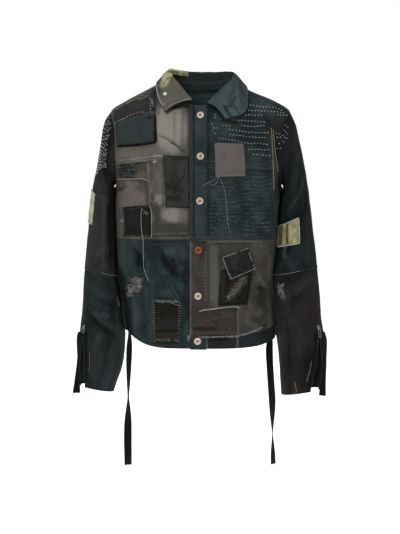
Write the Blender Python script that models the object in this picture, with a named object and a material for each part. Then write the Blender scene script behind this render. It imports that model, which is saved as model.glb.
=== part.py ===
"""Patched denim work jacket, filled out as if worn, with nobody inside.

Units are metres. +Z is up, +Y is towards the back, +X is towards the wearer's left arm.
The origin is in the middle of the neck opening, level with the tops of the shoulders.
Every cloth piece is a thin closed wall that follows the surface of a hollow torso,
of a hanging sleeve or of a turned-down collar.
"""
import math
from collections import namedtuple

import bmesh
import bpy
from mathutils import Matrix, Vector

# ---------------------------------------------------------------- driving sizes
CLOTH = 0.0016          # wall of a jacket panel
PATCH_CLOTH = 0.0012    # wall of a sewn-on patch
SEAM_GAP = 0.0003       # space left between two pieces that are sewn together
PATCH_LIFT = 0.0010     # inner face of a patch above the smooth surface of its panel
SECOND_LIFT = 0.0026    # inner face of a patch that lies on another patch

WAIST = -0.371          # height of the waist seam
ARMPIT = -0.235
SHOULDER = -0.055       # height of the outer end of the shoulder seam
NECK_SIDE = 0.0215      # height where the shoulder seam meets the collar
NECK_FRONT = -0.0465    # lowest point of the neck hole, front
NECK_BACK = 0.0         # lowest point of the neck hole, back
NECK_HALF = 0.082       # half width of the neck hole
BACK_NECK_FLAT = 0.011  # half width of the level stretch of the back neckline

BAND_RIGHT = -0.0229    # edge of the button band that laps over the right front
BAND_LEFT = 0.0181      # stitched edge of the button band
LAP_REACH = 0.058       # the right front starts to dip under the band this far out from it
LAP_RUN = 0.022         # and has reached its full depth after this run
UNDERLAP = 0.012        # the right front runs on under the band to here
HEM_FRONT = -0.6365
HEM_SIDE = {-1: -0.594, 1: -0.616}
HEM_BACK = -0.624
HEM_BAND = 0.034        # depth of the left front's hem band

HEM_CURVE = 4.2         # how late the hem starts to rise towards the side seams
BAND_DROP = 0.002       # the button band ends this much below the fronts

TORSO_POWER = 2.4       # 2 is an ellipse, more is squarer
SLEEVE_POWER = 2.2
NORMAL_STEP = 0.004     # reach over which a surface's direction is taken
ARMHOLE_DEPTH = {-1: 0.060, 1: 0.071}   # half width of each armhole, front to back
SLEEVE_COLUMNS = 16
CAP_BLEND = 0.22        # share of the sleeve that eases from the armhole to an oval
HEAD_GAP = 0.0006       # share of the sleeve left free at the armhole seam
ELBOW_GAP = 0.0004      # share of the sleeve left free on each side of the elbow seam
FADE_AT_HEAD = 0.08     # the folds grow to full height over this share of the sleeve
FADE_AT_ELBOW = 0.02    # and flatten over this share next to the elbow seam

RIGHT, LEFT = -1, 1     # the wearer's sides

# ---------------------------------------------------------------- tables of sections
# torso rings: half width to each side, depth to the front and to the back
Ring = namedtuple("Ring", "height right left front back")
TORSO = (
    Ring(-0.660, 0.1775, 0.1900, 0.1170, 0.1120),
    Ring(-0.600, 0.1810, 0.1865, 0.1240, 0.1160),
    Ring(-0.540, 0.1870, 0.1805, 0.1280, 0.1180),
    Ring(-0.465, 0.1960, 0.1800, 0.1310, 0.1200),
    Ring(-0.371, 0.2035, 0.1910, 0.1340, 0.1220),
    Ring(-0.300, 0.2060, 0.1945, 0.1360, 0.1270),
    Ring(-0.235, 0.2085, 0.2050, 0.1360, 0.1330),
    Ring(-0.170, 0.2210, 0.2215, 0.1320, 0.1340),
    Ring(-0.110, 0.2240, 0.2250, 0.1210, 0.1260),
    Ring(-0.055, 0.2190, 0.2240, 0.1030, 0.1060),
    Ring(-0.030, 0.1820, 0.1860, 0.0930, 0.0950),
    Ring(-0.005, 0.1360, 0.1270, 0.0800, 0.0870),
    Ring(0.012, 0.1040, 0.0980, 0.0680, 0.0770),
    Ring(0.022, 0.0838, 0.0838, 0.0600, 0.0700),
)

# sleeve sections: distance of the outer and the inner edge from the middle of the body, their
# heights, how far the section's middle lies behind the shoulder line, and its half depth
Cuff = namedtuple("Cuff", "along outer outer_z inner inner_z middle_y depth")
SLEEVES = {
    RIGHT: (
        Cuff(0.00, 0.2190, -0.0550, 0.2085, -0.2350, 0.000, 0.060),
        Cuff(0.06, 0.2360, -0.0820, 0.2130, -0.2420, 0.001, 0.064),
        Cuff(0.14, 0.2465, -0.1380, 0.2135, -0.2560, 0.003, 0.067),
        Cuff(0.24, 0.2565, -0.1960, 0.2130, -0.2830, 0.005, 0.069),
        Cuff(0.33, 0.2670, -0.2500, 0.2125, -0.3150, 0.006, 0.070),
        Cuff(0.46, 0.2760, -0.3350, 0.2105, -0.3700, 0.005, 0.069),
        Cuff(0.62, 0.2860, -0.4475, 0.2090, -0.4650, -0.003, 0.064),
        Cuff(0.70, 0.2895, -0.5000, 0.2010, -0.5080, -0.012, 0.061),
        Cuff(0.78, 0.2925, -0.5540, 0.1935, -0.5600, -0.020, 0.058),
        Cuff(0.86, 0.2975, -0.6120, 0.1870, -0.6170, -0.027, 0.055),
        Cuff(0.93, 0.2985, -0.6700, 0.1905, -0.6750, -0.033, 0.052),
        Cuff(1.00, 0.2960, -0.7325, 0.2130, -0.7480, -0.038, 0.049),
    ),
    LEFT: (
        Cuff(0.00, 0.2240, -0.0550, 0.2050, -0.2350, 0.000, 0.071),
        Cuff(0.06, 0.2390, -0.0870, 0.2095, -0.2430, 0.001, 0.071),
        Cuff(0.14, 0.2490, -0.1290, 0.2085, -0.2560, 0.003, 0.071),
        Cuff(0.24, 0.2630, -0.1960, 0.2045, -0.2830, 0.005, 0.071),
        Cuff(0.33, 0.2715, -0.2500, 0.2000, -0.3150, 0.006, 0.071),
        Cuff(0.46, 0.2815, -0.3350, 0.1975, -0.3600, 0.003, 0.069),
        Cuff(0.62, 0.2935, -0.4450, 0.1860, -0.4640, -0.010, 0.064),
        Cuff(0.70, 0.2985, -0.5000, 0.1860, -0.5150, -0.018, 0.061),
        Cuff(0.78, 0.3015, -0.5600, 0.1885, -0.5700, -0.026, 0.058),
        Cuff(0.86, 0.3090, -0.6200, 0.1945, -0.6250, -0.032, 0.055),
        Cuff(0.93, 0.3070, -0.6800, 0.2000, -0.6840, -0.037, 0.051),
        Cuff(1.00, 0.2990, -0.7420, 0.2040, -0.7560, -0.042, 0.047),
    ),
}
ELBOW = 0.62            # share of the sleeve where its two tubes are joined

# the largest folds of the sleeves: middle of the fold along and around the sleeve, its slant,
# its half width as a share of the sleeve, its reach around in degrees, and its height
Fold = namedtuple("Fold", "along around slant half_width reach height")
SLEEVE_FOLDS = {
    RIGHT: (
        Fold(0.30, 60, 0.05, 0.030, 80, 0.0030),
        Fold(0.52, 110, -0.04, 0.028, 90, 0.0035),
        Fold(0.58, 40, 0.05, 0.025, 70, -0.0030),
        Fold(0.70, 80, 0.05, 0.028, 80, 0.0035),
        Fold(0.80, 120, -0.04, 0.026, 70, 0.0025),
    ),
    LEFT: (
        Fold(0.30, 70, -0.05, 0.030, 80, 0.0030),
        Fold(0.55, 60, 0.04, 0.026, 90, 0.0035),
        Fold(0.68, 50, 0.05, 0.026, 80, 0.0040),
        Fold(0.74, 100, -0.04, 0.024, 80, -0.0030),
        Fold(0.82, 60, 0.04, 0.026, 70, 0.0025),
    ),
}

# collar: turn around the neck (0 at the back, 180 at the front), the fold line, and the outer
# edge of the fall, given across and up; its depth follows the shoulders
Neck = namedtuple("Neck", "turn fold_x fold_y fold_z edge_x edge_z")
COLLAR = {
    RIGHT: (
        Neck(0, 0.006, 0.080, 0.0490, 0.006, -0.020),
        Neck(30, -0.037, 0.074, 0.0500, -0.060, -0.016),
        Neck(60, -0.0645, 0.050, 0.0520, -0.095, 0.004),
        Neck(90, -0.0715, 0.014, 0.0490, -0.103, 0.0130),
        Neck(120, -0.069, -0.024, 0.0330, -0.104, -0.006),
        Neck(150, -0.052, -0.064, 0.0080, -0.098, -0.034),
        Neck(180, -0.0185, -0.0985, -0.0335, -0.0835, -0.063),
    ),
    LEFT: (
        Neck(0, 0.006, 0.080, 0.0490, 0.006, -0.020),
        Neck(30, 0.046, 0.074, 0.0485, 0.064, -0.019),
        Neck(60, 0.075, 0.051, 0.0475, 0.100, -0.001),
        Neck(90, 0.0840, 0.020, 0.0410, 0.1130, 0.0020),
        Neck(120, 0.079, -0.022, 0.0220, 0.117, -0.023),
        Neck(150, 0.060, -0.062, -0.0030, 0.110, -0.066),
        Neck(180, 0.0195, -0.0995, -0.0400, 0.0625, -0.0825),
    ),
}
LEAF_CLEAR = 0.0034     # fall of the collar above the shoulders
FRONT_TURN = 85         # from this turn on the fall ends on the fronts, before it on the back
ROLL_SHARE = 0.1        # share of the fall that rolls over the fold
ROLL_OUT, ROLL_DOWN = 0.0045, 0.0012
FALL_BOW = 0.001        # the fall bulges by this much between its fold and its edge
END_TURN, END_RUN = 165, 15     # the leaf's front end starts here and is complete after the run
END_FORWARD = 0.004     # the leaf's front end bulges forward
END_BOW = 0.006         # and its front edge bows upwards by this much
STAND_DROP = 0.0014     # top of the stand below the fold line
STAND_OUT = 0.0010      # and outside it
STAND_HOLLOW = 0.0008   # the stand's middle lies this far inside the line from foot to top

# patches on the torso: corners across and up, clockwise from the upper inner left as one faces
# the jacket; the third group says on which layer the patch lies
Patch = namedtuple("Patch", "name x1 z1 x2 z2 x3 z3 x4 z4 layer colour")
CLIMB_START, CLIMB_RUN = -0.395, 0.030      # where a second layer climbs onto the first
TORSO_PATCHES = (
    Patch("patch_shoulder_yoke", -0.2000, -0.0660, -0.1085, -0.0125,
          -0.1065, -0.0580, -0.2040, -0.0850, 1, "charcoal"),
    Patch("patch_shoulder_round", -0.2035, -0.0870, -0.1075, -0.0600,
          -0.1030, -0.1389, -0.2010, -0.1467, 1, "slate"),
    Patch("patch_pocket_brown", -0.2010, -0.2270, -0.1290, -0.2242,
          -0.1267, -0.2905, -0.1985, -0.2952, 1, "taupe"),
    Patch("patch_chest_charcoal", -0.0855, -0.1701, -0.0265, -0.1727,
          -0.0262, -0.2941, -0.0800, -0.2929, 1, "charcoal"),
    Patch("patch_frayed_black", -0.1832, -0.2977, -0.1243, -0.2929,
          -0.1219, -0.3600, -0.1834, -0.3640, 1, "black"),
    Patch("patch_hip_black", -0.1101, -0.5201, -0.0472, -0.5249,
          -0.0509, -0.6215, -0.1095, -0.6240, 1, "black"),
    Patch("patch_chest_taupe", 0.0373, -0.1391, 0.1049, -0.1410,
          0.1097, -0.2182, 0.0397, -0.2208, 1, "taupe"),
    Patch("patch_hip_darned", 0.0519, -0.4448, 0.1274, -0.4529,
          0.1152, -0.5290, 0.0447, -0.5300, 1, "black"),
    Patch("patch_hip_tilted", 0.0519, -0.4134, 0.1175, -0.3897,
          0.1349, -0.4434, 0.0737, -0.4692, 2, "black"),
    Patch("patch_hem_brown", -0.0133, -0.5439, 0.0909, -0.5361,
          0.0911, -0.6005, -0.0169, -0.6040, 1, "brown"),
)

COLLAR_PATCH_TURNS = (66.0, 128.0)
# patches on the sleeves: reach along the sleeve and around it in degrees (0 is the outer edge)
SleevePatch = namedtuple("SleevePatch", "name side along1 along2 around1 around2")
SLEEVE_PATCHES = (
    SleevePatch("patch_sleeve_right_camo", RIGHT, 0.330, 0.452, -35, 52),
    SleevePatch("patch_sleeve_left_camo", LEFT, 0.412, 0.515, 84, 158),
)

# buttons of the band, from the neck to the hem: across and up
Button = namedtuple("Button", "x z")
BUTTONS = (
    Button(0.0022, -0.0719), Button(0.0022, -0.1713), Button(0.0007, -0.2785),
    Button(-0.0024, -0.3964), Button(-0.0036, -0.5076), Button(-0.0048, -0.6171),
)
# turned outline of a shank button: radius and height above the band
BUTTON_OUTLINE = (
    (0.0030, 0.0000), (0.0030, 0.0014), (0.0086, 0.0018), (0.0086, 0.0030),
    (0.0068, 0.0036), (0.0030, 0.0028),
)
STUD_TURN, STUD_SHARE = 152, 0.70       # place of the collar's stud
STUD_OUTLINE = ((0.0022, 0.0), (0.0030, 0.0006), (0.0026, 0.0016), (0.0012, 0.0021))

# hanging tapes: height, middle, and turn of the tape's width away from the X axis
TAPE_WIDTH = 0.020
TAPE_THICK = 0.0014
Tape = namedtuple("Tape", "z x y turn")
TAPES = {
    RIGHT: (
        Tape(-0.566, -0.1795, 0.000, 90), Tape(-0.588, -0.1775, 0.000, 90),
        Tape(-0.612, -0.1757, -0.002, 74), Tape(-0.645, -0.1762, -0.003, 50),
        Tape(-0.690, -0.1775, -0.003, 55), Tape(-0.735, -0.1785, -0.002, 72),
        Tape(-0.769, -0.1794, 0.000, 84), Tape(-0.800, -0.1796, 0.002, 60),
        Tape(-0.835, -0.1800, 0.003, 28), Tape(-0.877, -0.1803, 0.003, 15),
        Tape(-0.910, -0.1800, 0.002, 24), Tape(-0.940, -0.1797, 0.001, 30),
    ),
    LEFT: (
        Tape(-0.592, 0.1816, -0.002, -90), Tape(-0.610, 0.1812, -0.003, -90),
        Tape(-0.628, 0.1785, -0.005, -68), Tape(-0.650, 0.1766, -0.006, -42),
        Tape(-0.690, 0.1780, -0.006, -46), Tape(-0.735, 0.1802, -0.005, -40),
        Tape(-0.776, 0.1824, -0.004, -38), Tape(-0.815, 0.1832, -0.002, -60),
        Tape(-0.848, 0.1836, 0.000, -84), Tape(-0.880, 0.1845, 0.002, -104),
        Tape(-0.910, 0.1852, 0.003, -122), Tape(-0.938, 0.1860, 0.003, -128),
    ),
}

# cuff zips: the slit opens from the slider down to the cuff
SLIDER_ALONG = {RIGHT: 0.828, LEFT: 0.818}
SLIDER_AROUND = {RIGHT: 43.0, LEFT: 47.0}
SLIT_CLOSED = 2.5       # half opening of the slit at the slider, in degrees around the sleeve
SLIT_BACK = 17.0        # how much further its back edge stands off at the cuff
SLIT_FRONT = {RIGHT: 5.0, LEFT: 16.0}
GUSSET_INSET = 0.0037   # outer face of the gusset below the sleeve's outer face
GUSSET_START, GUSSET_END = 0.012, 0.975     # below the slider, and along the whole sleeve
GUSSET_TUCK = 0.17      # reach under each edge of the slit, in radians around the sleeve
ZIP_START, ZIP_END = 0.016, 0.985           # the sewn tape: below the slider, and along the sleeve
ZIP_INNER, ZIP_OUTER = 0.03, 0.16           # its reach around the sleeve from the slit's edge
# the turned-out flap: place along the sleeve, how far its free edge stands off, and its reach
# around the sleeve in radians
Flap = namedtuple("Flap", "along stand_off reach")
FLAPS = {
    RIGHT: (
        Flap(0.83, 0.002, 0.30), Flap(0.86, 0.007, 0.45), Flap(0.92, 0.003, 0.42),
        Flap(0.97, 0.005, 0.40), Flap(1.02, 0.016, 0.38),
    ),
    LEFT: (
        Flap(0.82, 0.002, 0.30), Flap(0.86, 0.006, 0.42), Flap(0.92, 0.006, 0.38),
        Flap(0.97, 0.010, 0.30), Flap(1.015, 0.017, 0.14),
    ),
}
FLAP_CURL = 1.5         # how late across its width the flap starts to stand off
SLIDER_WIDE, SLIDER_LONG, SLIDER_THICK = 0.0090, 0.0130, 0.0024
SLIDER_TAPER = 0.62     # width of the slider's lower end as a share of its upper end
SLIDER_BEVEL = 0.0007
SLIDER_LIFT = 0.0006    # underside of the slider above the cloth
ARCH_RADIUS, ARCH_WIRE = 0.0031, 0.0007
ARCH_SINK = 0.0006      # the arch's feet reach this far into the slider
PULL_WIRE = 0.0006
PULL_HEIGHT = 0.0014    # the pull's bar above the slider's upper face
PULL_CORNER = 0.35      # corner radius of the pull as a share of its width
PULL_SIZES = {RIGHT: (0.0100, 0.0130), LEFT: (0.0075, 0.0240)}   # width and length

# ---------------------------------------------------------------- colours
COLOURS = {
    "teal": (0.018, 0.031, 0.034, 1), "washed": (0.17, 0.165, 0.15, 1),
    "charcoal": (0.026, 0.026, 0.027, 1), "slate": (0.032, 0.038, 0.046, 1),
    "taupe": (0.13, 0.11, 0.10, 1), "black": (0.012, 0.012, 0.012, 1),
    "brown": (0.045, 0.027, 0.023, 1), "olive": (0.07, 0.065, 0.052, 1),
    "navy": (0.013, 0.020, 0.026, 1), "umber": (0.020, 0.015, 0.013, 1),
    "camo": (0.24, 0.22, 0.11, 1), "steel": (0.55, 0.55, 0.54, 1),
    "button": (0.75, 0.62, 0.55, 1), "copper": (0.42, 0.17, 0.07, 1),
}
METALS = ("steel", "button", "copper")


# ---------------------------------------------------------------- tables and surfaces
def read_table(rows, at):
    """Read a table at any value of its first column, with a smooth curve through the rows."""
    count = len(rows)
    place = 0
    while place < count - 2 and at > rows[place + 1][0]:
        place += 1
    start, end = rows[place], rows[place + 1]
    before, after = rows[max(place - 1, 0)], rows[min(place + 2, count - 1)]
    span = end[0] - start[0]
    share = (at - start[0]) / span
    values = []
    for column in range(1, len(start)):
        rise = end[column] - start[column]
        if share < 0 or share > 1:
            values.append(start[column] + rise * share)
            continue
        slope_in = (end[column] - before[column]) / (end[0] - before[0]) * span
        slope_out = (after[column] - start[column]) / (after[0] - start[0]) * span
        values.append(start[column] + share * slope_in
                      + share ** 2 * (3 * rise - 2 * slope_in - slope_out)
                      + share ** 3 * (slope_in + slope_out - 2 * rise))
    return values


def ease(value):
    """A smooth step from 0 to 1."""
    value = min(max(value, 0.0), 1.0)
    return value * value * (3 - 2 * value)


def power(value, exponent):
    """A signed power, for rounded squares."""
    return math.copysign(abs(value) ** exponent, value)


def torso_ring(height, side):
    """Half width, front depth and back depth of the torso at a height."""
    right, left, front, back = read_table(TORSO, height)
    return (left if side > 0 else right), front, back


def torso_point(angle, height):
    """A point of the torso; the angle is 0 at the front and positive to the wearer's left."""
    half, front, back = torso_ring(height, math.sin(angle))
    across = power(math.sin(angle), 2 / TORSO_POWER)
    forward = power(math.cos(angle), 2 / TORSO_POWER)
    depth = front if forward > 0 else back
    return Vector((half * across, -depth * forward, height))


def front_angle(x, height):
    """The angle of the front point that lies this far across."""
    half = torso_ring(height, x)[0]
    share = min(abs(x) / half, 1.0)
    return math.copysign(math.asin(share ** (TORSO_POWER / 2)), x)


def armhole_half(side, height):
    """How far the armhole's edge lies in front of (or behind) the shoulder line."""
    middle, reach = (SHOULDER + ARMPIT) / 2, (SHOULDER - ARMPIT) / 2
    share = min(abs(height - middle) / reach, 1.0)
    return ARMHOLE_DEPTH[side] * (1 - share ** SLEEVE_POWER) ** (1 / SLEEVE_POWER)


def torso_side_x(side, y, height):
    """How far out the torso's side lies at a depth and a height."""
    half, front, back = torso_ring(height, side)
    share = min(abs(y) / (front if y < 0 else back), 1.0)
    return half * (1 - share ** TORSO_POWER) ** (1 / TORSO_POWER)


def sleeve_fold(side, around, along):
    """Height of the largest folds at a place of the sleeve."""
    rise = 0.0
    for fold in SLEEVE_FOLDS[side]:
        turn = math.remainder(around - math.radians(fold.around), math.tau)
        drift = (along - fold.along - fold.slant * math.sin(turn)) / fold.half_width
        window = math.exp(-(turn / math.radians(fold.reach) * 1.6) ** 2)
        rise += fold.height * window * math.exp(-drift * drift)
    return rise


def sleeve_point(side, around, along):
    """A point of the sleeve; around is 0 at its outer edge and a quarter turn at its front."""
    outer, outer_z, inner, inner_z, middle_y, depth = read_table(SLEEVES[side], along)
    out = power(math.cos(around), 2 / SLEEVE_POWER)
    forward = power(math.sin(around), 2 / SLEEVE_POWER)
    x = (outer + inner) / 2 + (outer - inner) / 2 * out
    z = (outer_z + inner_z) / 2 + (outer_z - inner_z) / 2 * out
    y = middle_y - depth * forward
    if along < CAP_BLEND:
        head = SLEEVES[side][0]
        head_x = (head.outer + head.inner) / 2 + (head.outer - head.inner) / 2 * out
        head_z = (head.outer_z + head.inner_z) / 2 + (head.outer_z - head.inner_z) / 2 * out
        hole_x = torso_side_x(side, -head.depth * forward, head_z)
        x += (hole_x - head_x) * (1 - along / CAP_BLEND) ** 2
    return Vector((side * x, y, z))


def lifted(surface, first, second, lift, flip=1):
    """A surface point moved along the surface's outward direction."""
    ahead = surface(first + NORMAL_STEP, second) - surface(first - NORMAL_STEP, second)
    up = surface(first, second + NORMAL_STEP) - surface(first, second - NORMAL_STEP)
    normal = ahead.cross(up).normalized() * flip
    return surface(first, second) + normal * lift


def torso_lifted(angle, height, lift):
    """A point above the torso."""
    return lifted(torso_point, angle, height, lift)


def sleeve_lifted(side, around, along, lift):
    """A point above the sleeve, folds and all."""
    fade = ease(along / FADE_AT_HEAD) * ease(abs(along - ELBOW) / FADE_AT_ELBOW)
    folds = sleeve_fold(side, around, along) * fade
    return lifted(lambda a, s: sleeve_point(side, a, s), around, along, lift + folds, side)


# ---------------------------------------------------------------- mesh helpers
def material(name):
    """The plain finish of one cloth or metal."""
    finish = bpy.data.materials.get(name)
    if finish is None:
        finish = bpy.data.materials.new(name)
        finish.use_nodes = True
        shader = finish.node_tree.nodes["Principled BSDF"]
        shader.inputs["Base Color"].default_value = COLOURS[name]
        shader.inputs["Roughness"].default_value = 0.35 if name in METALS else 0.9
        shader.inputs["Metallic"].default_value = 1.0 if name in METALS else 0.0
    return finish


def add_object(name, mesh_builder, colour):
    """Turn a bmesh into a named object with outward faces."""
    bmesh.ops.recalc_face_normals(mesh_builder, faces=mesh_builder.faces)
    mesh = bpy.data.meshes.new(name)
    mesh_builder.to_mesh(mesh)
    mesh_builder.free()
    mesh.materials.append(material(colour))
    mesh.shade_smooth()
    mesh.set_sharp_from_angle(angle=math.radians(40))
    thing = bpy.data.objects.new(name, mesh)
    bpy.context.scene.collection.objects.link(thing)
    return thing


def add_wall(name, outer, inner, colour, closed=False, hole=None):
    """A closed wall between two grids of points, with holes where a cell is left out."""
    rows, columns = len(outer), len(outer[0])
    builder = bmesh.new()
    tops = [[None] * columns for _ in range(rows)]
    feet = [[None] * columns for _ in range(rows)]
    across = columns if closed else columns - 1

    def kept(row, column):
        if not 0 <= row < rows - 1:
            return False
        if closed:
            column %= columns
        elif not 0 <= column < columns - 1:
            return False
        return hole is None or not hole(row, column)

    def corner(grid, source, row, column):
        column %= columns
        if grid[row][column] is None:
            grid[row][column] = builder.verts.new(source[row][column])
        return grid[row][column]

    def two_faces(a, b, c, d):
        builder.faces.new((a, b, c))
        builder.faces.new((a, c, d))

    for row in range(rows - 1):
        for column in range(across):
            if not kept(row, column):
                continue
            ring = ((row, column), (row, column + 1), (row + 1, column + 1), (row + 1, column))
            top = [corner(tops, outer, *place) for place in ring]
            foot = [corner(feet, inner, *place) for place in ring]
            two_faces(*top)
            builder.faces.new((foot[0], foot[2], foot[1]))
            builder.faces.new((foot[0], foot[3], foot[2]))
            sides = ((row - 1, column, 0, 1), (row, column + 1, 1, 2),
                     (row + 1, column, 2, 3), (row, column - 1, 3, 0))
            for next_row, next_column, start, end in sides:
                if not kept(next_row, next_column):
                    two_faces(top[start], foot[start], foot[end], top[end])
    return add_object(name, builder, colour)


def spread(start, end, count):
    """Evenly spaced values, both ends included."""
    return [start + (end - start) * step / (count - 1) for step in range(count)]


def turned(name, outline, centre, normal, colour, segments=16):
    """A turned piece that stands on a surface."""
    builder = bmesh.new()
    rings = []
    for radius, height in outline:
        rings.append([builder.verts.new((radius * math.cos(math.tau * step / segments),
                                         radius * math.sin(math.tau * step / segments), height))
                      for step in range(segments)])
    for lower, upper in zip(rings, rings[1:]):
        for step in range(segments):
            after = (step + 1) % segments
            builder.faces.new((lower[step], lower[after], upper[after], upper[step]))
    builder.faces.new(rings[0])
    builder.faces.new(rings[-1])
    thing = add_object(name, builder, colour)
    thing.matrix_world = (Matrix.Translation(centre)
                          @ normal.to_track_quat("Z", "Y").to_matrix().to_4x4())
    return thing


# ---------------------------------------------------------------- torso panels
def armhole_heights():
    """Heights of the sleeve head's corners, which the panels share."""
    middle, reach = (SHOULDER + ARMPIT) / 2, (SHOULDER - ARMPIT) / 2
    turns = [math.pi * step / (SLEEVE_COLUMNS // 2) for step in range(SLEEVE_COLUMNS // 2 + 1)]
    return sorted(middle + reach * power(math.cos(turn), 2 / SLEEVE_POWER) for turn in turns)


LOWER_ROWS = 8
YOKE_HEIGHTS = [NECK_FRONT, -0.0435, -0.033, -0.015, NECK_BACK, 0.009, 0.0170, NECK_SIDE]
UPPER_HEIGHTS = (spread(WAIST + SEAM_GAP / 2, ARMPIT, 5)[:-1] + armhole_heights()
                 + YOKE_HEIGHTS)


def seam_angle(side, height, depth, back):
    """Angle of a panel's side edge: side seam, armhole edge or shoulder seam."""
    margin = SEAM_GAP / 2 / depth
    turn = math.pi / 2 - margin ** (TORSO_POWER / 2)
    if ARMPIT < height < SHOULDER:
        reach = max(armhole_half(side, height) / depth, margin)
        turn = math.acos(reach ** (TORSO_POWER / 2))
        turn = min(turn, math.pi / 2 - margin ** (TORSO_POWER / 2))
    return math.pi - turn if back else turn


def neck_half(height, lowest):
    """Half width of the neck hole at a height."""
    drop = min((NECK_SIDE - height) / (NECK_SIDE - lowest), 1.0)
    return NECK_HALF * math.sqrt(1 - drop * drop)


def front_panel(name, side, colour, heights, columns, first_x):
    """One front panel between its centre edge and its side, armhole or shoulder seam."""
    outer, inner = [], []
    for height in heights:
        depth = torso_ring(height, side)[1]
        end = side * seam_angle(side, height, depth, False)
        x = first_x
        if height > NECK_FRONT:
            x = side * neck_half(height, NECK_FRONT)
        start = front_angle(x, height)
        row = spread(start, end, columns)
        outer.append([torso_lifted(angle, height, -lap(angle, height, side)) for angle in row])
        inner.append([torso_lifted(angle, height, -lap(angle, height, side) - CLOTH)
                      for angle in row])
    return add_wall(name, outer, inner, colour)


def lap(angle, height, side):
    """The right front lies under the button band near the middle."""
    if side == LEFT:
        return 0.0
    x = torso_point(angle, height).x
    under = (x - BAND_RIGHT + LAP_REACH) / LAP_RUN
    return (CLOTH + SEAM_GAP * 1.5) * ease(under)


def hem_height(angle):
    """Height of the hem, lowest in front and higher at the sides."""
    side = RIGHT if math.sin(angle) < 0 else LEFT
    centre = HEM_FRONT if math.cos(angle) > 0 else HEM_BACK
    return centre + (HEM_SIDE[side] - centre) * abs(math.sin(angle)) ** HEM_CURVE


def lower_panel(name, colour, first, last, columns, foot_rise=0.0, lap_side=LEFT):
    """A panel of the skirt from its foot to the waist seam.

    Its two upright edges, first and last, each give an angle for a height.
    """
    outer, inner = [], []
    head = WAIST - SEAM_GAP / 2
    for share in spread(0.0, 1.0, LOWER_ROWS):
        line_out, line_in = [], []
        level = WAIST + (HEM_FRONT - WAIST) * (1 - share)
        for part in spread(0.0, 1.0, columns):
            angle = first(level) + (last(level) - first(level)) * part
            foot = hem_height(angle) + foot_rise
            height = foot + (head - foot) * share
            angle = first(height) + (last(height) - first(height)) * part
            under = lap(angle, height, lap_side)
            line_out.append(torso_lifted(angle, height, -under))
            line_in.append(torso_lifted(angle, height, -under - CLOTH))
        outer.append(line_out)
        inner.append(line_in)
    return add_wall(name, outer, inner, colour)


def side_seam(side, back):
    """Angle of a side seam's edge as a function of height."""
    return lambda height: side * seam_angle(side, min(height, ARMPIT),
                                            torso_ring(height, side)[2 if back else 1], back)


def build_fronts():
    """Both fronts, the button band and the left front's hem band."""
    front_panel("right_front_upper", RIGHT, "washed", UPPER_HEIGHTS, 9, UNDERLAP)
    front_panel("left_front_upper", LEFT, "teal", UPPER_HEIGHTS, 8, BAND_LEFT + SEAM_GAP / 2)
    lower_panel("right_front_lower", "teal", lambda z: front_angle(UNDERLAP, z),
                side_seam(RIGHT, False), 9, lap_side=RIGHT)
    edge = BAND_LEFT + SEAM_GAP / 2
    lower_panel("left_front_lower", "olive", lambda z: front_angle(edge, z),
                side_seam(LEFT, False), 8, foot_rise=HEM_BAND)
    hem_band = []
    for face in (0.0, -CLOTH):
        grid = []
        for share in (0.0, 0.5, 1.0):
            line = []
            for part in spread(0.0, 1.0, 8):
                start = front_angle(edge, HEM_FRONT)
                angle = start + (side_seam(LEFT, False)(HEM_FRONT) - start) * part
                foot = hem_height(angle)
                line.append(torso_lifted(angle, foot + (HEM_BAND - SEAM_GAP) * share, face))
            grid.append(line)
        hem_band.append(grid)
    add_wall("left_hem_band", hem_band[0], hem_band[1], "teal")
    band_stretch("button_band_upper", "teal",
                 spread(WAIST + SEAM_GAP / 2, NECK_FRONT - 2 * SEAM_GAP, 11))
    band_stretch("button_band_lower", "brown",
                 spread(HEM_FRONT - BAND_DROP, WAIST - SEAM_GAP / 2, 9))


def band_stretch(name, colour, heights):
    """One stretch of the button band."""
    grids = []
    for face in (0.0, -CLOTH):
        grids.append([[torso_lifted(front_angle(x, height), height, face)
                       for x in spread(BAND_RIGHT, BAND_LEFT - SEAM_GAP / 2, 3)]
                      for height in heights])
    add_wall(name, grids[0], grids[1], colour)


def build_back():
    """The back in two pieces, with the neck hole left open at its top."""
    half_columns = 6
    outer, inner = [], []
    for height in UPPER_HEIGHTS:
        row = []
        gap = BACK_NECK_FLAT
        if height > NECK_BACK:
            gap = max(neck_half(height, NECK_BACK), BACK_NECK_FLAT)
        for side in (RIGHT, LEFT):
            depth = torso_ring(height, side)[2]
            edge = side * seam_angle(side, height, depth, True)
            neck = side * (math.pi - abs(front_angle(side * gap, height)))
            turns = spread(edge, neck, half_columns)
            row += turns if side == RIGHT else turns[::-1]
        outer.append([torso_lifted(angle, height, 0.0) for angle in row])
        inner.append([torso_lifted(angle, height, -CLOTH) for angle in row])
    neck_row = UPPER_HEIGHTS.index(NECK_BACK)
    add_wall("back_upper", outer, inner, "teal",
             hole=lambda row, column: row >= neck_row and column == half_columns - 1)
    lower_panel("back_lower", "teal",
                lambda z: -math.tau + abs(side_seam(LEFT, True)(z)),
                lambda z: -abs(side_seam(RIGHT, True)(z)), 12)


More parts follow.
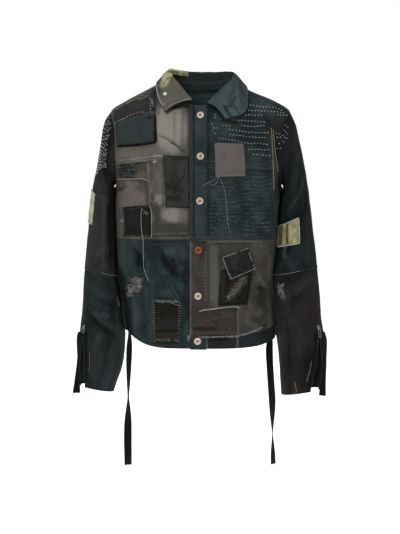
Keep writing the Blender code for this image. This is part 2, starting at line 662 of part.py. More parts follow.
def build_torso_patches():
    """Patches that follow the fronts, moved out."""
    for patch in TORSO_PATCHES:
        corners = ((patch.x1, patch.z1), (patch.x2, patch.z2),
                   (patch.x3, patch.z3), (patch.x4, patch.z4))
        upper_left, upper_right, lower_right, lower_left = [
            (front_angle(x, z), z) for x, z in corners]
        grids = {}
        for face in (PATCH_CLOTH, 0.0):
            grid = []
            for down in spread(0.0, 1.0, 5):
                line = []
                for over in spread(0.0, 1.0, 5):
                    angle, height = (
                        (upper_left[axis] * (1 - over) + upper_right[axis] * over) * (1 - down)
                        + (lower_left[axis] * (1 - over) + lower_right[axis] * over) * down
                        for axis in (0, 1))
                    lift = PATCH_LIFT
                    if patch.layer == 2:
                        climbed = ease((CLIMB_START - height) / CLIMB_RUN)
                        lift += (SECOND_LIFT - PATCH_LIFT) * climbed
                    line.append(torso_lifted(angle, height, lift + face))
                grid.append(line)
            grids[face] = grid
        add_wall(patch.name, grids[PATCH_CLOTH], grids[0.0], patch.colour)


# ---------------------------------------------------------------- sleeves
def slit_edges(side, along):
    """Angles of the front and the back edge of the cuff's slit."""
    share = ease((along - SLIDER_ALONG[side]) / (1 - SLIDER_ALONG[side]))
    middle = SLIDER_AROUND[side]
    front = middle + SLIT_CLOSED + SLIT_FRONT[side] * share
    back = middle - SLIT_CLOSED - SLIT_BACK * share
    return math.radians(front), math.radians(back)


def build_sleeve(side, word, upper_colour, lower_colour):
    """One sleeve: two tubes, the gusset, both zip tapes, the slider and its pull."""
    turns = [math.tau * step / SLEEVE_COLUMNS for step in range(SLEEVE_COLUMNS)]
    rows = [HEAD_GAP, 0.04, 0.09, 0.15, 0.21, 0.28, 0.35, 0.42, 0.49, 0.525, 0.56,
            ELBOW - ELBOW_GAP]
    grids = [[[sleeve_lifted(side, turn, along, face) for turn in turns] for along in rows]
             for face in (0.0, -CLOTH)]
    add_wall(f"sleeve_{word}_upper", grids[0], grids[1], upper_colour, closed=True)

    slider = SLIDER_ALONG[side]
    rows = [ELBOW + ELBOW_GAP, 0.67, 0.72, 0.77, slider] + spread(slider + 0.02, 1.0, 5)
    grids = []
    for face in (0.0, -CLOTH):
        grid = []
        for along in rows:
            front, back = slit_edges(side, along)
            grid.append([sleeve_lifted(side, turn, along, face)
                         for turn in spread(front, back + math.tau, SLEEVE_COLUMNS)])
        grids.append(grid)
    first_open = rows.index(slider)
    add_wall(f"sleeve_{word}_lower", grids[0], grids[1], lower_colour, closed=True,
             hole=lambda row, column: row >= first_open and column == SLEEVE_COLUMNS - 1)
    build_cuff(side, word)
    build_slider(side, word)


def build_cuff(side, word):
    """The gusset behind the slit, the sewn tape and the free tape with its flap."""
    slider = SLIDER_ALONG[side]
    grids = []
    for face in (-GUSSET_INSET, -GUSSET_INSET - PATCH_CLOTH):
        grid = []
        for along in spread(slider + GUSSET_START, GUSSET_END, 6):
            front, back = slit_edges(side, along)
            grid.append([sleeve_lifted(side, turn, along, face)
                         for turn in spread(back - GUSSET_TUCK, front + GUSSET_TUCK, 6)])
        grids.append(grid)
    add_wall(f"cuff_gusset_{word}", grids[0], grids[1], "black")

    grids = []
    for face in (PATCH_LIFT + PATCH_CLOTH, PATCH_LIFT):
        grid = []
        for along in spread(slider + ZIP_START, ZIP_END, 6):
            front = slit_edges(side, along)[0]
            grid.append([sleeve_lifted(side, turn, along, face)
                         for turn in spread(front - ZIP_INNER, front + ZIP_OUTER, 3)])
        grids.append(grid)
    add_wall(f"zip_tape_{word}_front", grids[0], grids[1], "black")

    grids = []
    flap = FLAPS[side]
    for face in (PATCH_CLOTH, 0.0):
        grid = []
        for along in spread(slider + ZIP_START, flap[-1].along, 8):
            back = slit_edges(side, min(along, 1.0))[1]
            stand_off, reach = read_table(flap, along)
            grid.append([sleeve_lifted(side, back - reach * part, along,
                                       PATCH_LIFT + stand_off * part ** FLAP_CURL + face)
                         for part in spread(0.0, 1.0, 4)])
        grids.append(grid)
    add_wall(f"zip_flap_{word}", grids[0], grids[1], "black")


def slider_frame(side):
    """Centre and axes of a slider: across the zip, down along it, and out of the cloth."""
    around = math.radians(SLIDER_AROUND[side])
    along = SLIDER_ALONG[side]
    centre = sleeve_lifted(side, around, along, SLIDER_LIFT)
    out = (sleeve_lifted(side, around, along, 0.01) - sleeve_lifted(side, around, along, 0.0))
    out.normalize()
    down = sleeve_lifted(side, around, along + 0.03, 0.0) - sleeve_lifted(side, around, along, 0.0)
    down = (down - out * down.dot(out)).normalized()
    across = down.cross(out)
    matrix = Matrix((across, down, out)).transposed().to_4x4()
    matrix.translation = centre
    return matrix


def add_tube(builder, path, radius, segments, closed):
    """A round wire along a path of points, added to a mesh."""
    count = len(path)
    rings = []
    for place, point in enumerate(path):
        before = path[(place - 1) % count] if closed or place else point
        after = path[(place + 1) % count] if closed or place < count - 1 else point
        heading = (after - before).normalized()
        turn = heading.to_track_quat("Z", "Y")
        rings.append([builder.verts.new(point + turn @ Vector((
            radius * math.cos(math.tau * step / segments),
            radius * math.sin(math.tau * step / segments), 0))) for step in range(segments)])
    for place in range(count if closed else count - 1):
        one, two = rings[place], rings[(place + 1) % count]
        for step in range(segments):
            after = (step + 1) % segments
            builder.faces.new((one[step], one[after], two[after], two[step]))
    if not closed:
        builder.faces.new(rings[0])
        builder.faces.new(rings[-1])


def build_slider(side, word):
    """The slider with its arch, and the ring pull whose bar turns inside the arch."""
    frame = slider_frame(side)
    builder = bmesh.new()
    bmesh.ops.create_cube(builder, size=1.0, matrix=Matrix.Diagonal(
        (SLIDER_WIDE, SLIDER_LONG, SLIDER_THICK, 1)))
    for corner in builder.verts:
        corner.co.z += SLIDER_THICK / 2
        if corner.co.y > 0:
            corner.co.x *= SLIDER_TAPER
    bmesh.ops.bevel(builder, geom=list(builder.edges), offset=SLIDER_BEVEL, segments=1,
                    affect="EDGES")
    body = add_object(f"zip_slider_{word}", builder, "steel")
    body.matrix_world = frame

    arch = bmesh.new()
    sweep = [Vector((0, -ARCH_RADIUS * math.cos(turn),
                     SLIDER_THICK - ARCH_SINK + (ARCH_RADIUS + ARCH_SINK) * math.sin(turn)))
             for turn in spread(0.0, math.pi, 9)]
    add_tube(arch, sweep, ARCH_WIRE, 8, False)
    arch_object = add_object(f"arch_{word}", arch, "steel")
    arch_object.matrix_world = frame
    arch_object.hide_render = True
    arch_object.display_type = "WIRE"
    union = body.modifiers.new("arch", "BOOLEAN")
    union.operation = "UNION"
    union.object = arch_object

    width, length = PULL_SIZES[side]
    corner_radius = width * PULL_CORNER
    path = []
    for centre_x, centre_y, first in ((width / 2 - corner_radius, corner_radius, -90),
                                      (width / 2 - corner_radius, length - corner_radius, 0),
                                      (-width / 2 + corner_radius, length - corner_radius, 90),
                                      (-width / 2 + corner_radius, corner_radius, 180)):
        for turn in spread(first, first + 90, 4):
            path.append(Vector((centre_x + corner_radius * math.cos(math.radians(turn)),
                                centre_y + corner_radius * math.sin(math.radians(turn)), 0)))
    ring = bmesh.new()
    add_tube(ring, path, PULL_WIRE, 8, True)
    pull = add_object(f"zip_pull_{word}", ring, "steel")
    axis = Matrix.Translation((0, 0, SLIDER_THICK + PULL_HEIGHT))
    pull.matrix_world = frame @ axis


def build_sleeve_patches():
    """Camouflage patches on the sleeves."""
    for patch in SLEEVE_PATCHES:
        grids = [[[sleeve_lifted(patch.side, turn, along, PATCH_LIFT + face)
                   for turn in spread(math.radians(patch.around1),
                                      math.radians(patch.around2), 9)]
                  for along in spread(patch.along1, patch.along2, 5)]
                 for face in (PATCH_CLOTH, 0.0)]
        add_wall(patch.name, grids[0], grids[1], "camo")


# ---------------------------------------------------------------- collar
def collar_edge(side, x, z, front):
    """A point just above the shoulders where the collar's fall ends."""
    height = min(z, NECK_SIDE)
    angle = front_angle(x, height)
    if abs(x) >= torso_ring(height, side)[0]:
        angle = math.copysign(math.pi / 2, x)
    if not front:
        angle = math.copysign(math.pi - abs(angle), angle)
    point = torso_lifted(angle, height, LEAF_CLEAR)
    point.z = max(point.z, z)
    return point


def clear_of_torso(point):
    """Move a point of the collar's fall out until it clears the shoulders."""
    if point.z > NECK_SIDE:
        return point
    half, front, back = torso_ring(point.z, point.x)
    depth = front if point.y < 0 else back
    angle = math.atan2(power(point.x / half, TORSO_POWER / 2),
                       power(-point.y / depth, TORSO_POWER / 2))
    seat = torso_point(angle, point.z)
    normal = (torso_lifted(angle, point.z, 0.01) - seat).normalized()
    return point + normal * max(LEAF_CLEAR - (point - seat).dot(normal), 0.0)


def leaf_point(side, turn, share):
    """A point of the collar's fall; share is 0 at the fold and 1 at its outer edge."""
    fold_x, fold_y, fold_z, edge_x, edge_z = read_table(COLLAR[side], turn)
    fold = Vector((fold_x, fold_y, fold_z))
    edge = collar_edge(side, edge_x, edge_z, turn > FRONT_TURN)
    outward = Vector((math.sin(math.radians(turn)) * side, math.cos(math.radians(turn)), 0))
    roll = fold + outward * ROLL_OUT + Vector((0, 0, -ROLL_DOWN))
    if share < ROLL_SHARE:
        return clear_of_torso(fold.lerp(roll, share / ROLL_SHARE))
    part = (share - ROLL_SHARE) / (1 - ROLL_SHARE)
    point = roll.lerp(edge, part)
    bow = math.sin(math.pi * part)
    end = ease((turn - END_TURN) / END_RUN)
    point += (outward + Vector((0, 0, 1))) * bow * FALL_BOW * (1 - end)
    point += Vector((0, -END_FORWARD, END_BOW)) * end * bow
    return clear_of_torso(point)


def leaf_grid(side, turns, shares, lift):
    """Points of the fall moved along its outward direction."""
    grid = []
    for share in shares:
        line = []
        for turn in turns:
            step = 2.0
            low, high = max(turn - step, 0), min(turn + step, 180)
            ahead = leaf_point(side, high, share) - leaf_point(side, low, share)
            near, far = max(share - 0.04, 0), min(share + 0.04, 1)
            down = leaf_point(side, turn, far) - leaf_point(side, turn, near)
            normal = ahead.cross(down).normalized() * side
            line.append(leaf_point(side, turn, share) + normal * lift)
        grid.append(line)
    return grid


def neckline(side):
    """Corners of the neck hole's edge from the back to the front on one side."""
    points = [torso_point(side * (math.pi - abs(front_angle(side * BACK_NECK_FLAT, NECK_BACK))),
                          NECK_BACK)]
    climbing = [height for height in YOKE_HEIGHTS if height > NECK_BACK]
    for height in climbing:
        x = side * neck_half(height, NECK_BACK)
        points.append(torso_point(side * (math.pi - abs(front_angle(x, height))), height))
    for height in reversed([h for h in YOKE_HEIGHTS if h > NECK_FRONT]):
        points.append(torso_point(front_angle(side * neck_half(height, NECK_FRONT), height),
                                  height))
    return points


def build_collar():
    """Stand, both halves of the fall, the stud and the camouflage patch over the fold."""
    route = neckline(RIGHT)[::-1] + neckline(LEFT)
    sides = [RIGHT] * (len(route) // 2) + [LEFT] * (len(route) // 2)
    grids = []
    for face in (0.0, 1.0):
        rows = [[], [], []]
        for side, seam in zip(sides, route):
            turn = math.degrees(math.atan2(abs(seam.x - 0.003), seam.y))
            fold = Vector(read_table(COLLAR[side], turn)[:3])
            outward = Vector((math.sin(math.radians(turn)) * side,
                              math.cos(math.radians(turn)), 0))
            inset = outward * face * CLOTH
            foot = seam + Vector((0, 0, 2 * SEAM_GAP)) - outward * SEAM_GAP
            head = fold + Vector((0, 0, -STAND_DROP)) + outward * STAND_OUT
            rows[0].append(foot - inset)
            rows[1].append(foot.lerp(head, 0.5) - inset - outward * STAND_HOLLOW)
            rows[2].append(head - inset)
        grids.append(rows)
    add_wall("collar_stand", grids[0], grids[1], "umber")

    shares = (0.0, 0.1, 0.3, 0.53, 0.76, 1.0)
    for side, word, colour in ((RIGHT, "right", "olive"), (LEFT, "left", "slate")):
        turns = spread(1.0, 180.0, 15)
        outer = leaf_grid(side, turns, shares, CLOTH)
        inner = leaf_grid(side, turns, shares, 0.0)
        add_wall(f"collar_leaf_{word}", outer, inner, colour)

    turns, shares = spread(*COLLAR_PATCH_TURNS, 7), (0.14, 0.28, 0.42, 0.56)
    foot = CLOTH + PATCH_LIFT
    add_wall("patch_collar_outer", leaf_grid(RIGHT, turns, shares, foot + PATCH_CLOTH),
             leaf_grid(RIGHT, turns, shares, foot), "camo")
    seat = leaf_grid(RIGHT, [STUD_TURN], [STUD_SHARE], CLOTH + 2 * SEAM_GAP)[0][0]
    normal = (seat - leaf_point(RIGHT, STUD_TURN, STUD_SHARE)).normalized()
    turned("collar_stud", STUD_OUTLINE, seat, normal, "steel", 10)


def build_buttons():
    """Six shank buttons down the band."""
    for number, button in enumerate(BUTTONS, start=1):
        angle = front_angle(button.x, button.z)
        seat = torso_lifted(angle, button.z, SEAM_GAP)
        normal = torso_lifted(angle, button.z, 0.01) - torso_lifted(angle, button.z, 0.0)
        colour = "copper" if number == 4 else "button"
        turned(f"button_{number}", BUTTON_OUTLINE, seat, normal.normalized(), colour)


def build_tapes():
    """The two tapes that hang from the hem."""
    for side, word in ((RIGHT, "right"), (LEFT, "left")):
        rows = sorted(TAPES[side], key=lambda tape: tape.z)
        grids = []
        for face in (0.5, -0.5):
            grid = []
            for height in spread(rows[0].z, rows[-1].z, 19):
                x, y, turn = read_table(rows, height)
                wide = Vector((math.cos(math.radians(turn)), math.sin(math.radians(turn)), 0))
                flat = Vector((-wide.y, wide.x, 0))
                grid.append([Vector((x, y, height)) + wide * TAPE_WIDTH * part
                             + flat * TAPE_THICK * face for part in (-0.5, 0.5)])
            grids.append(grid)
        add_wall(f"tape_{word}", grids[0], grids[1], "black")


def main():
    """Clear the scene and build the jacket."""
    for thing in list(bpy.data.objects):
        bpy.data.objects.remove(thing)
    build_fronts()
    build_back()
    build_torso_patches()
    build_sleeve(RIGHT, "right", "charcoal", "navy")
    build_sleeve(LEFT, "left", "navy", "umber")
    build_sleeve_patches()
    build_collar()
    build_buttons()
    build_tapes()


main()
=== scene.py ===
"""Patched and mended denim work jacket: cloth, patches, hand stitches, buttons, zips and tapes.

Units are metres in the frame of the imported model: +Z up, +Y towards the back and +X towards the
wearer's left; tables give their lengths in millimetres. The cloth follows the same torso, sleeve
and collar forms as the solids, with creases, gathers and worn edges laid on them.
"""
import logging
import math
from dataclasses import dataclass, field
from enum import Enum
from typing import Callable, NamedTuple, Sequence

import bpy
import numpy as np
from mathutils import Matrix, Vector


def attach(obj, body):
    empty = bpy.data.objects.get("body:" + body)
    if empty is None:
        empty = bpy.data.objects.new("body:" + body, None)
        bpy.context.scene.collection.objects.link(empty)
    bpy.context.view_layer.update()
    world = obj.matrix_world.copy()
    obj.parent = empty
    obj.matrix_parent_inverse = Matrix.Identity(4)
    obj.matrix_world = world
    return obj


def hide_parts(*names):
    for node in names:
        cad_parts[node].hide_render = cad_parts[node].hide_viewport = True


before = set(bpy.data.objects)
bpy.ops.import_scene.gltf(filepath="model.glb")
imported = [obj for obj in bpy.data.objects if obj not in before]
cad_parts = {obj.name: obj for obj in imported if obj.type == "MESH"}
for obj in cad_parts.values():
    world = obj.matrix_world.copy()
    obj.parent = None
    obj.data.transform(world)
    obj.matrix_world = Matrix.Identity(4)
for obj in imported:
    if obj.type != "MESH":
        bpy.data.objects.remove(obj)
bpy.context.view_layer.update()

Array = np.ndarray
LOG = logging.getLogger("jacket")
BODY = "jacket"

# ---------------------------------------------------------------- sizes shared with the solids
CLOTH, PATCH_CLOTH, SEAM_GAP, PATCH_LIFT = 0.0016, 0.0012, 0.0003, 0.001
WAIST, ARMPIT, SHOULDER = -0.371, -0.235, -0.055
NECK_SIDE, NECK_FRONT, NECK_BACK, NECK_HALF = 0.0215, -0.0465, 0.0, 0.082
BACK_NECK_FLAT = 0.011
BAND_RIGHT, BAND_LEFT = -0.0229, 0.0181
LAP_REACH, LAP_RUN, UNDERLAP = 0.058, 0.022, 0.012
HEM_FRONT, HEM_BACK, HEM_BAND, HEM_CURVE = -0.6365, -0.624, 0.034, 4.2
HEM_SIDE = {-1: -0.594, 1: -0.616}
TORSO_POWER, SLEEVE_POWER = 2.4, 2.2
ARMHOLE_DEPTH = {-1: 0.06, 1: 0.071}
CAP_BLEND, ELBOW, ELBOW_GAP, HEAD_GAP = 0.22, 0.62, 0.0004, 0.0006
LEAF_CLEAR, FRONT_TURN = 0.0034, 85
ROLL_SHARE, ROLL_OUT, ROLL_DOWN = 0.1, 0.0045, 0.0012
FALL_BOW, END_TURN, END_RUN, END_FORWARD, END_BOW = 0.001, 165, 15, 0.004, 0.006
STAND_DROP, STAND_OUT, STAND_HOLLOW = 0.0014, 0.001, 0.0008
SLIDER_ALONG = {-1: 0.828, 1: 0.818}
SLIDER_AROUND = {-1: 43.0, 1: 47.0}
SLIDER_BULGE = (14, 0.03, 0.002)    # degrees around, share along, and height at the left slider
SLIT_CLOSED, SLIT_BACK = 2.5, 17.0
SLIT_FRONT = {-1: 5.0, 1: 16.0}
SLEEVE_LENGTH, SLEEVE_TURN = 0.69, 0.075    # metres for the whole sleeve, and for each radian around
COLLAR_TURN, COLLAR_FALL = 0.0017, 0.062    # metres for each degree of the neck, and for the fall
SLEEVE_UNIT = (math.radians(1) * SLEEVE_TURN, SLEEVE_LENGTH)
COLLAR_UNIT = (COLLAR_TURN, COLLAR_FALL)
RADIAN = 57.3    # degrees in a radian, near enough for the edge of a sleeve patch


class Side(Enum):
    """The wearer's sides."""

    RIGHT = -1
    LEFT = 1

    @property
    def word(self) -> str:
        """The side in lower case, as the node names have it."""
        return self.name.lower()


class Ring(NamedTuple):
    """A section of the torso: half width to each side, depth to the front and to the back."""

    height: float
    right: float
    left: float
    front: float
    back: float


class Cuff(NamedTuple):
    """A section of a sleeve: its outer and inner edge, their heights, its middle and half depth."""

    along: float
    outer: float
    outer_z: float
    inner: float
    inner_z: float
    middle_y: float
    depth: float


class Neck(NamedTuple):
    """A place of the collar: the fold line and the outer edge of the fall."""

    turn: float
    fold_x: float
    fold_y: float
    fold_z: float
    edge_x: float
    edge_z: float


class Swell(NamedTuple):
    """How far the cloth stands out at a height."""

    height: float
    rise: float


class Hang(NamedTuple):
    """A place of a hanging tape: its height, its middle and its turn in degrees."""

    height: float
    x: float
    y: float
    turn: float


Line = tuple[tuple[float, float], ...]


def metres(sizes: Sequence[float]) -> tuple[float, ...]:
    """Lengths that are given in millimetres."""
    return tuple(round(size / 1000, 7) for size in sizes)


def route(*points: tuple[float, float]) -> Line:
    """A line or an outline through places that are given in millimetres."""
    return tuple(metres(point) for point in points)


def measured(kind: type, first: int, last: int, *rows: tuple) -> tuple:
    """Rows of a table whose lengths are given in millimetres.

    Args:
        kind: The named tuple that each row becomes.
        first: Where the lengths of a row start.
        last: Where they end; what stands before and after them stays as it is.
        *rows: The rows.

    Returns:
        The named rows.
    """
    return tuple(kind(*row[:first], *metres(row[first:last]), *row[last:]) for row in rows)


TORSO = measured(
    Ring, 0, 5, (-660, 177.5, 190, 117, 112), (-600, 181, 186.5, 124, 116), (-540, 187, 180.5, 128, 118),
    (-465, 196, 180, 131, 120), (-371, 203.5, 191, 134, 122), (-300, 206, 194.5, 136, 127),
    (-235, 208.5, 205, 136, 133), (-170, 221, 221.5, 132, 134), (-110, 224, 225, 121, 126),
    (-55, 219, 224, 103, 106), (-30, 182, 186, 93, 95), (-5, 136, 127, 80, 87), (12, 104, 98, 68, 77),
    (22, 83.8, 83.8, 60, 70))
SLEEVES = {
    -1: measured(
        Cuff, 1, 7, (0.0, 219, -55, 208.5, -235, 0, 60), (0.06, 236, -82, 213, -242, 1, 64),
        (0.14, 246.5, -138, 213.5, -256, 3, 67), (0.24, 256.5, -196, 213, -283, 5, 69),
        (0.33, 267, -250, 212.5, -315, 6, 70), (0.46, 276, -335, 210.5, -370, 5, 69),
        (0.62, 286, -447.5, 209, -465, -3, 64), (0.7, 289.5, -500, 201, -508, -12, 61),
        (0.78, 292.5, -554, 193.5, -560, -20, 58), (0.86, 297.5, -612, 187, -617, -27, 55),
        (0.93, 298.5, -670, 190.5, -675, -33, 52), (1.0, 296, -732.5, 213, -748, -38, 49)),
    1: measured(
        Cuff, 1, 7, (0.0, 224, -55, 205, -235, 0, 71), (0.06, 239, -87, 209.5, -243, 1, 71),
        (0.14, 249, -129, 208.5, -256, 3, 71), (0.24, 263, -196, 204.5, -283, 5, 71),
        (0.33, 271.5, -250, 200, -315, 6, 71), (0.46, 281.5, -335, 197.5, -360, 3, 69),
        (0.62, 293.5, -445, 186, -464, -10, 64), (0.7, 298.5, -500, 186, -515, -18, 61),
        (0.78, 301.5, -560, 188.5, -570, -26, 58), (0.86, 309, -620, 194.5, -625, -32, 55),
        (0.93, 307, -680, 200, -684, -37, 51), (1.0, 299, -742, 204, -756, -42, 47))}
COLLAR = {
    -1: measured(
        Neck, 1, 6, (0, 6, 80, 49, 6, -20), (30, -37, 74, 50, -60, -16), (60, -64.5, 50, 52, -95, 4),
        (90, -71.5, 14, 49, -103, 13), (120, -69, -24, 33, -104, -6), (150, -52, -64, 8, -98, -34),
        (180, -18.5, -98.5, -33.5, -83.5, -63)),
    1: measured(
        Neck, 1, 6, (0, 6, 80, 49, 6, -20), (30, 46, 74, 48.5, 64, -19), (60, 75, 51, 47.5, 100, -1),
        (90, 84, 20, 41, 113, 2), (120, 79, -22, 22, 117, -23), (150, 60, -62, -3, 110, -66),
        (180, 19.5, -99.5, -40, 62.5, -82.5))}


class Crease(NamedTuple):
    """A soft ridge, or a trough where the height is negative, from one place to another."""

    a1: float
    b1: float
    a2: float
    b2: float
    width: float
    height: float
    bend: float = 0.0


# creases of the fronts, across and up; all but the bend in millimetres
FRONT_CREASES = measured(
    Crease, 0, 6, (-98, -120, -36, -164, 3.5, -2.6, 0.06), (-92, -113, -34, -152, 6, 1.8, 0.06),
    (-40, -52, -38, -150, 11, 1.6, 0.05), (-66, -60, -72, -130, 9, -1.4, -0.08),
    (-100, -180, -92, -300, 8, 2.2, 0.04), (-112, -182, -106, -290, 6, -1.6, 0.03),
    (-180, -168, -95, -160, 7, 1.4, 0.05), (-205, -175, -160, -215, 6, -1.8, 0.1),
    (-60, -300, -32, -365, 10, 1.6, -0.1), (-196, -300, -186, -362, 7, -2, 0.05),
    (-160, -395, -136, -445, 6, -2.4, 0.12), (-150, -390, -126, -440, 7, 2, 0.12),
    (-92, -398, -48, -462, 6, -2.8, -0.1), (-80, -392, -38, -452, 7, 2.2, -0.1),
    (-64, -485, -40, -522, 5, -2.6, 0.05), (-72, -480, -50, -522, 6, 2, 0.05),
    (-185, -470, -150, -590, 11, 2.4, 0.06), (-165, -470, -135, -600, 9, -1.8, 0.06),
    (-120, -470, -118, -600, 7, 1.2, 0.02), (-36, -545, -30, -625, 6, 1.4, 0.02),
    (30, -400, 36, -545, 9, 2, 0.02), (48, -395, 50, -450, 6, -1.2, 0.02),
    (134, -445, 170, -495, 6, 3.4, -0.08), (126, -452, 162, -505, 6, -2.6, -0.08),
    (140, -489, 174, -500, 3.4, -3, 0.12), (120, -530, 176, -560, 10, 2.6, -0.1),
    (112, -520, 160, -585, 8, -1.8, -0.1), (150, -385, 172, -470, 9, 2, 0.1),
    (166, -560, 176, -610, 8, 2.2, 0.0), (130, -30, 205, -90, 12, 1.6, 0.05),
    (180, -110, 196, -240, 6, -2.2, 0.03), (170, -110, 180, -250, 6, 1.8, 0.03))
# creases of the back, across and up
BACK_CREASES = measured(
    Crease, 0, 6, (-150, -120, -50, -190, 10, 2.6, 0.08), (-160, -150, -60, -240, 8, -2.2, 0.08),
    (155, -120, 60, -200, 10, 2.8, -0.08), (150, -160, 70, -255, 8, -2, -0.08),
    (-20, -60, 18, -330, 14, 1.8, 0.03), (-120, -280, -100, -362, 9, 2, 0.05),
    (118, -290, 110, -365, 9, 2.2, -0.05), (-140, -390, -120, -600, 11, 2.6, 0.03),
    (-60, -385, -50, -560, 9, -2, 0.02), (20, -390, 30, -600, 12, 2.4, -0.02),
    (90, -385, 80, -540, 8, -1.8, 0.02), (140, -390, 150, -590, 11, 2.4, -0.03))
# creases of the sleeves: degrees around from the outer edge, and share along
SLEEVE_CREASES = {
    -1: measured(
        Crease, 4, 6, (104, 0.27, 108, 0.6, 9, 3, 0.01), (134, 0.2, 140, 0.6, 10, -4, 0.01),
        (60, 0.26, 40, 0.56, 11, -1.8, 0.02), (30, 0.06, 85, 0.22, 8, 2, 0.04),
        (60, 0.05, 112, 0.18, 6, -2.2, 0.04), (150, 0.26, 60, 0.34, 7, 2.2, 0.06),
        (150, 0.5, 70, 0.56, 7, 2.4, 0.05), (140, 0.55, 75, 0.6, 5, -2, 0.05),
        (50, 0.66, 130, 0.71, 8, 3, 0.05), (60, 0.69, 140, 0.75, 6, -2.8, 0.05),
        (62, 0.755, 126, 0.82, 7, 3.2, 0.06), (70, 0.79, 132, 0.85, 6, -2.8, 0.06),
        (92, 0.84, 76, 0.9, 7, 2.6, 0.03), (112, 0.86, 96, 0.97, 7, -2.2, 0.02),
        (130, 0.88, 122, 0.99, 8, 2.4, 0.02), (-60, 0.2, -100, 0.55, 11, 3, 0.03),
        (-95, 0.18, -130, 0.58, 9, -2.6, 0.02), (-40, 0.62, -120, 0.72, 9, 3, 0.05),
        (-60, 0.74, -130, 0.84, 8, -2.8, 0.05), (-50, 0.82, -110, 0.95, 9, 2.6, 0.04)),
    1: measured(
        Crease, 4, 6, (50, 0.08, 120, 0.22, 8, 3, 0.05), (80, 0.06, 140, 0.17, 6, -3, 0.05),
        (62, 0.17, 140, 0.27, 7, 3.6, 0.05), (88, 0.2, 150, 0.29, 5, -3, 0.04),
        (50, 0.26, 135, 0.35, 7, 3, 0.06), (42, 0.31, 70, 0.42, 6, -2.4, 0.03),
        (58, 0.44, 66, 0.6, 8, 2.6, 0.02), (120, 0.53, 70, 0.6, 7, -3, 0.04),
        (140, 0.52, 95, 0.605, 7, 3, 0.04), (60, 0.645, 130, 0.7, 8, 3, 0.05),
        (70, 0.68, 140, 0.745, 6, -2.8, 0.05), (80, 0.76, 140, 0.8, 8, 2.6, 0.05),
        (96, 0.8, 104, 0.97, 8, 2.4, 0.01), (120, 0.79, 128, 0.96, 7, -2.4, 0.01),
        (78, 0.86, 88, 0.99, 6, -1.8, 0.01), (-50, 0.18, -110, 0.4, 11, 3, 0.04),
        (-80, 0.2, -140, 0.52, 9, -2.8, 0.03), (-50, 0.6, -120, 0.68, 9, 3.2, 0.05),
        (-60, 0.71, -135, 0.8, 8, -2.6, 0.05), (-60, 0.82, -100, 0.97, 9, 2.6, 0.03))}
# creases of the collar's fall: degrees around the neck from the back, share from fold to edge
COLLAR_CREASES = {
    -1: measured(
        Crease, 4, 6, (150, 0.2, 172, 0.75, 5, 0.9, 0.05), (100, 0.55, 140, 0.8, 5, -0.7, 0.05),
        (20, 0.5, 60, 0.55, 8, 1, 0.05)),
    1: measured(
        Crease, 4, 6, (138, 0.42, 164, 0.7, 4.5, -2.6, -0.2), (128, 0.44, 152, 0.8, 5, 2.6, -0.2),
        (150, 0.62, 170, 0.92, 5, 2.4, 0.2), (169, 0.6, 172, 1.0, 4, -2.4, 0.0),
        (165, 0.66, 166, 1.0, 4, 2.2, 0.0), (177, 0.66, 177, 1.0, 3.5, 1.8, 0.0),
        (160, 0.4, 178, 0.6, 6, 1.4, 0.1), (100, 0.4, 122, 0.85, 7, 1.8, 0.1),
        (112, 0.35, 132, 0.7, 5, -1.6, 0.1), (20, 0.5, 60, 0.55, 8, 1, 0.05))}


# ---------------------------------------------------------------- small tools
def srgb(red: float, green: float, blue: float) -> tuple[float, float, float]:
    """A colour given as on a screen, from 0 to 255, as linear light."""
    def linear(value: float) -> float:
        """One channel as linear light."""
        share = value / 255
        return share / 12.92 if share <= 0.04045 else ((share + 0.055) / 1.055) ** 2.4
    return linear(red), linear(green), linear(blue)


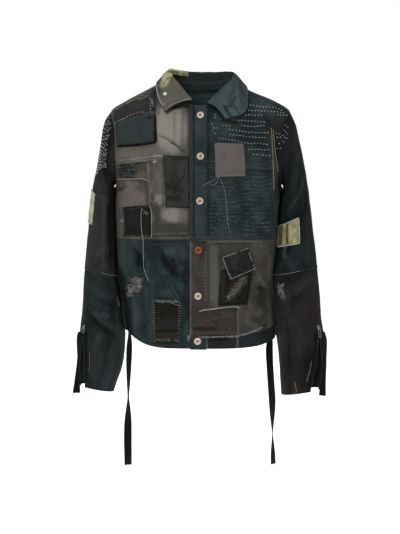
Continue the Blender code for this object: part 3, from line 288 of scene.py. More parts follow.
class Dye(Enum):
    """Colours of the cloths, the threads and the metals."""

    TEAL = srgb(41, 52, 54)
    TEAL_LIGHT = srgb(68, 82, 83)
    TEAL_MID = srgb(56, 69, 70)
    TEAL_DARK = srgb(22, 29, 31)
    WASHED = srgb(124, 120, 112)
    WASHED_PALE = srgb(164, 160, 150)
    WASHED_DARK = srgb(72, 69, 65)
    CHARCOAL = srgb(55, 55, 55)
    CHARCOAL_DARK = srgb(42, 42, 42)
    SLATE = srgb(60, 66, 67)
    LEAF_DARK = srgb(106, 102, 95)
    LEAF_SLATE = srgb(70, 84, 87)
    TAUPE = srgb(122, 116, 112)
    POCKET = srgb(110, 105, 99)
    POCKET_BROWN = srgb(86, 77, 69)
    BLACK = srgb(33, 33, 34)
    JET = srgb(19, 19, 20)
    BROWN = srgb(64, 57, 52)
    REDDISH = srgb(82, 58, 52)
    OLIVE = srgb(78, 77, 70)
    OLIVE_PALE = srgb(104, 103, 95)
    OLIVE_DARK = srgb(52, 49, 45)
    NAVY = srgb(36, 43, 44)
    NAVY_SHEEN = srgb(50, 59, 60)
    STEEL_BLUE = srgb(46, 58, 63)
    UMBER = srgb(41, 39, 37)
    CAMO_SAND = srgb(192, 190, 146)
    CAMO_GREEN = srgb(116, 122, 70)
    CAMO_BROWN = srgb(84, 74, 48)
    CAMO_TAN = srgb(186, 172, 140)
    WHITE_THREAD = srgb(214, 214, 206)
    GREY_THREAD = srgb(160, 164, 160)
    TEAL_THREAD = srgb(112, 134, 132)
    OLIVE_THREAD = srgb(158, 150, 112)
    ENAMEL = srgb(238, 222, 214)
    STUD_WHITE = srgb(250, 249, 245)
    COPPER = srgb(176, 112, 66)
    GREY_CLOTH = srgb(98, 94, 88)
    TAUPE_DARK = srgb(78, 70, 64)
    TAUPE_ROSE = srgb(118, 104, 104)
    POCKET_PALE = srgb(124, 114, 108)
    CHARCOAL_LIGHT = srgb(70, 69, 68)
    CHARCOAL_WARM = srgb(66, 64, 63)
    SLATE_BLUE = srgb(60, 68, 76)
    BROWN_GREY = srgb(73, 69, 64)
    OLIVE_LIGHT = srgb(104, 103, 93)
    OLIVE_GLOW = srgb(88, 82, 58)
    NAVY_DEEP = srgb(29, 34, 35)
    UMBER_LIGHT = srgb(54, 51, 48)
    UMBER_RED = srgb(50, 43, 41)
    LEAF_SLATE_LIGHT = srgb(88, 104, 106)
    CAMO_EDGE = srgb(190, 190, 152)
    SEAM_THREAD = srgb(58, 66, 66)
    BROWN_THREAD = srgb(128, 116, 106)
    OLIVE_DIM = srgb(108, 104, 84)
    RED_THREAD = srgb(92, 66, 58)
    RUST = srgb(120, 52, 40)
    MOSS_BLACK = srgb(32, 32, 28)
    SEAM_PALE = srgb(108, 106, 100)
    EDGE = srgb(226, 224, 200)
    FLECK = srgb(222, 224, 216)
    NECK = srgb(52, 56, 55)
    NECK_BROWN = srgb(54, 46, 44)
    ENAMEL_WORN = srgb(190, 150, 138)
    STEEL = srgb(190, 188, 184)
    STEEL_DARK = srgb(90, 88, 84)


def ease(value: Array | float) -> Array:
    """A smooth step from 0 to 1."""
    value = np.clip(value, 0.0, 1.0)
    return value * value * (3 - 2 * value)


def power(value: Array, exponent: float) -> Array:
    """A signed power, for rounded squares."""
    return np.sign(value) * np.abs(value) ** exponent


def half_turn(angle: Array) -> Array:
    """The same angle, no more than half a turn to either side."""
    return np.remainder(angle + math.pi, math.tau) - math.pi


def leftward(heading: Array) -> Array:
    """What lies to the left of a heading on the cloth."""
    return np.stack((-heading[:, 1], heading[:, 0]), -1)


def distances(points: Array) -> Array:
    """Distance along a line at each of its points."""
    return np.concatenate(([0], np.linalg.norm(np.diff(points, axis=0), axis=1).cumsum()))


def blend(colour: Array, dye: Dye, share: Array) -> Array:
    """A colour with a share of a dye over it."""
    share = share[..., None]
    return colour * (1 - share) + np.array(dye.value) * share


def read_table(rows: Sequence[tuple], at: Array) -> list[Array]:
    """Read a table at many values of its first column, with a smooth curve through its rows.

    Args:
        rows: The table, with its first column rising.
        at: Where to read it.

    Returns:
        One array for each further column.
    """
    table = np.array(rows, dtype=float)
    at = np.asarray(at, dtype=float)
    heads = table[:, 0]
    place = np.clip(np.searchsorted(heads, at, side="left") - 1, 0, len(rows) - 2)
    before, after = np.maximum(place - 1, 0), np.minimum(place + 2, len(rows) - 1)
    span = heads[place + 1] - heads[place]
    share = (at - heads[place]) / span
    values = []
    for column in range(1, table.shape[1]):
        line = table[:, column]
        rise = line[place + 1] - line[place]
        slope_in = (line[place + 1] - line[before]) / (heads[place + 1] - heads[before]) * span
        slope_out = (line[after] - line[place]) / (heads[after] - heads[place]) * span
        curve = (share * slope_in + share ** 2 * (3 * rise - 2 * slope_in - slope_out)
                 + share ** 3 * (slope_in + slope_out - 2 * rise))
        straight = rise * share
        values.append(line[place] + np.where((share < 0) | (share > 1), straight, curve))
    return values


class Clouds:
    """Soft seeded noise over a plane, from -1 to 1."""

    def __init__(self, seed: int) -> None:
        """Fill the table of random values."""
        self.table = np.random.default_rng(seed).random((256, 256)) * 2 - 1

    def at(self, a: Array, b: Array, scale: float) -> Array:
        """One layer of noise whose spots are about this large."""
        a, b = np.asarray(a) / scale, np.asarray(b) / scale
        column, row = np.floor(a).astype(int), np.floor(b).astype(int)
        u, v = a - column, b - row
        u, v = u * u * (3 - 2 * u), v * v * (3 - 2 * v)
        column, row = column % 256, row % 256
        after, under = (column + 1) % 256, (row + 1) % 256
        return ((self.table[column, row] * (1 - u) + self.table[after, row] * u) * (1 - v)
                + (self.table[column, under] * (1 - u) + self.table[after, under] * u) * v)

    def layered(self, a: Array, b: Array, scale: float, layers: int = 3) -> Array:
        """Noise with finer layers on top, each half as large and half as strong."""
        total = np.zeros(np.broadcast(a, b).shape)
        for layer in range(layers):
            total += self.at(a + 7.3 * layer, b + 3.1 * layer, scale / 2 ** layer) / 2 ** layer
        return total


def line_share(a: Array, b: Array, line: Sequence[float], bend: float) -> tuple[Array, Array, Array]:
    """Measure places against a bowed line.

    Args:
        a: First coordinate of the places.
        b: Second coordinate of the places.
        line: The line's two ends, a1, b1, a2, b2.
        bend: How far the line bows sideways, as a share of its length.

    Returns:
        Distance to the side, share along the line, and distance past its ends.
    """
    a1, b1, a2, b2 = line
    length = math.hypot(a2 - a1, b2 - b1)
    along_a, along_b = (a2 - a1) / length, (b2 - b1) / length
    along = (a - a1) * along_a + (b - b1) * along_b
    share = np.clip(along / length, 0, 1)
    side = -(a - a1) * along_b + (b - b1) * along_a - bend * length * 4 * share * (1 - share)
    past = np.abs(along - share * length)
    return side, share, past


def crease_height(a: Array, b: Array, crease: Crease) -> Array:
    """Height of one crease at many places."""
    side, share, past = line_share(a, b, crease[:4], crease.bend)
    swell = 0.35 + 0.65 * np.sqrt(np.clip(4 * share * (1 - share), 0, 1))
    width = crease.width * (0.8 + 0.4 * swell)
    return crease.height * swell * np.exp(-(side / width) ** 2 - (past / (2.2 * crease.width)) ** 2)


# ---------------------------------------------------------------- forms that the cloth follows
TORSO_STEPS, CHEST = 721, -0.3
WAIST_FELLS = ((0.0045, 0.0035, 0.0007), (-0.0055, 0.0045, 0.0009))    # middle, half width, thickness
FLANK_TURN, FLANK_REACH, SEAM_FADE = 0.13, 0.055, 0.014
FOLD_MIDDLE, FOLD_HALF = 0.047, 0.019
GATHER_PITCH, GATHER_HEIGHT = 0.0098, 0.0021
HEAD_FADE, ELBOW_FADE, ELBOW_FELL = 0.07, 0.02, 0.001
RUMPLE, GRAIN_RUMPLE = (0.0005, 0.05), (0.00022, 0.011)    # height and size of the unevenness


class Form:
    """A surface that cloth follows, read by two numbers."""

    flip: float = 1.0
    steps: tuple[float, float] = (0.004, 0.004)

    def point(self, first: Array, second: Array) -> Array:
        """The smooth surface."""
        raise NotImplementedError

    def relief(self, first: Array, second: Array) -> Array:
        """Height of creases above the smooth surface."""
        return np.zeros(np.broadcast(first, second).shape)

    def outward(self, first: Array, second: Array) -> Array:
        """The direction out of the cloth."""
        step, rise = self.steps
        ahead = self.point(first + step, second) - self.point(first - step, second)
        up = self.point(first, second + rise) - self.point(first, second - rise)
        normal = np.cross(ahead, up) * self.flip
        return normal / np.maximum(np.linalg.norm(normal, axis=-1, keepdims=True), 1e-9)

    def cloth(self, first: Array, second: Array, lift: Array | float = 0.0) -> Array:
        """Points of the creased cloth, lifted off it by a distance."""
        height = self.relief(first, second) + lift
        return self.point(first, second) + self.outward(first, second) * height[..., None]


FLANK_SWELLS = {
    -1: measured(
        Swell, 0, 2, (-640, 0), (-600, 2.5), (-560, 3.5), (-520, 4.2), (-480, 5.5), (-440, 5.5),
        (-400, 4), (-360, 3), (-280, 3), (-256, 0.8), (-240, 0)),
    1: measured(
        Swell, 0, 2, (-650, 0), (-620, 1.8), (-560, 2.8), (-480, 2), (-440, 2), (-400, 1.8), (-360, 2.2),
        (-320, 2.5), (-280, 3), (-256, 0.8), (-240, 0))}
SLEEVE_SWELLS = {
    -1: measured(
        Swell, 0, 2, (-660, 1), (-600, 3), (-560, 3), (-520, 4), (-480, 4.5), (-440, 4.5), (-400, 3.5),
        (-320, 3), (-280, 2.5), (-256, 0.6), (-240, 0)),
    1: measured(
        Swell, 0, 2, (-660, 1), (-600, 2), (-440, 2.5), (-400, 1.5), (-320, 2.5), (-280, 3), (-256, 0.6),
        (-240, 0))}
SIDE_FOLDS = {
    -1: measured(
        Swell, 0, 2, (-668, 6), (-640, 20), (-600, 25.5), (-560, 27), (-520, 27), (-480, 25),
        (-440, 22.5), (-400, 20), (-360, 19), (-320, 18), (-280, 19.5), (-262, 21.5), (-250, 22),
        (-244, 21.5), (-239, 17.5), (-235, 8), (-231, 0)),
    1: measured(
        Swell, 0, 2, (-662, 0), (-640, 15), (-610, 21.5), (-560, 21.5), (-520, 20.5), (-480, 19.5),
        (-440, 19.5), (-400, 20), (-360, 21), (-320, 18.5), (-280, 20), (-262, 22.5), (-250, 21.5),
        (-244, 21), (-239, 17.5), (-235, 8), (-231, 0))}


class TorsoForm(Form):
    """The hollow torso; read by the angle from the front, positive to the left, and the height."""

    def __init__(self) -> None:
        """Measure the way around the body at chest height."""
        self.clouds = Clouds(11)
        self.turns = np.linspace(-math.pi, math.pi, TORSO_STEPS)
        self.reach = distances(self.point(self.turns, np.full(TORSO_STEPS, CHEST)))
        self.reach -= self.reach[TORSO_STEPS // 2]

    def ring(self, height: Array, side: Array) -> tuple[Array, Array, Array]:
        """Half width, front depth and back depth at a height."""
        right, left, front, back = read_table(TORSO, height)
        return np.where(side > 0, left, right), front, back

    def point(self, first: Array, second: Array) -> Array:
        """The smooth torso."""
        first, second = np.broadcast_arrays(first, second)
        half, front, back = self.ring(second, np.sin(first))
        forward = power(np.cos(first), 2 / TORSO_POWER)
        depth = np.where(forward > 0, front, back)
        return np.stack((half * power(np.sin(first), 2 / TORSO_POWER), -depth * forward, second), -1)

    def front_angle(self, x: Array, height: Array) -> Array:
        """The angle of the front place that lies this far across."""
        half = self.ring(height, x)[0]
        share = np.minimum(np.abs(x) / half, 1.0)
        return np.sign(x) * np.arcsin(share ** (TORSO_POWER / 2))

    def around(self, angle: Array) -> Array:
        """Distance around the body from the front's middle, on the flat cloth."""
        return np.interp(angle, self.turns, self.reach)

    def armhole_half(self, side: int, height: Array) -> Array:
        """How far the armhole's edge lies in front of the shoulder line."""
        middle, reach = (SHOULDER + ARMPIT) / 2, (SHOULDER - ARMPIT) / 2
        share = np.minimum(np.abs(height - middle) / reach, 1.0)
        return ARMHOLE_DEPTH[side] * (1 - share ** SLEEVE_POWER) ** (1 / SLEEVE_POWER)

    def seam_angle(self, side: int, height: Array, back: bool) -> Array:
        """Angle of a panel's side edge: side seam, armhole edge or shoulder seam."""
        height = np.asarray(height, dtype=float)
        depth = self.ring(height, np.full(height.shape, side))[2 if back else 1]
        margin = SEAM_GAP / 2 / depth
        widest = math.pi / 2 - margin ** (TORSO_POWER / 2)
        reach = np.maximum(self.armhole_half(side, height) / depth, margin)
        armhole = np.minimum(np.arccos(np.minimum(reach, 1.0) ** (TORSO_POWER / 2)), widest)
        turn = np.where((height > ARMPIT) & (height < SHOULDER), armhole, widest)
        return math.pi - turn if back else turn

    def relief(self, first: Array, second: Array) -> Array:
        """Creases, gathers, the waist seam and small unevenness, fading out at the side seams."""
        first, second = np.broadcast_arrays(first, second)
        first = half_turn(first)
        x = self.point(first, second)[..., 0]
        around = np.where(np.cos(first) > 0, self.around(first), 1.0 + x)
        rise = RUMPLE[0] * self.clouds.layered(around, second, RUMPLE[1])
        rise = rise + GRAIN_RUMPLE[0] * self.clouds.layered(around + 3, second, GRAIN_RUMPLE[1], 2)
        front, back = np.zeros(x.shape), np.zeros(x.shape)
        for crease in FRONT_CREASES:
            front = front + crease_height(x, second, crease)
        for crease in BACK_CREASES:
            back = back + crease_height(x, second, crease)
        rise = rise + np.where(np.cos(first) > 0, front + self.gathers(x, second), back)
        edge = np.zeros(x.shape)
        for side in (-1, 1):
            for behind in (False, True):
                gap = np.abs(np.abs(first) - self.seam_angle(side, second, behind)) * FLANK_TURN
                near = (first * side > 0) & ((np.cos(first) < 0) == behind)
                edge = np.where(near, gap, edge)
        fell = sum(np.exp(-((second - WAIST - middle) / half) ** 4) * thick
                   for middle, half, thick in WAIST_FELLS)
        rise = rise + self.side_fold(first, second, edge)
        for side, table in FLANK_SWELLS.items():
            swell = np.interp(second, *zip(*table))
            rise = rise + np.where(first * side > 0, swell, 0.0) * np.exp(-(edge / FLANK_REACH) ** 2)
        return rise * ease(edge / SEAM_FADE) + fell

    def side_fold(self, first: Array, height: Array, edge: Array) -> Array:
        """The back's spare width, which folds in behind the hanging sleeves."""
        rise = np.zeros(edge.shape)
        for side, table in SIDE_FOLDS.items():
            swell = np.interp(height, *zip(*table))
            rise = rise + np.where(first * side > 0, swell, 0.0)
        return np.where(np.cos(first) < 0, rise * np.exp(-((edge - FOLD_MIDDLE) / FOLD_HALF) ** 2), 0.0)

    def gathers(self, x: Array, height: Array) -> Array:
        """Crinkled rows across the left front between the chest and the waist."""
        area = ease((x - 0.016) / 0.012) * ease((0.186 - x) / 0.02)
        area = area + 0.55 * ease((x + 0.02) / 0.006) * ease((0.014 - x) / 0.004)
        area = area * ease((-0.15 - height) / 0.06) * ease((height + 0.368) / 0.006)
        patch = ease((x - 0.032) / 0.008) * ease((0.116 - x) / 0.008) * ease((height + 0.228) / 0.008)
        area = area * (1 - patch)
        sway = 0.0055 * self.clouds.layered(x * 0.55, height, 0.034, 3)
        phase = (height + sway) / GATHER_PITCH
        ridge = np.abs((phase % 1.0) - 0.5) * 2
        strength = np.clip(0.75 + 1.1 * self.clouds.at(x, height, 0.024), 0.15, 1.7)
        return area * strength * GATHER_HEIGHT * (1 - ridge) ** 1.3


class SleeveForm(Form):
    """A hanging sleeve; read by the turn from its outer edge, and the share along it."""

    def __init__(self, side: int) -> None:
        """Keep the side."""
        self.side = side
        self.flip = float(side)
        self.clouds = Clouds(23 + side)
        self.torso = TorsoForm()

    def point(self, first: Array, second: Array) -> Array:
        """The smooth sleeve."""
        first, second = np.broadcast_arrays(first, second)
        outer, outer_z, inner, inner_z, middle_y, depth = read_table(SLEEVES[self.side], second)
        out, forward = power(np.cos(first), 2 / SLEEVE_POWER), power(np.sin(first), 2 / SLEEVE_POWER)
        x = (outer + inner) / 2 + (outer - inner) / 2 * out
        z = (outer_z + inner_z) / 2 + (outer_z - inner_z) / 2 * out
        head = SLEEVES[self.side][0]
        head_x = (head.outer + head.inner) / 2 + (head.outer - head.inner) / 2 * out
        head_z = (head.outer_z + head.inner_z) / 2 + (head.outer_z - head.inner_z) / 2 * out
        y = -head.depth * forward
        half, front, back = self.torso.ring(head_z, np.full(head_z.shape, self.side))
        share = np.minimum(np.abs(y) / np.where(y < 0, front, back), 1.0)
        hole_x = half * (1 - share ** TORSO_POWER) ** (1 / TORSO_POWER)
        x = x + (hole_x - head_x) * np.clip(1 - second / CAP_BLEND, 0, 1) ** 2
        return np.stack((self.side * x, middle_y - depth * forward, z), -1)

    def relief(self, first: Array, second: Array) -> Array:
        """Folds and small unevenness, flat at the armhole seam and at the elbow seam."""
        first, second = np.broadcast_arrays(first, second)
        turn = half_turn(first)
        across, down = turn * SLEEVE_TURN, second * SLEEVE_LENGTH
        rise = 0.0007 * self.clouds.layered(across, down * 0.7, 0.045)
        rise = rise + 0.00025 * self.clouds.layered(across + 3, down, 0.012, 2)
        for crease in SLEEVE_CREASES[self.side]:
            for wrap in (-math.tau, 0.0, math.tau):
                flat = Crease(math.radians(crease.a1) * SLEEVE_TURN, crease.b1 * SLEEVE_LENGTH,
                              math.radians(crease.a2) * SLEEVE_TURN, crease.b2 * SLEEVE_LENGTH,
                              *crease[4:])
                rise = rise + crease_height(across + wrap * SLEEVE_TURN, down, flat)
        fade = ease(second / HEAD_FADE) * ease(np.abs(second - ELBOW) / ELBOW_FADE)
        seam = ELBOW_FELL * np.exp(-((second - ELBOW + 0.006) / 0.005) ** 4)
        table = SLEEVE_SWELLS[self.side]
        inner_z = read_table(SLEEVES[self.side], second)[3]
        swell = np.interp(inner_z, *zip(*table))
        swell = swell * np.exp(-((math.pi - np.abs(turn)) / 0.75) ** 4)
        if self.side > 0:
            off = (np.degrees(turn) - SLIDER_AROUND[1]) / SLIDER_BULGE[0]
            down = (second - SLIDER_ALONG[1]) / SLIDER_BULGE[1]
            swell = swell + SLIDER_BULGE[2] * np.exp(-off ** 2 - down ** 2)
        return rise * fade + seam + swell


class CollarForm(Form):
    """The collar's fall; read by the degrees around the neck from the back, and fold to edge."""

    steps = (2.0, 0.04)

    def __init__(self, side: int, torso: TorsoForm) -> None:
        """Keep the side and the shoulders it lies on."""
        self.side = side
        self.flip = float(side)
        self.torso = torso
        self.clouds = Clouds(37 + side)

    def edge(self, x: Array, z: Array, front: Array) -> Array:
        """A place just above the shoulders where the fall ends."""
        height = np.minimum(z, NECK_SIDE)
        half = self.torso.ring(height, np.full(height.shape, self.side))[0]
        angle = np.abs(self.torso.front_angle(x, height))
        angle = np.where(np.abs(x) >= half, math.pi / 2, angle)
        angle = np.where(front, angle, math.pi - angle) * self.side
        lifted = (self.torso.point(angle, height)
                  + self.torso.outward(angle, height) * LEAF_CLEAR)
        lifted[..., 2] = np.maximum(lifted[..., 2], z)
        return lifted

    def clear(self, place: Array) -> Array:
        """Move the fall out until it clears the shoulders."""
        height = np.minimum(place[..., 2], NECK_SIDE)
        half, front, back = self.torso.ring(height, place[..., 0])
        depth = np.where(place[..., 1] < 0, front, back)
        angle = np.arctan2(power(place[..., 0] / half, TORSO_POWER / 2),
                           power(-place[..., 1] / depth, TORSO_POWER / 2))
        seat, normal = self.torso.point(angle, height), self.torso.outward(angle, height)
        push = np.maximum(LEAF_CLEAR - ((place - seat) * normal).sum(-1), 0.0)
        push = np.where(place[..., 2] > NECK_SIDE, 0.0, push)
        return place + normal * push[..., None]

    def point(self, first: Array, second: Array) -> Array:
        """The smooth fall."""
        first, second = np.broadcast_arrays(np.clip(first, 0.0, 180.0), np.clip(second, 0.0, 1.0))
        fold_x, fold_y, fold_z, edge_x, edge_z = read_table(COLLAR[self.side], first)
        fold = np.stack((fold_x, fold_y, fold_z), -1)
        turn = np.radians(first)
        zero, one = np.zeros(turn.shape), np.ones(turn.shape)
        outward = np.stack((np.sin(turn) * self.side, np.cos(turn), zero), -1)
        roll = fold + outward * ROLL_OUT + np.stack((zero, zero, -ROLL_DOWN * one), -1)
        rolled = fold + (roll - fold) * np.clip(second / ROLL_SHARE, 0, 1)[..., None]
        part = np.clip((second - ROLL_SHARE) / (1 - ROLL_SHARE), 0, 1)
        bow, end = np.sin(math.pi * part), ease((first - END_TURN) / END_RUN)
        fall = roll + (self.edge(edge_x, edge_z, first > FRONT_TURN) - roll) * part[..., None]
        bulge = outward + np.stack((zero, zero, one), -1)
        fall = fall + bulge * (bow * FALL_BOW * (1 - end))[..., None]
        fall = fall + np.stack((zero, -END_FORWARD * end * bow, END_BOW * end * bow), -1)
        return self.clear(np.where((second < ROLL_SHARE)[..., None], rolled, fall))

    def relief(self, first: Array, second: Array) -> Array:
        """The fall's outer face with its creases."""
        first, second = np.broadcast_arrays(first, second)
        across, down = first * COLLAR_TURN, second * COLLAR_FALL
        rise = CLOTH + 0.00025 * self.clouds.layered(across, down, 0.02)
        for crease in COLLAR_CREASES[self.side]:
            flat = Crease(crease.a1 * COLLAR_TURN, crease.b1 * COLLAR_FALL,
                          crease.a2 * COLLAR_TURN, crease.b2 * COLLAR_FALL, *crease[4:])
            rise = rise + crease_height(across, down, flat) * ease(second / 0.25)
        hem = 0.0005 * np.exp(-((second - 0.955) / 0.035) ** 4)
        return rise + hem


# ---------------------------------------------------------------- dyeing, wear and painted shade
class Mark(NamedTuple):
    """A soft spot of another colour: its middle, half sizes, turn in degrees, and strength."""

    a: float
    b: float
    half_a: float
    half_b: float
    turn: float
    dye: Dye
    strength: float
    ragged: float = 0.45


class Streak(NamedTuple):
    """A line of another colour, with its half width."""

    a1: float
    b1: float
    a2: float
    b2: float
    width: float
    dye: Dye
    strength: float
    bend: float = 0.0
    ragged: float = 0.35


# The last size is the crease height at which ridges are fully lightened and troughs fully darkened:
# partly rubbed wear, partly painted highlight and shade.
BLOTCH_SIZE, SPECKLE_SIZE, RAGGED_SIZE, CREASE_WEAR_AND_SHADING_RISE = 0.045, 0.009, 0.012, 0.0018


@dataclass(frozen=True)
class Wash:
    """How a cloth is dyed, washed out and worn, with painted shade and highlights laid over it."""

    base: Dye
    light: Dye
    dark: Dye
    blotch: float = 0.35
    # worn sets how far raised creases are painted lighter and troughs darker: partly rubbed wear, partly
    # painted highlight and shade.
    worn: float = 0.45
    marks: tuple[Mark, ...] = ()
    streaks: tuple[Streak, ...] = ()
    unit: tuple[float, float] = (1.0, 1.0)

    def colour(self, a: Array, b: Array, rise: Array, clouds: Clouds) -> Array:
        """Colour of the cloth at many places.

        Args:
            a: First coordinate, in the panel's own unit.
            b: Second coordinate, in the panel's own unit.
            rise: Height of the creases, in metres.
            clouds: The noise that the cloth shares.

        Returns:
            Linear colours, one for each place.
        """
        along_a, along_b = a * self.unit[0], b * self.unit[1]
        uneven = clouds.layered(along_a * 1.6, along_b, BLOTCH_SIZE, 4)
        fine = clouds.layered(along_a * 2 + 5, along_b * 0.8, SPECKLE_SIZE, 2)
        # Raised creases turn lighter and troughs darker: partly rubbed wear, partly painted highlight and
        # shade.
        crease_wear_and_shading = np.clip(rise / CREASE_WEAR_AND_SHADING_RISE, -1.2, 1.2)
        tone = self.blotch * (uneven + 0.45 * fine) + self.worn * crease_wear_and_shading
        colour = np.zeros(a.shape + (3,)) + np.array(self.base.value)
        for dye, share in ((self.light, tone), (self.dark, -tone)):
            colour = blend(colour, dye, np.clip(share, 0, 0.95))
        torn = clouds.layered(along_a + 1, along_b + 2, RAGGED_SIZE, 3)
        for mark in self.marks:
            turn = math.radians(mark.turn)
            da, db = along_a - mark.a * self.unit[0], along_b - mark.b * self.unit[1]
            u = (da * math.cos(turn) + db * math.sin(turn)) / (mark.half_a * self.unit[0])
            v = (-da * math.sin(turn) + db * math.cos(turn)) / (mark.half_b * self.unit[1])
            reach = np.sqrt(u * u + v * v) + mark.ragged * torn
            colour = blend(colour, mark.dye, mark.strength * ease((1.35 - reach) / 0.7))
        for streak in self.streaks:
            line = (streak.a1 * self.unit[0], streak.b1 * self.unit[1],
                    streak.a2 * self.unit[0], streak.b2 * self.unit[1])
            side, share, past = line_share(along_a, along_b, line, streak.bend)
            reach = np.sqrt(side * side + past * past) / streak.width + streak.ragged * torn
            colour = blend(colour, streak.dye, streak.strength * ease(1.5 - reach))
        return colour


class Nodes:
    """A material and short ways to add shader nodes to it."""

    def __init__(self, name: str) -> None:
        """Start a material."""
        self.material = bpy.data.materials.new(name)
        self.material.use_nodes = True
        self.tree = self.material.node_tree
        self.shader = self.tree.nodes["Principled BSDF"]

    def add(self, kind: str, inputs: dict | None = None, **settings: object) -> bpy.types.Node:
        """Add a node.

        Args:
            kind: The node's type, without its common beginning.
            inputs: Values or sockets for its inputs.
            **settings: Its properties.

        Returns:
            The node.
        """
        node = self.tree.nodes.new("ShaderNode" + kind)
        for key, value in settings.items():
            setattr(node, key, value)
        for key, value in (inputs or {}).items():
            if isinstance(value, bpy.types.NodeSocket):
                self.tree.links.new(value, node.inputs[key])
            else:
                node.inputs[key].default_value = value
        return node

    def feed(self, key: str, socket: bpy.types.NodeSocket) -> None:
        """Link a socket to one of the shader's inputs."""
        self.tree.links.new(socket, self.shader.inputs[key])

    def sum(self, value: bpy.types.NodeSocket, factor: float,
            other: bpy.types.NodeSocket | float) -> bpy.types.NodeSocket:
        """Value times a factor plus another value."""
        return self.add("Math", {0: value, 1: factor, 2: other}, operation="MULTIPLY_ADD").outputs[0]

    def noise(self, place: bpy.types.NodeSocket, size: float, stretch: float = 1.0,
              detail: float = 2.0) -> bpy.types.NodeSocket:
        """Noise whose spots are this large, and longer in the second direction by a factor."""
        spread = self.add("Mapping", {"Vector": place, "Scale": (1 / size, 1 / size / stretch, 1 / size)})
        return self.add("TexNoise", {"Vector": spread.outputs[0], "Scale": 1.0,
                                     "Detail": detail}).outputs["Fac"]

    def plain(self, **values: float) -> None:
        """Set numbers of the shader that are the same all over the surface."""
        for key, value in values.items():
            self.shader.inputs[key.replace("_", " ")].default_value = value


class Weave(Enum):
    """Ways a cloth is woven, as the pitch of its lines and how they lean."""

    DENIM = (0.0011, 62.0)
    TWILL = (0.0008, 45.0)
    PLAIN = (0.0007, 0.0)
    WEBBING = (0.0016, 0.0)


@dataclass(frozen=True)
class ClothFinish:
    """Woven cloth whose colour is dyed on the piece."""

    name: str
    weave: Weave = Weave.DENIM
    grain: float = 0.42
    slub: float = 0.3
    lines: float = 0.16
    roughness: float = 0.93
    sheen: float = 0.018
    bump: float = 0.5

    def build(self) -> bpy.types.Material:
        """Make the material."""
        nodes = Nodes(self.name)
        place = nodes.add("UVMap", uv_map="cloth").outputs[0]
        dye = nodes.add("Attribute", attribute_name="dye").outputs["Color"]
        pitch, lean = self.weave.value
        turned = nodes.add("Mapping", {"Vector": place, "Rotation": (0, 0, math.radians(lean))})
        ribs = nodes.add("TexWave", {"Vector": turned.outputs[0], "Scale": math.tau / 20 / pitch,
                                     "Distortion": 0.6, "Detail": 1.0}).outputs["Fac"]
        grain = nodes.noise(place, 0.0022)
        yarn = nodes.noise(place, 0.0013, 11.0)
        weft = nodes.noise(place, 0.01, 0.12)
        tone = nodes.sum(grain, 2 * self.grain, 1 - self.grain - self.slub - self.lines / 2)
        tone = nodes.sum(yarn, 1.3 * self.slub, tone)
        tone = nodes.sum(weft, 0.7 * self.slub, tone)
        tone = nodes.sum(ribs, self.lines, tone)
        shade = nodes.add("VectorMath", {0: dye, "Scale": tone}, operation="SCALE").outputs[0]
        nodes.feed("Base Color", shade)
        height = nodes.sum(grain, 1.2, nodes.sum(ribs, 0.5, yarn))
        relief = nodes.add("Bump", {"Height": height, "Strength": self.bump, "Distance": 0.0007})
        nodes.feed("Normal", relief.outputs[0])
        nodes.plain(Roughness=self.roughness, Sheen_Weight=self.sheen, Sheen_Roughness=0.5,
                    Specular_IOR_Level=0.12)
        return nodes.material


@dataclass(frozen=True)
class ThreadFinish:
    """Spun thread, twisted and a little uneven."""

    name: str
    dye: Dye
    uneven: float = 0.5

    def build(self) -> bpy.types.Material:
        """Make the material."""
        nodes = Nodes(self.name)
        place = nodes.add("TexCoord").outputs["Object"]
        spots = nodes.noise(place, 0.0035)
        tone = nodes.sum(spots, 2 * self.uneven, 1 - self.uneven)
        base = nodes.add("RGB")
        base.outputs[0].default_value = (*self.dye.value, 1)
        shade = nodes.add("VectorMath", {0: base.outputs[0], "Scale": tone}, operation="SCALE")
        nodes.feed("Base Color", shade.outputs[0])
        nodes.plain(Roughness=0.85, Sheen_Weight=0.05, Specular_IOR_Level=0.15)
        return nodes.material


@dataclass(frozen=True)
class MetalFinish:
    """Metal or enamelled metal with worn, tarnished spots."""

    name: str
    dye: Dye
    tarnish: Dye
    metallic: float = 1.0
    roughness: float = 0.35
    spots: float = 0.5

    def build(self) -> bpy.types.Material:
        """Make the material."""
        nodes = Nodes(self.name)
        place = nodes.add("TexCoord").outputs["Object"]
        cloudy = nodes.noise(place, 0.0022, detail=4)
        share = nodes.add("MapRange", {"Value": cloudy, "From Min": 0.45, "From Max": 0.68,
                                       "To Min": 0.0, "To Max": self.spots})
        mix = nodes.add("Mix", {0: share.outputs[0]}, data_type="RGBA")
        mix.inputs[6].default_value = (*self.dye.value, 1)
        mix.inputs[7].default_value = (*self.tarnish.value, 1)
        nodes.feed("Base Color", mix.outputs[2])
        rough = nodes.sum(cloudy, 0.3, self.roughness - 0.15)
        nodes.feed("Roughness", rough)
        nodes.plain(Metallic=self.metallic)
        return nodes.material


@dataclass(frozen=True)
class PlainFinish:
    """The pale floor."""

    name: str
    tone: float
    glow: float

    def build(self) -> bpy.types.Material:
        """Make the material."""
        nodes = Nodes(self.name)
        nodes.shader.inputs["Base Color"].default_value = (self.tone, self.tone, self.tone, 1)
        nodes.shader.inputs["Emission Color"].default_value = (1, 1, 1, 1)
        nodes.plain(Roughness=1.0, Specular_IOR_Level=0.0, Emission_Strength=self.glow)
        return nodes.material


@dataclass
class Wardrobe:
    """All finishes, each made once."""

    made: dict[str, bpy.types.Material] = field(default_factory=dict)

    def get(self, finish: ClothFinish | ThreadFinish | MetalFinish | PlainFinish) -> bpy.types.Material:
        """The material of a finish."""
        if finish.name not in self.made:
            self.made[finish.name] = finish.build()
        return self.made[finish.name]


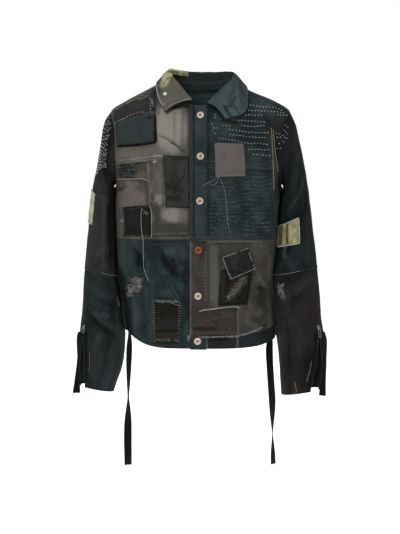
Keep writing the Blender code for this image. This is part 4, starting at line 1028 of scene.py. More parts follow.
WARDROBE = Wardrobe()
DENIM = ClothFinish("denim_cloth")
TWILL = ClothFinish("twill_cloth", Weave.TWILL, grain=0.26, slub=0.14, lines=0.14, bump=0.35)
COTTON = ClothFinish("plain_cotton", Weave.PLAIN, grain=0.24, slub=0.16, lines=0.1, bump=0.35)
WEBBING = ClothFinish("tape_webbing", Weave.WEBBING, grain=0.2, slub=0.1, lines=0.5, bump=0.6)
PALE_THREAD = ThreadFinish("pale_thread", Dye.WHITE_THREAD)
GREY_THREAD = ThreadFinish("grey_thread", Dye.GREY_THREAD)
TEAL_THREAD = ThreadFinish("teal_thread", Dye.TEAL_THREAD)
OLIVE_THREAD = ThreadFinish("olive_thread", Dye.OLIVE_THREAD)
JET_THREAD = ThreadFinish("black_thread", Dye.JET)
STEEL = MetalFinish("dull_nickel", Dye.STEEL, Dye.STEEL_DARK, roughness=0.32)
ENAMEL = MetalFinish("pale_enamel", Dye.ENAMEL, Dye.ENAMEL_WORN, metallic=0.15, roughness=0.35,
                     spots=0.35)
STUD_ENAMEL = MetalFinish("white_enamel", Dye.STUD_WHITE, Dye.ENAMEL, metallic=0.05, roughness=0.35,
                          spots=0.2)
COPPER = MetalFinish("worn_copper", Dye.COPPER, Dye.RUST, metallic=0.6, roughness=0.45)
RUST = MetalFinish("button_centre", Dye.RUST, Dye.JET, metallic=0.5, roughness=0.5)
WORN_ENAMEL = MetalFinish("worn_centre", Dye.ENAMEL_WORN, Dye.BROWN, metallic=0.2, roughness=0.5)


# ---------------------------------------------------------------- making meshes
def place_piece(thing: bpy.types.Object, nodes: Sequence[str] = ()) -> bpy.types.Object:
    """Let a piece ride the jacket and stand for its solids."""
    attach(thing, BODY)
    if nodes:
        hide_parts(*nodes)
    return thing


def new_object(name: str, points: Array, faces: Array,
               finish: ClothFinish | ThreadFinish | MetalFinish) -> bpy.types.Object:
    """A smooth mesh object.

    Args:
        name: The object's name.
        points: Corners, n by 3.
        faces: Quads, n by 4.
        finish: The finish that covers it.

    Returns:
        The object, linked into the scene.
    """
    mesh = bpy.data.meshes.new(name)
    mesh.vertices.add(len(points))
    mesh.vertices.foreach_set("co", np.ascontiguousarray(points, dtype=np.float32).ravel())
    mesh.loops.add(faces.size)
    mesh.loops.foreach_set("vertex_index", np.ascontiguousarray(faces, dtype=np.int32).ravel())
    mesh.polygons.add(len(faces))
    mesh.polygons.foreach_set("loop_start", np.arange(0, faces.size, 4, dtype=np.int32))
    mesh.update(calc_edges=True)
    mesh.validate()
    mesh.shade_smooth()
    mesh.materials.append(WARDROBE.get(finish))
    return new_thing(name, mesh)


def new_thing(name: str, data: bpy.types.ID) -> bpy.types.Object:
    """An object for a mesh, a curve, a lamp or a camera, linked into the scene."""
    thing = bpy.data.objects.new(name, data)
    bpy.context.scene.collection.objects.link(thing)
    return thing


@dataclass
class ClothCut:
    """A grid of cloth, ready to be made."""

    name: str
    node: str
    slot: str
    finish: ClothFinish
    points: Array
    dye: Array
    facing: Array
    flat: tuple[float, float]
    held: str = "hung"
    rests_on: tuple[str, ...] = ()
    area: float | None = None
    closed: bool = False
    keep: Array | None = None
    wall: float = CLOTH
    rim_only: bool = False

    def make(self) -> bpy.types.Object:
        rows, columns = self.points.shape[:2]
        index = np.arange(rows * columns).reshape(rows, columns)
        grid = self.points
        if self.closed:
            index = np.concatenate((index, index[:, :1]), 1)
            grid = np.concatenate((grid, grid[:, :1]), 1)
        across = np.linalg.norm(np.diff(grid, axis=1), axis=2).cumsum(1)
        across = np.concatenate((np.zeros((rows, 1)), across), 1)
        down = np.linalg.norm(np.diff(grid, axis=0), axis=2).cumsum(0)
        down = np.concatenate((np.zeros((1, grid.shape[1])), down), 0)
        rings = (slice(None, -1), slice(1, None))
        corners = ((0, 0), (0, 1), (1, 1), (1, 0))
        faces = np.stack([index[rings[r], rings[c]] for r, c in corners], -1)
        places = np.stack([np.stack((across[rings[r], rings[c]], down[rings[r], rings[c]]), -1)
                           for r, c in corners], 2)
        keep = np.ones(faces.shape[:2], bool) if self.keep is None else self.keep
        first, second, fourth = (grid[rings[r], rings[c]] for r, c in ((0, 0), (0, 1), (1, 0)))
        normal = np.cross(second - first, fourth - first)
        if (normal[keep] * self.facing_cells()[keep]).sum() < 0:
            faces, places = faces[:, :, ::-1], places[:, :, ::-1]
        faces, places = faces[keep], places[keep]
        used = np.zeros(rows * columns, bool)
        used[faces.ravel()] = True
        renumber = np.cumsum(used) - 1
        thing = new_object(self.name, self.points.reshape(-1, 3)[used], renumber[faces], self.finish)
        uv = thing.data.uv_layers.new(name="cloth")
        uv.data.foreach_set("uv", np.ascontiguousarray(places, dtype=np.float32).ravel())
        tint = thing.data.color_attributes.new("dye", "FLOAT_COLOR", "POINT")
        rgba = np.ones((used.sum(), 4), np.float32)
        rgba[:, :3] = self.dye.reshape(-1, 3)[used]
        tint.data.foreach_set("color", rgba.ravel())
        if self.wall:
            wall = thing.modifiers.new("wall", "SOLIDIFY")
            wall.thickness, wall.offset = self.wall, -1
            wall.use_rim_only = self.rim_only
        place_piece(thing, (self.node,) if self.node else ())
        LOG.info("%s: %d cells of cloth", self.name, len(faces))
        return thing

    def facing_cells(self) -> Array:
        """The outward direction at each cell."""
        facing = np.concatenate((self.facing, self.facing[:, :1]), 1) if self.closed else self.facing
        return facing[:-1, :-1]


Place = Callable[[Array, Array, "Array | float"], Array]


class Strands:
    """Many short threads of one finish, joined in one mesh."""

    sides = 4

    def __init__(self, name: str, finish: ThreadFinish | MetalFinish, radius: float, slot: str) -> None:
        """Start an empty bundle."""
        self.name, self.finish, self.radius, self.slot = name, finish, radius, slot
        self.points: list[Array] = []
        self.faces: list[Array] = []
        self.count = 0

    def add(self, lines: Array, outward: Array, thick: Array | float = 1.0) -> None:
        """Add threads.

        Args:
            lines: Points of the threads, threads by points by 3.
            outward: The direction out of the cloth at each point.
            thick: Radius of each thread as a share of the bundle's.
        """
        if not len(lines):
            return
        number, length = lines.shape[:2]
        heading = np.gradient(lines, axis=1)
        heading = heading / np.maximum(np.linalg.norm(heading, axis=-1, keepdims=True), 1e-9)
        side = np.cross(heading, outward)
        side = side / np.maximum(np.linalg.norm(side, axis=-1, keepdims=True), 1e-9)
        top = np.cross(side, heading)
        turn = np.arange(self.sides) / self.sides * math.tau
        taper = np.ones(length)
        taper[0] = taper[-1] = 0.45
        reach = self.radius * taper[None, :, None] * np.reshape(thick, (-1, 1, 1))
        ring = (side[:, :, None] * np.cos(turn)[None, None, :, None]
                + top[:, :, None] * 0.75 * np.sin(turn)[None, None, :, None])
        points = lines[:, :, None] + ring * reach[..., None]
        index = np.arange(points.size // 3).reshape(number, length, self.sides) + self.count
        after = np.roll(index, -1, 2)
        walls = np.stack((index[:, :-1], after[:, :-1], after[:, 1:], index[:, 1:]), -1)
        self.points.append(points.reshape(-1, 3))
        self.faces.append(walls.reshape(-1, 4))
        self.faces.append(np.concatenate((index[:, 0, ::-1], index[:, -1])))
        self.count += points.size // 3

    def lay(self, place: Place, a: Array, b: Array, lift: Array, thick: Array | float = 1.0) -> None:
        """Add threads given by coordinates of a surface and a lift above it."""
        if not len(a):
            return
        points = place(a, b, lift)
        outward = place(a, b, lift + 0.001) - points
        self.add(points, outward, thick)

    def make(self) -> bpy.types.Object | None:
        """Make the joined mesh."""
        if not self.points:
            return None
        thing = new_object(self.name, np.concatenate(self.points), np.concatenate(self.faces),
                           self.finish)
        LOG.info("%s: %d faces of thread", self.name, len(thing.data.polygons))
        return place_piece(thing)


class Needle:
    """Stitches and frays laid on one surface.

    Coordinates are the surface's own; unit says how many metres each of them measures.
    """

    def __init__(self, place: Place, unit: tuple[float, float], seed: int) -> None:
        """Keep the surface, its units and the seeded choice of unevenness."""
        self.place, self.unit = place, np.array(unit)
        self.chance = np.random.default_rng(seed)

    def walk(self, line: Sequence[tuple[float, float]], pitch: float) -> tuple[Array, Array]:
        """Evenly spaced places and headings along a line.

        Args:
            line: The line's corners, in the surface's own coordinates.
            pitch: Distance between places, in metres.

        Returns:
            The places and the headings, both in metres.
        """
        corners = np.array(line, dtype=float) * self.unit
        steps = np.diff(corners, axis=0)
        lengths = np.linalg.norm(steps, axis=1)
        reach = distances(corners)
        at = np.arange(pitch / 2, reach[-1], pitch)
        segment = np.clip(np.searchsorted(reach, at, side="right") - 1, 0, len(lengths) - 1)
        share = (at - reach[segment]) / lengths[segment]
        heading = steps[segment] / lengths[segment][:, None]
        return corners[segment] + steps[segment] * share[:, None], heading

    def spots(self, line: Sequence[tuple[float, float]], pitch: float,
              skip: float) -> tuple[Array, Array, Array]:
        """Places along a line, a share of them skipped, their headings and what lies to the left."""
        middle, heading = self.walk(line, pitch)
        keep = self.chance.random(len(middle)) >= skip
        return middle[keep], heading[keep], leftward(heading[keep])

    def sew(self, strands: Strands, start: Array, end: Array, lift: float = 0.0006, bow: float = 0.0,
            knots: int = 4, thick: Array | float = 1.0, sunk: float = -0.0003) -> None:
        """Lay straight or bowed stitches between places given in metres."""
        share = np.linspace(0, 1, knots)
        lines = start[:, None] + (end - start)[:, None] * share[None, :, None]
        across = leftward(end - start)
        lines = lines + across[:, None] * (bow * 4 * share * (1 - share))[None, :, None]
        arch = np.sin(math.pi * share)
        height = np.broadcast_to(sunk + (lift - sunk) * np.sqrt(arch), lines.shape[:2])
        strands.lay(self.place, lines[..., 0] / self.unit[0], lines[..., 1] / self.unit[1],
                    height, thick)

    def running(self, strands: Strands, line: Sequence[tuple[float, float]], pitch: float = 0.007,
                stitch: float = 0.0042, sway: float = 0.0006, skip: float = 0.0,
                thick: float = 1.0) -> None:
        """A row of running stitches."""
        middle, heading, across = self.spots(line, pitch, skip)
        middle = middle + across * self.chance.normal(0, sway, (len(middle), 1))
        tilt = heading + across * self.chance.normal(0, 0.1, (len(middle), 1))
        half = stitch / 2 * self.chance.uniform(0.75, 1.2, (len(middle), 1))
        self.sew(strands, middle - tilt * half, middle + tilt * half, thick=thick)

    def overcast(self, strands: Strands, line: Sequence[tuple[float, float]], inner: float = 0.003,
                 outer: float = 0.0016, pitch: float = 0.0048, lean: float = 0.25,
                 skip: float = 0.0) -> None:
        """Short stitches over an edge; the inside lies to the left of the line."""
        middle, heading, across = self.spots(line, pitch, skip)
        jitter = self.chance.normal(0, 0.18, (len(middle), 1))
        reach = self.chance.uniform(0.75, 1.25, (len(middle), 2))
        start = middle + across * inner * reach[:, :1] + heading * inner * (lean + jitter)
        end = middle - across * outer * reach[:, 1:]
        self.sew(strands, start, end, knots=5)

    def fray(self, strands: Strands, line: Sequence[tuple[float, float]], length: float = 0.004,
             pitch: float = 0.0011, inward: float = 0.0008, lift: float = 0.0008,
             wild: float = 0.5) -> None:
        """Loose yarn ends that stick out over an edge."""
        middle, heading = self.walk(line, pitch)
        across = -leftward(heading)
        middle = middle + heading * self.chance.normal(0, pitch, (len(middle), 1))
        reach = length * self.chance.uniform(0.35, 1.3, (len(middle), 1))
        lean = heading * self.chance.normal(0, wild, (len(middle), 1))
        self.sew(strands, middle - across * inward, middle + (across + lean) * reach, lift=lift,
                 bow=float(self.chance.normal(0, 0.15)), sunk=0.0002,
                 thick=self.chance.uniform(0.5, 1.2, len(middle)))

    def ravel(self, strands: Strands, line: Sequence[tuple[float, float]], sway: float = 0.0008,
              lift: float = 0.0007, step: float = 0.003, thick: float = 1.0) -> None:
        """One continuous uneven thread along a line."""
        middle, heading = self.walk(line, step)
        across = leftward(heading)
        middle = middle + across * self.chance.normal(0, sway, (len(middle), 1))
        height = lift + np.abs(self.chance.normal(0, 0.0002, len(middle)))
        strands.lay(self.place, middle[None, :, 0] / self.unit[0], middle[None, :, 1] / self.unit[1],
                    height[None], thick)

    def tangle(self, strands: Strands, centre: tuple[float, float], reach: tuple[float, float],
               count: int, length: float = 0.01, turn: float = 0.0, spread: float = 3.14,
               bow: float = 0.35) -> None:
        """Loose yarns strewn over a torn or worn place.

        Args:
            strands: The bundle that takes them.
            centre: The middle of the place.
            reach: Its half sizes, in metres.
            count: How many yarns.
            length: Their mean length.
            turn: Their main direction, in radians.
            spread: How far they turn away from it.
            bow: How far they bow.
        """
        middle = np.array(centre) * self.unit + self.chance.uniform(-1, 1, (count, 2)) * reach
        angle = turn + self.chance.uniform(-spread, spread, count)
        half = length / 2 * self.chance.uniform(0.4, 1.3, (count, 1))
        heading = np.stack((np.cos(angle), np.sin(angle)), -1) * half
        for some in np.array_split(np.arange(count), 4):
            self.sew(strands, middle[some] - heading[some], middle[some] + heading[some], lift=0.0009,
                     bow=bow * float(self.chance.uniform(-1, 1)), knots=6, sunk=0.0003,
                     thick=self.chance.uniform(0.6, 1.1, len(some)))


# ---------------------------------------------------------------- how each cloth is dyed, with painted shade and highlights
# Places lie across and up on the body, in millimetres; on the sleeves and the collar's fall they
# are degrees around and shares along.
WASHES = {
    "right_front_upper": Wash(
        Dye.GREY_CLOTH, Dye.WASHED, Dye.WASHED_DARK, blotch=0.42, worn=0.35,
        marks=measured(
            Mark, 0, 4, (-72, -100, 40, 62, 0, Dye.WASHED_PALE, 0.95, 0.1),
            (-86, -96, 12, 44, 0, Dye.WASHED_PALE, 0.7, 0.12), (-150, -162, 50, 14, 2, Dye.WASHED, 0.55),
            # (-48, -46) is a dark spot painted as the shadow under the right collar leaf.
            (-98, -30, 10, 34, 0, Dye.WASHED_DARK, 0.55), (-48, -46, 40, 10, 0, Dye.WASHED_DARK, 0.7),
            (-182, -205, 30, 16, 0, Dye.CHARCOAL, 0.92), (-152, -200, 18, 14, 0, Dye.WASHED_DARK, 0.75),
            (-104, -236, 13, 40, 0, Dye.WASHED, 0.55), (-100, -274, 12, 14, 0, Dye.WASHED_PALE, 0.6),
            (-106, -305, 12, 22, 0, Dye.OLIVE_DARK, 0.6),
            (-60, -312, 30, 19, -8, Dye.WASHED_PALE, 0.8, 0.12),
            (-66, -348, 46, 17, 0, Dye.WASHED_DARK, 0.9, 0.12),
            (-40, -330, 14, 40, 0, Dye.WASHED_DARK, 0.45, 0.12),
            (-194, -300, 12, 70, 0, Dye.TAUPE_DARK, 0.7), (-190, -326, 7, 6, 0, Dye.WASHED, 0.6),
            (-105, -340, 12, 18, 0, Dye.WASHED_DARK, 0.7), (-150, -364, 60, 6, 0, Dye.WASHED_DARK, 0.6)),
        streaks=measured(
            Streak, 0, 5, (-24.5, -50, -25, -360, 3.2, Dye.OLIVE_DARK, 0.8),
            # These black lines, down to (-34, -49), are painted shadow under the right collar leaf's
            # lower edge.
            (-80, -66, -60, -53, 3, Dye.JET, 0.75, 0.0, 0.1),
            (-62, -53, -30, -47, 4.2, Dye.JET, 0.85, 0.08, 0.1),
            (-34, -49, -18, -52, 2.6, Dye.JET, 0.8, 0.0, 0.1), (-60, -64, -61, -140, 3, Dye.WASHED, 0.6),
            (-40, -60, -42, -150, 3, Dye.GREY_CLOTH, 0.6),
            # These two dark lines are painted shade in the diagonal crease across the right chest.
            (-96, -122, -66, -138, 1.8, Dye.WASHED_DARK, 0.6, 0.06),
            (-68, -137, -40, -160, 2.4, Dye.WASHED_DARK, 0.85, 0.06),
            # These two dark lines are painted shadow under the same edge of the collar leaf.
            (-84, -62, -59, -48, 2.6, Dye.CHARCOAL_DARK, 0.75),
            (-60, -47.8, -23, -47, 2.6, Dye.CHARCOAL_DARK, 0.8),
            (-200, -358, -30, -357, 1, Dye.WASHED, 0.7),
            (-200, -363, -30, -362, 1.6, Dye.CHARCOAL_DARK, 0.85),
            (-200, -352, -30, -351, 1.6, Dye.WASHED_DARK, 0.8),
            (-207, -95, -209, -180, 4.5, Dye.WASHED, 0.6),
            (-106, -4, -212, -58, 10.5, Dye.CHARCOAL, 0.98, 0.0, 0.02),
            (-120, -20, -212, -74, 10.5, Dye.CHARCOAL, 0.98, 0.0, 0.02),
            (-108, -6, -109, -60, 4.6, Dye.CHARCOAL_DARK, 0.9, 0.0, 0.1),
            (-87, -168, -89, -290, 2.6, Dye.WASHED_DARK, 0.65),
            (-200, -180, -92, -170, 2.2, Dye.WASHED_PALE, 0.45),
            (-205, -191.5, -120, -186, 2.2, Dye.JET, 0.65), (-205, -229, -165, -229, 2.2, Dye.JET, 0.75),
            (-124, -186, -120, -280, 2, Dye.WASHED_PALE, 0.35))),
    "left_front_upper": Wash(
        Dye.TEAL, Dye.TEAL_LIGHT, Dye.TEAL_DARK, blotch=0.3, worn=0.95,
        marks=measured(
            Mark, 0, 4, (212, -96, 22, 46, 0, Dye.UMBER, 0.5, 1.0),
            (204, -150, 18, 40, 0, Dye.TEAL_DARK, 0.55), (190, -216, 9, 38, 4, Dye.TAUPE_DARK, 0.8, 0.3),
            (196, -300, 12, 70, 0, Dye.CHARCOAL, 0.65), (60, -90, 30, 30, 0, Dye.TEAL_LIGHT, 0.3),
            (190, -88, 20, 24, 0, Dye.NECK_BROWN, 0.45, 1.0), (186, -106, 14, 4, 0, Dye.NECK_BROWN, 0.65),
            (75, -229, 30, 6, 0, Dye.CHARCOAL, 0.5), (40, -262, 16, 12, 0, Dye.TEAL_LIGHT, 0.35),
            (120, -175, 20, 28, 0, Dye.TEAL_LIGHT, 0.25), (110, -30, 40, 20, -20, Dye.TEAL_DARK, 0.35)),
        streaks=measured(
            # The first three lines are painted shadow under the left collar leaf; the last, black-green
            # one is the painted dark hollow below its tip.
            Streak, 0, 5, (17, -45, 38, -54, 3, Dye.JET, 0.85, 0.0, 0.1),
            (38, -54, 56, -78, 4, Dye.JET, 0.8, 0.05, 0.1),
            (56, -84, 86, -90, 4.2, Dye.MOSS_BLACK, 0.9, 0.0, 0.15),
            (21, -50, 22, -360, 3, Dye.TEAL_DARK, 0.55), (112, -196, 176, -198, 3, Dye.TEAL_LIGHT, 0.3),
            (110, -206.5, 178, -208, 2.2, Dye.TEAL_DARK, 0.6))),
    "right_front_lower": Wash(
        Dye.TEAL, Dye.TEAL_LIGHT, Dye.TEAL_DARK, blotch=0.42, worn=0.65,
        marks=measured(
            Mark, 0, 4, (-150, -424, 12, 20, -20, Dye.JET, 0.4, 0.7),
            (-66, -430, 18, 28, 35, Dye.JET, 0.38, 0.8), (-158, -486, 24, 26, 0, Dye.CHARCOAL, 0.65),
            (-178, -420, 14, 40, 0, Dye.TEAL_LIGHT, 0.3), (-80, -500, 20, 8, 0, Dye.TEAL_LIGHT, 0.35),
            (-150, -560, 30, 40, 0, Dye.TEAL_LIGHT, 0.25), (-32, -500, 8, 100, 0, Dye.TEAL_DARK, 0.6),
            (-120, -630, 90, 7, -4, Dye.CHARCOAL, 0.7), (-112, -570, 8, 40, 0, Dye.BROWN, 0.35)),
        streaks=measured(
            # The first five black lines are painted shade down the right side, between the front and the
            # hanging sleeve.
            Streak, 0, 5, (-199.5, -430, -194, -470, 4.5, Dye.JET, 0.95, 0.0, 0.08),
            (-190, -460, -182, -530, 10, Dye.JET, 0.98, 0.0, 0.08),
            (-182, -520, -174, -640, 13, Dye.JET, 0.98, 0.0, 0.08),
            (-262, -424, -246, -456, 9, Dye.JET, 0.97, 0.0, 0.08),
            (-242, -478, -237, -660, 34, Dye.JET, 0.98, 0.0, 0.06),
            (-150, -405, -140, -438, 1.8, Dye.JET, 0.75), (-85, -410, -52, -456, 1.8, Dye.JET, 0.75),
            (-76, -480, -45, -530, 2, Dye.TEAL_DARK, 0.8),
            (-122, -470, -122, -540, 1.4, Dye.TEAL_DARK, 0.7),
            (-200, -377, -24, -377, 1.8, Dye.TEAL_DARK, 0.6),
            (-196, -385, -26, -383, 2.2, Dye.CHARCOAL, 0.6))),
    "left_front_lower": Wash(
        Dye.OLIVE, Dye.OLIVE_PALE, Dye.OLIVE_DARK, blotch=0.42, worn=0.55,
        marks=measured(
            Mark, 0, 4, (32, -450, 10, 80, 0, Dye.OLIVE_PALE, 0.5),
            (28, -400, 18, 16, 0, Dye.OLIVE_PALE, 0.35), (150, -420, 24, 40, 0, Dye.TAUPE_DARK, 0.55),
            # (140, -470) is a pale spot painted as the highlight on the diagonal fold over the left hip;
            # (152, -520) is painted shade below that fold.
            (140, -470, 10, 26, -35, Dye.OLIVE_PALE, 0.4), (152, -520, 16, 14, 0, Dye.OLIVE_DARK, 0.7),
            (126, -546, 12, 12, 20, Dye.OLIVE_GLOW, 0.6), (116, -566, 6, 18, 0, Dye.OLIVE_PALE, 0.35),
            (158, -570, 16, 14, 0, Dye.OLIVE_GLOW, 0.35), (172, -480, 10, 90, 0, Dye.UMBER, 0.75),
            (176, -560, 16, 50, 0, Dye.JET, 0.55, 0.2),
            # (158, -522) is painted shade below the same fold.
            (158, -522, 14, 30, 14, Dye.OLIVE_DARK, 0.75, 0.2),
            (128, -500, 10, 40, 12, Dye.OLIVE_DARK, 0.3), (160, -560, 30, 10, 20, Dye.UMBER, 0.6),
            (112, -592, 20, 12, 0, Dye.TEAL, 0.45), (170, -590, 16, 16, 0, Dye.OLIVE_DARK, 0.8),
            (36, -608, 50, 6, 0, Dye.TAUPE_DARK, 0.7)),
        streaks=measured(
            Streak, 0, 5, (40, -405, 41, -535, 4.2, Dye.OLIVE_LIGHT, 0.7),
            (22.5, -385, 23, -520, 2.4, Dye.OLIVE_DARK, 0.65),
            (34, -376.5, 150, -376.5, 1.8, Dye.OLIVE_PALE, 0.9),
            (30, -381.5, 120, -381.5, 1.6, Dye.OLIVE_DARK, 0.8),
            (130, -386, 180, -388, 2, Dye.OLIVE_LIGHT, 0.4),
            (166, -385, 172, -470, 1.6, Dye.OLIVE_LIGHT, 0.45),
            # The next two dark lines are painted shade in that fold, and the light line after them a
            # painted highlight on its ridge.
            (134, -450, 168, -500, 2.4, Dye.OLIVE_DARK, 0.6, -0.08),
            (146, -489, 171, -500, 2.2, Dye.JET, 0.75, 0.12),
            (135, -440, 160, -478, 2.6, Dye.OLIVE_LIGHT, 0.45, -0.08))),
    "left_hem_band": Wash(
        Dye.CHARCOAL_DARK, Dye.TEAL, Dye.TEAL_DARK, blotch=0.35, worn=0.5,
        marks=measured(
            Mark, 0, 4, (50, -614, 30, 3, 0, Dye.JET, 0.8), (128, -618, 24, 8, 0, Dye.TEAL, 0.7),
            (170, -600, 14, 20, 0, Dye.JET, 0.5)),
        streaks=measured(Streak, 0, 5, (92, -606, 94, -640, 2, Dye.TEAL_LIGHT, 0.7))),
    "button_band_upper": Wash(
        Dye.TEAL_MID, Dye.TEAL_LIGHT, Dye.TEAL_DARK, blotch=0.35, worn=0.9,
        marks=measured(
            Mark, 0, 4, (-4, -104, 12, 30, 0, Dye.TEAL_LIGHT, 0.4),
            (-20, -200, 5, 160, 0, Dye.WASHED_DARK, 0.7), (6, -192, 14, 10, 0, Dye.CHARCOAL, 0.5)),
        streaks=measured(
            Streak, 0, 5, (-14, -50, -14, -365, 2.2, Dye.TEAL_DARK, 0.75),
            (-10, -190, 18, -191, 2, Dye.TEAL_DARK, 0.6))),
    "button_band_lower": Wash(
        Dye.BROWN_GREY, Dye.OLIVE_PALE, Dye.BROWN, blotch=0.4, worn=0.4,
        marks=measured(
            Mark, 0, 4, (6, -400, 12, 12, 0, Dye.BROWN, 0.7), (6, -416, 10, 5, 0, Dye.REDDISH, 0.6),
            (-4, -470, 12, 40, 0, Dye.CHARCOAL, 0.35), (-12, -507, 8, 10, 0, Dye.REDDISH, 0.45),
            (-4, -624, 30, 20, 0, Dye.TEAL, 0.92, 0.2)),
        streaks=measured(
            Streak, 0, 5, (-21.5, -376, -22.5, -600, 2, Dye.GREY_THREAD, 0.3),
            (15, -400, 15, -520, 1.6, Dye.OLIVE_PALE, 0.65), (-20, -376, 18, -378, 1.6, Dye.JET, 0.8))),
    "back_upper": Wash(
        Dye.TEAL, Dye.TEAL_LIGHT, Dye.TEAL_DARK, blotch=0.38, worn=0.65,
        marks=measured(
            Mark, 0, 4, (20, -30, 90, 60, 0, Dye.LEAF_SLATE, 0.75, 0.1),
            (-66, -10, 34, 40, 0, Dye.NECK_BROWN, 0.85, 0.1)),
        streaks=measured(Streak, 0, 5, (-14, -10, 36, -10, 1.2, Dye.LEAF_SLATE_LIGHT, 0.8))),
    "back_lower": Wash(
        Dye.TEAL, Dye.TEAL_LIGHT, Dye.TEAL_DARK, blotch=0.42, worn=0.65,
        streaks=measured(
            # Both black lines are painted shade down the sides, behind the hanging sleeves.
            Streak, 0, 5, (-200, -440, -193, -640, 13, Dye.JET, 0.92, 0.0, 0.1),
            (196, -400, 196, -640, 12, Dye.JET, 0.8, 0.0, 0.1))),
    "sleeve_right_upper": Wash(
        Dye.CHARCOAL, Dye.CHARCOAL_LIGHT, Dye.CHARCOAL_DARK, blotch=0.2, worn=0.55,
        marks=measured(
            # (106, 0.44) is a painted highlight, a sheen band down a fold; (142, 0.4) is painted shade on
            # the inner side, towards the body.
            Mark, 0, 0, (106, 0.44, 7, 0.15, 0, Dye.CHARCOAL_LIGHT, 0.6, 0.2),
            (142, 0.4, 20, 0.24, 0, Dye.JET, 0.6, 0.2), (100, 0.14, 26, 0.08, 0, Dye.TEAL_DARK, 0.6),
            (50, 0.11, 48, 0.13, 0, Dye.JET, 0.8, 0.1), (120, 0.58, 30, 0.03, 0, Dye.BROWN, 0.45),
            (70, 0.6, 60, 0.015, 0, Dye.NAVY_SHEEN, 0.55)),
        unit=SLEEVE_UNIT),
    "sleeve_right_lower": Wash(
        Dye.NAVY, Dye.NAVY_SHEEN, Dye.JET, blotch=0.35, worn=0.65,
        marks=measured(
            Mark, 0, 0, (85, 0.7, 24, 0.07, 0, Dye.NAVY_SHEEN, 0.6),
            (60, 0.68, 16, 0.05, 0, Dye.STEEL_BLUE, 0.35), (128, 0.63, 14, 0.012, 0, Dye.BROWN, 0.45),
            # (158, 0.72) is painted shade on the inner side, towards the body.
            (158, 0.72, 16, 0.12, 0, Dye.JET, 0.6, 0.2), (98, 0.78, 16, 0.012, 0, Dye.TEAL_LIGHT, 0.45),
            (84, 0.93, 20, 0.05, 0, Dye.SLATE, 0.3), (60, 0.95, 10, 0.06, 0, Dye.UMBER, 0.6)),
        unit=SLEEVE_UNIT),
    "sleeve_left_upper": Wash(
        Dye.NAVY_DEEP, Dye.NAVY_SHEEN, Dye.JET, blotch=0.3, worn=0.6,
        marks=measured(
            Mark, 0, 0, (96, 0.56, 34, 0.05, 0, Dye.STEEL_BLUE, 0.6),
            (92, 0.24, 10, 0.1, -8, Dye.NAVY_SHEEN, 0.5, 0.2), (60, 0.5, 20, 0.1, 0, Dye.NAVY, 0.5),
            (100, 0.1, 40, 0.08, 0, Dye.CHARCOAL_DARK, 0.6), (45, 0.08, 26, 0.08, 0, Dye.UMBER, 0.4, 0.8),
            # (150, 0.4) is painted shade on the inner side, towards the body.
            (150, 0.4, 24, 0.2, 0, Dye.JET, 0.55, 0.2), (152, 0.28, 16, 0.1, 0, Dye.CHARCOAL, 0.5)),
        unit=SLEEVE_UNIT),
    "sleeve_left_lower": Wash(
        Dye.UMBER, Dye.UMBER_LIGHT, Dye.JET, blotch=0.3, worn=0.5,
        marks=measured(
            Mark, 0, 0, (128, 0.7, 20, 0.05, 0, Dye.CHARCOAL, 0.6),
            (70, 0.66, 40, 0.03, 0, Dye.CHARCOAL, 0.5), (60, 0.78, 20, 0.1, 0, Dye.UMBER_RED, 0.3),
            (100, 0.8, 24, 0.06, 0, Dye.OLIVE_DARK, 0.35), (100, 0.94, 50, 0.05, 0, Dye.JET, 0.5),
            (110, 0.64, 30, 0.02, 0, Dye.TEAL_DARK, 0.6)),
        unit=SLEEVE_UNIT),
    "collar_leaf_right": Wash(
        Dye.LEAF_DARK, Dye.WASHED, Dye.WASHED_DARK, blotch=0.28, worn=0.25,
        marks=measured(
            Mark, 0, 0, (100, 0.72, 26, 0.3, 0, Dye.WASHED_DARK, 0.55),
            (130, 0.9, 22, 0.16, 0, Dye.CHARCOAL, 0.55), (150, 0.45, 18, 0.25, 0, Dye.LEAF_DARK, 0.5),
            (92, 0.22, 36, 0.24, 0, Dye.CAMO_SAND, 0.85, 0.15),
            (126, 0.48, 14, 0.26, 0, Dye.CAMO_SAND, 0.9, 0.12),
            (120, 0.5, 4, 0.1, 20, Dye.CAMO_GREEN, 0.75, 0.5),
            (131, 0.58, 4, 0.08, 0, Dye.CAMO_GREEN, 0.6, 0.5)),
        streaks=measured(
            Streak, 4, 5, (112, 0.95, 170, 0.93, 1.6, Dye.WASHED_PALE, 0.45),
            (178.6, 0.12, 178.6, 0.97, 1.3, Dye.WASHED_PALE, 0.8, 0.0, 0.6),
            (104, 0.6, 126, 0.93, 1.4, Dye.WASHED_PALE, 0.5)),
        unit=COLLAR_UNIT),
    "collar_leaf_left": Wash(
        Dye.LEAF_SLATE, Dye.LEAF_SLATE_LIGHT, Dye.TEAL, blotch=0.3, worn=0.45,
        marks=measured(
            Mark, 0, 0, (100, 0.3, 30, 0.4, 0, Dye.SLATE, 0.8), (20, 0.5, 60, 0.8, 0, Dye.TEAL, 0.8),
            (126, 0.62, 14, 0.2, 0, Dye.SLATE, 0.55), (160, 0.3, 16, 0.22, 0, Dye.LEAF_SLATE_LIGHT, 0.35),
            # These three pale spots are painted highlights on the ridges between the fall's creases.
            (166, 0.84, 4, 0.13, 0, Dye.LEAF_SLATE_LIGHT, 0.75, 0.15),
            (177, 0.86, 3, 0.12, 0, Dye.LEAF_SLATE_LIGHT, 0.6, 0.15),
            (154, 0.66, 5, 0.1, 0, Dye.LEAF_SLATE_LIGHT, 0.45, 0.15)),
        streaks=measured(
            # These three darker lines are painted shade in the fall's creases.
            Streak, 4, 5, (169, 0.56, 172, 0.98, 2.4, Dye.TEAL, 0.95, 0.0, 0.1),
            (158, 0.7, 161, 0.98, 1.8, Dye.TEAL, 0.75, 0.0, 0.1),
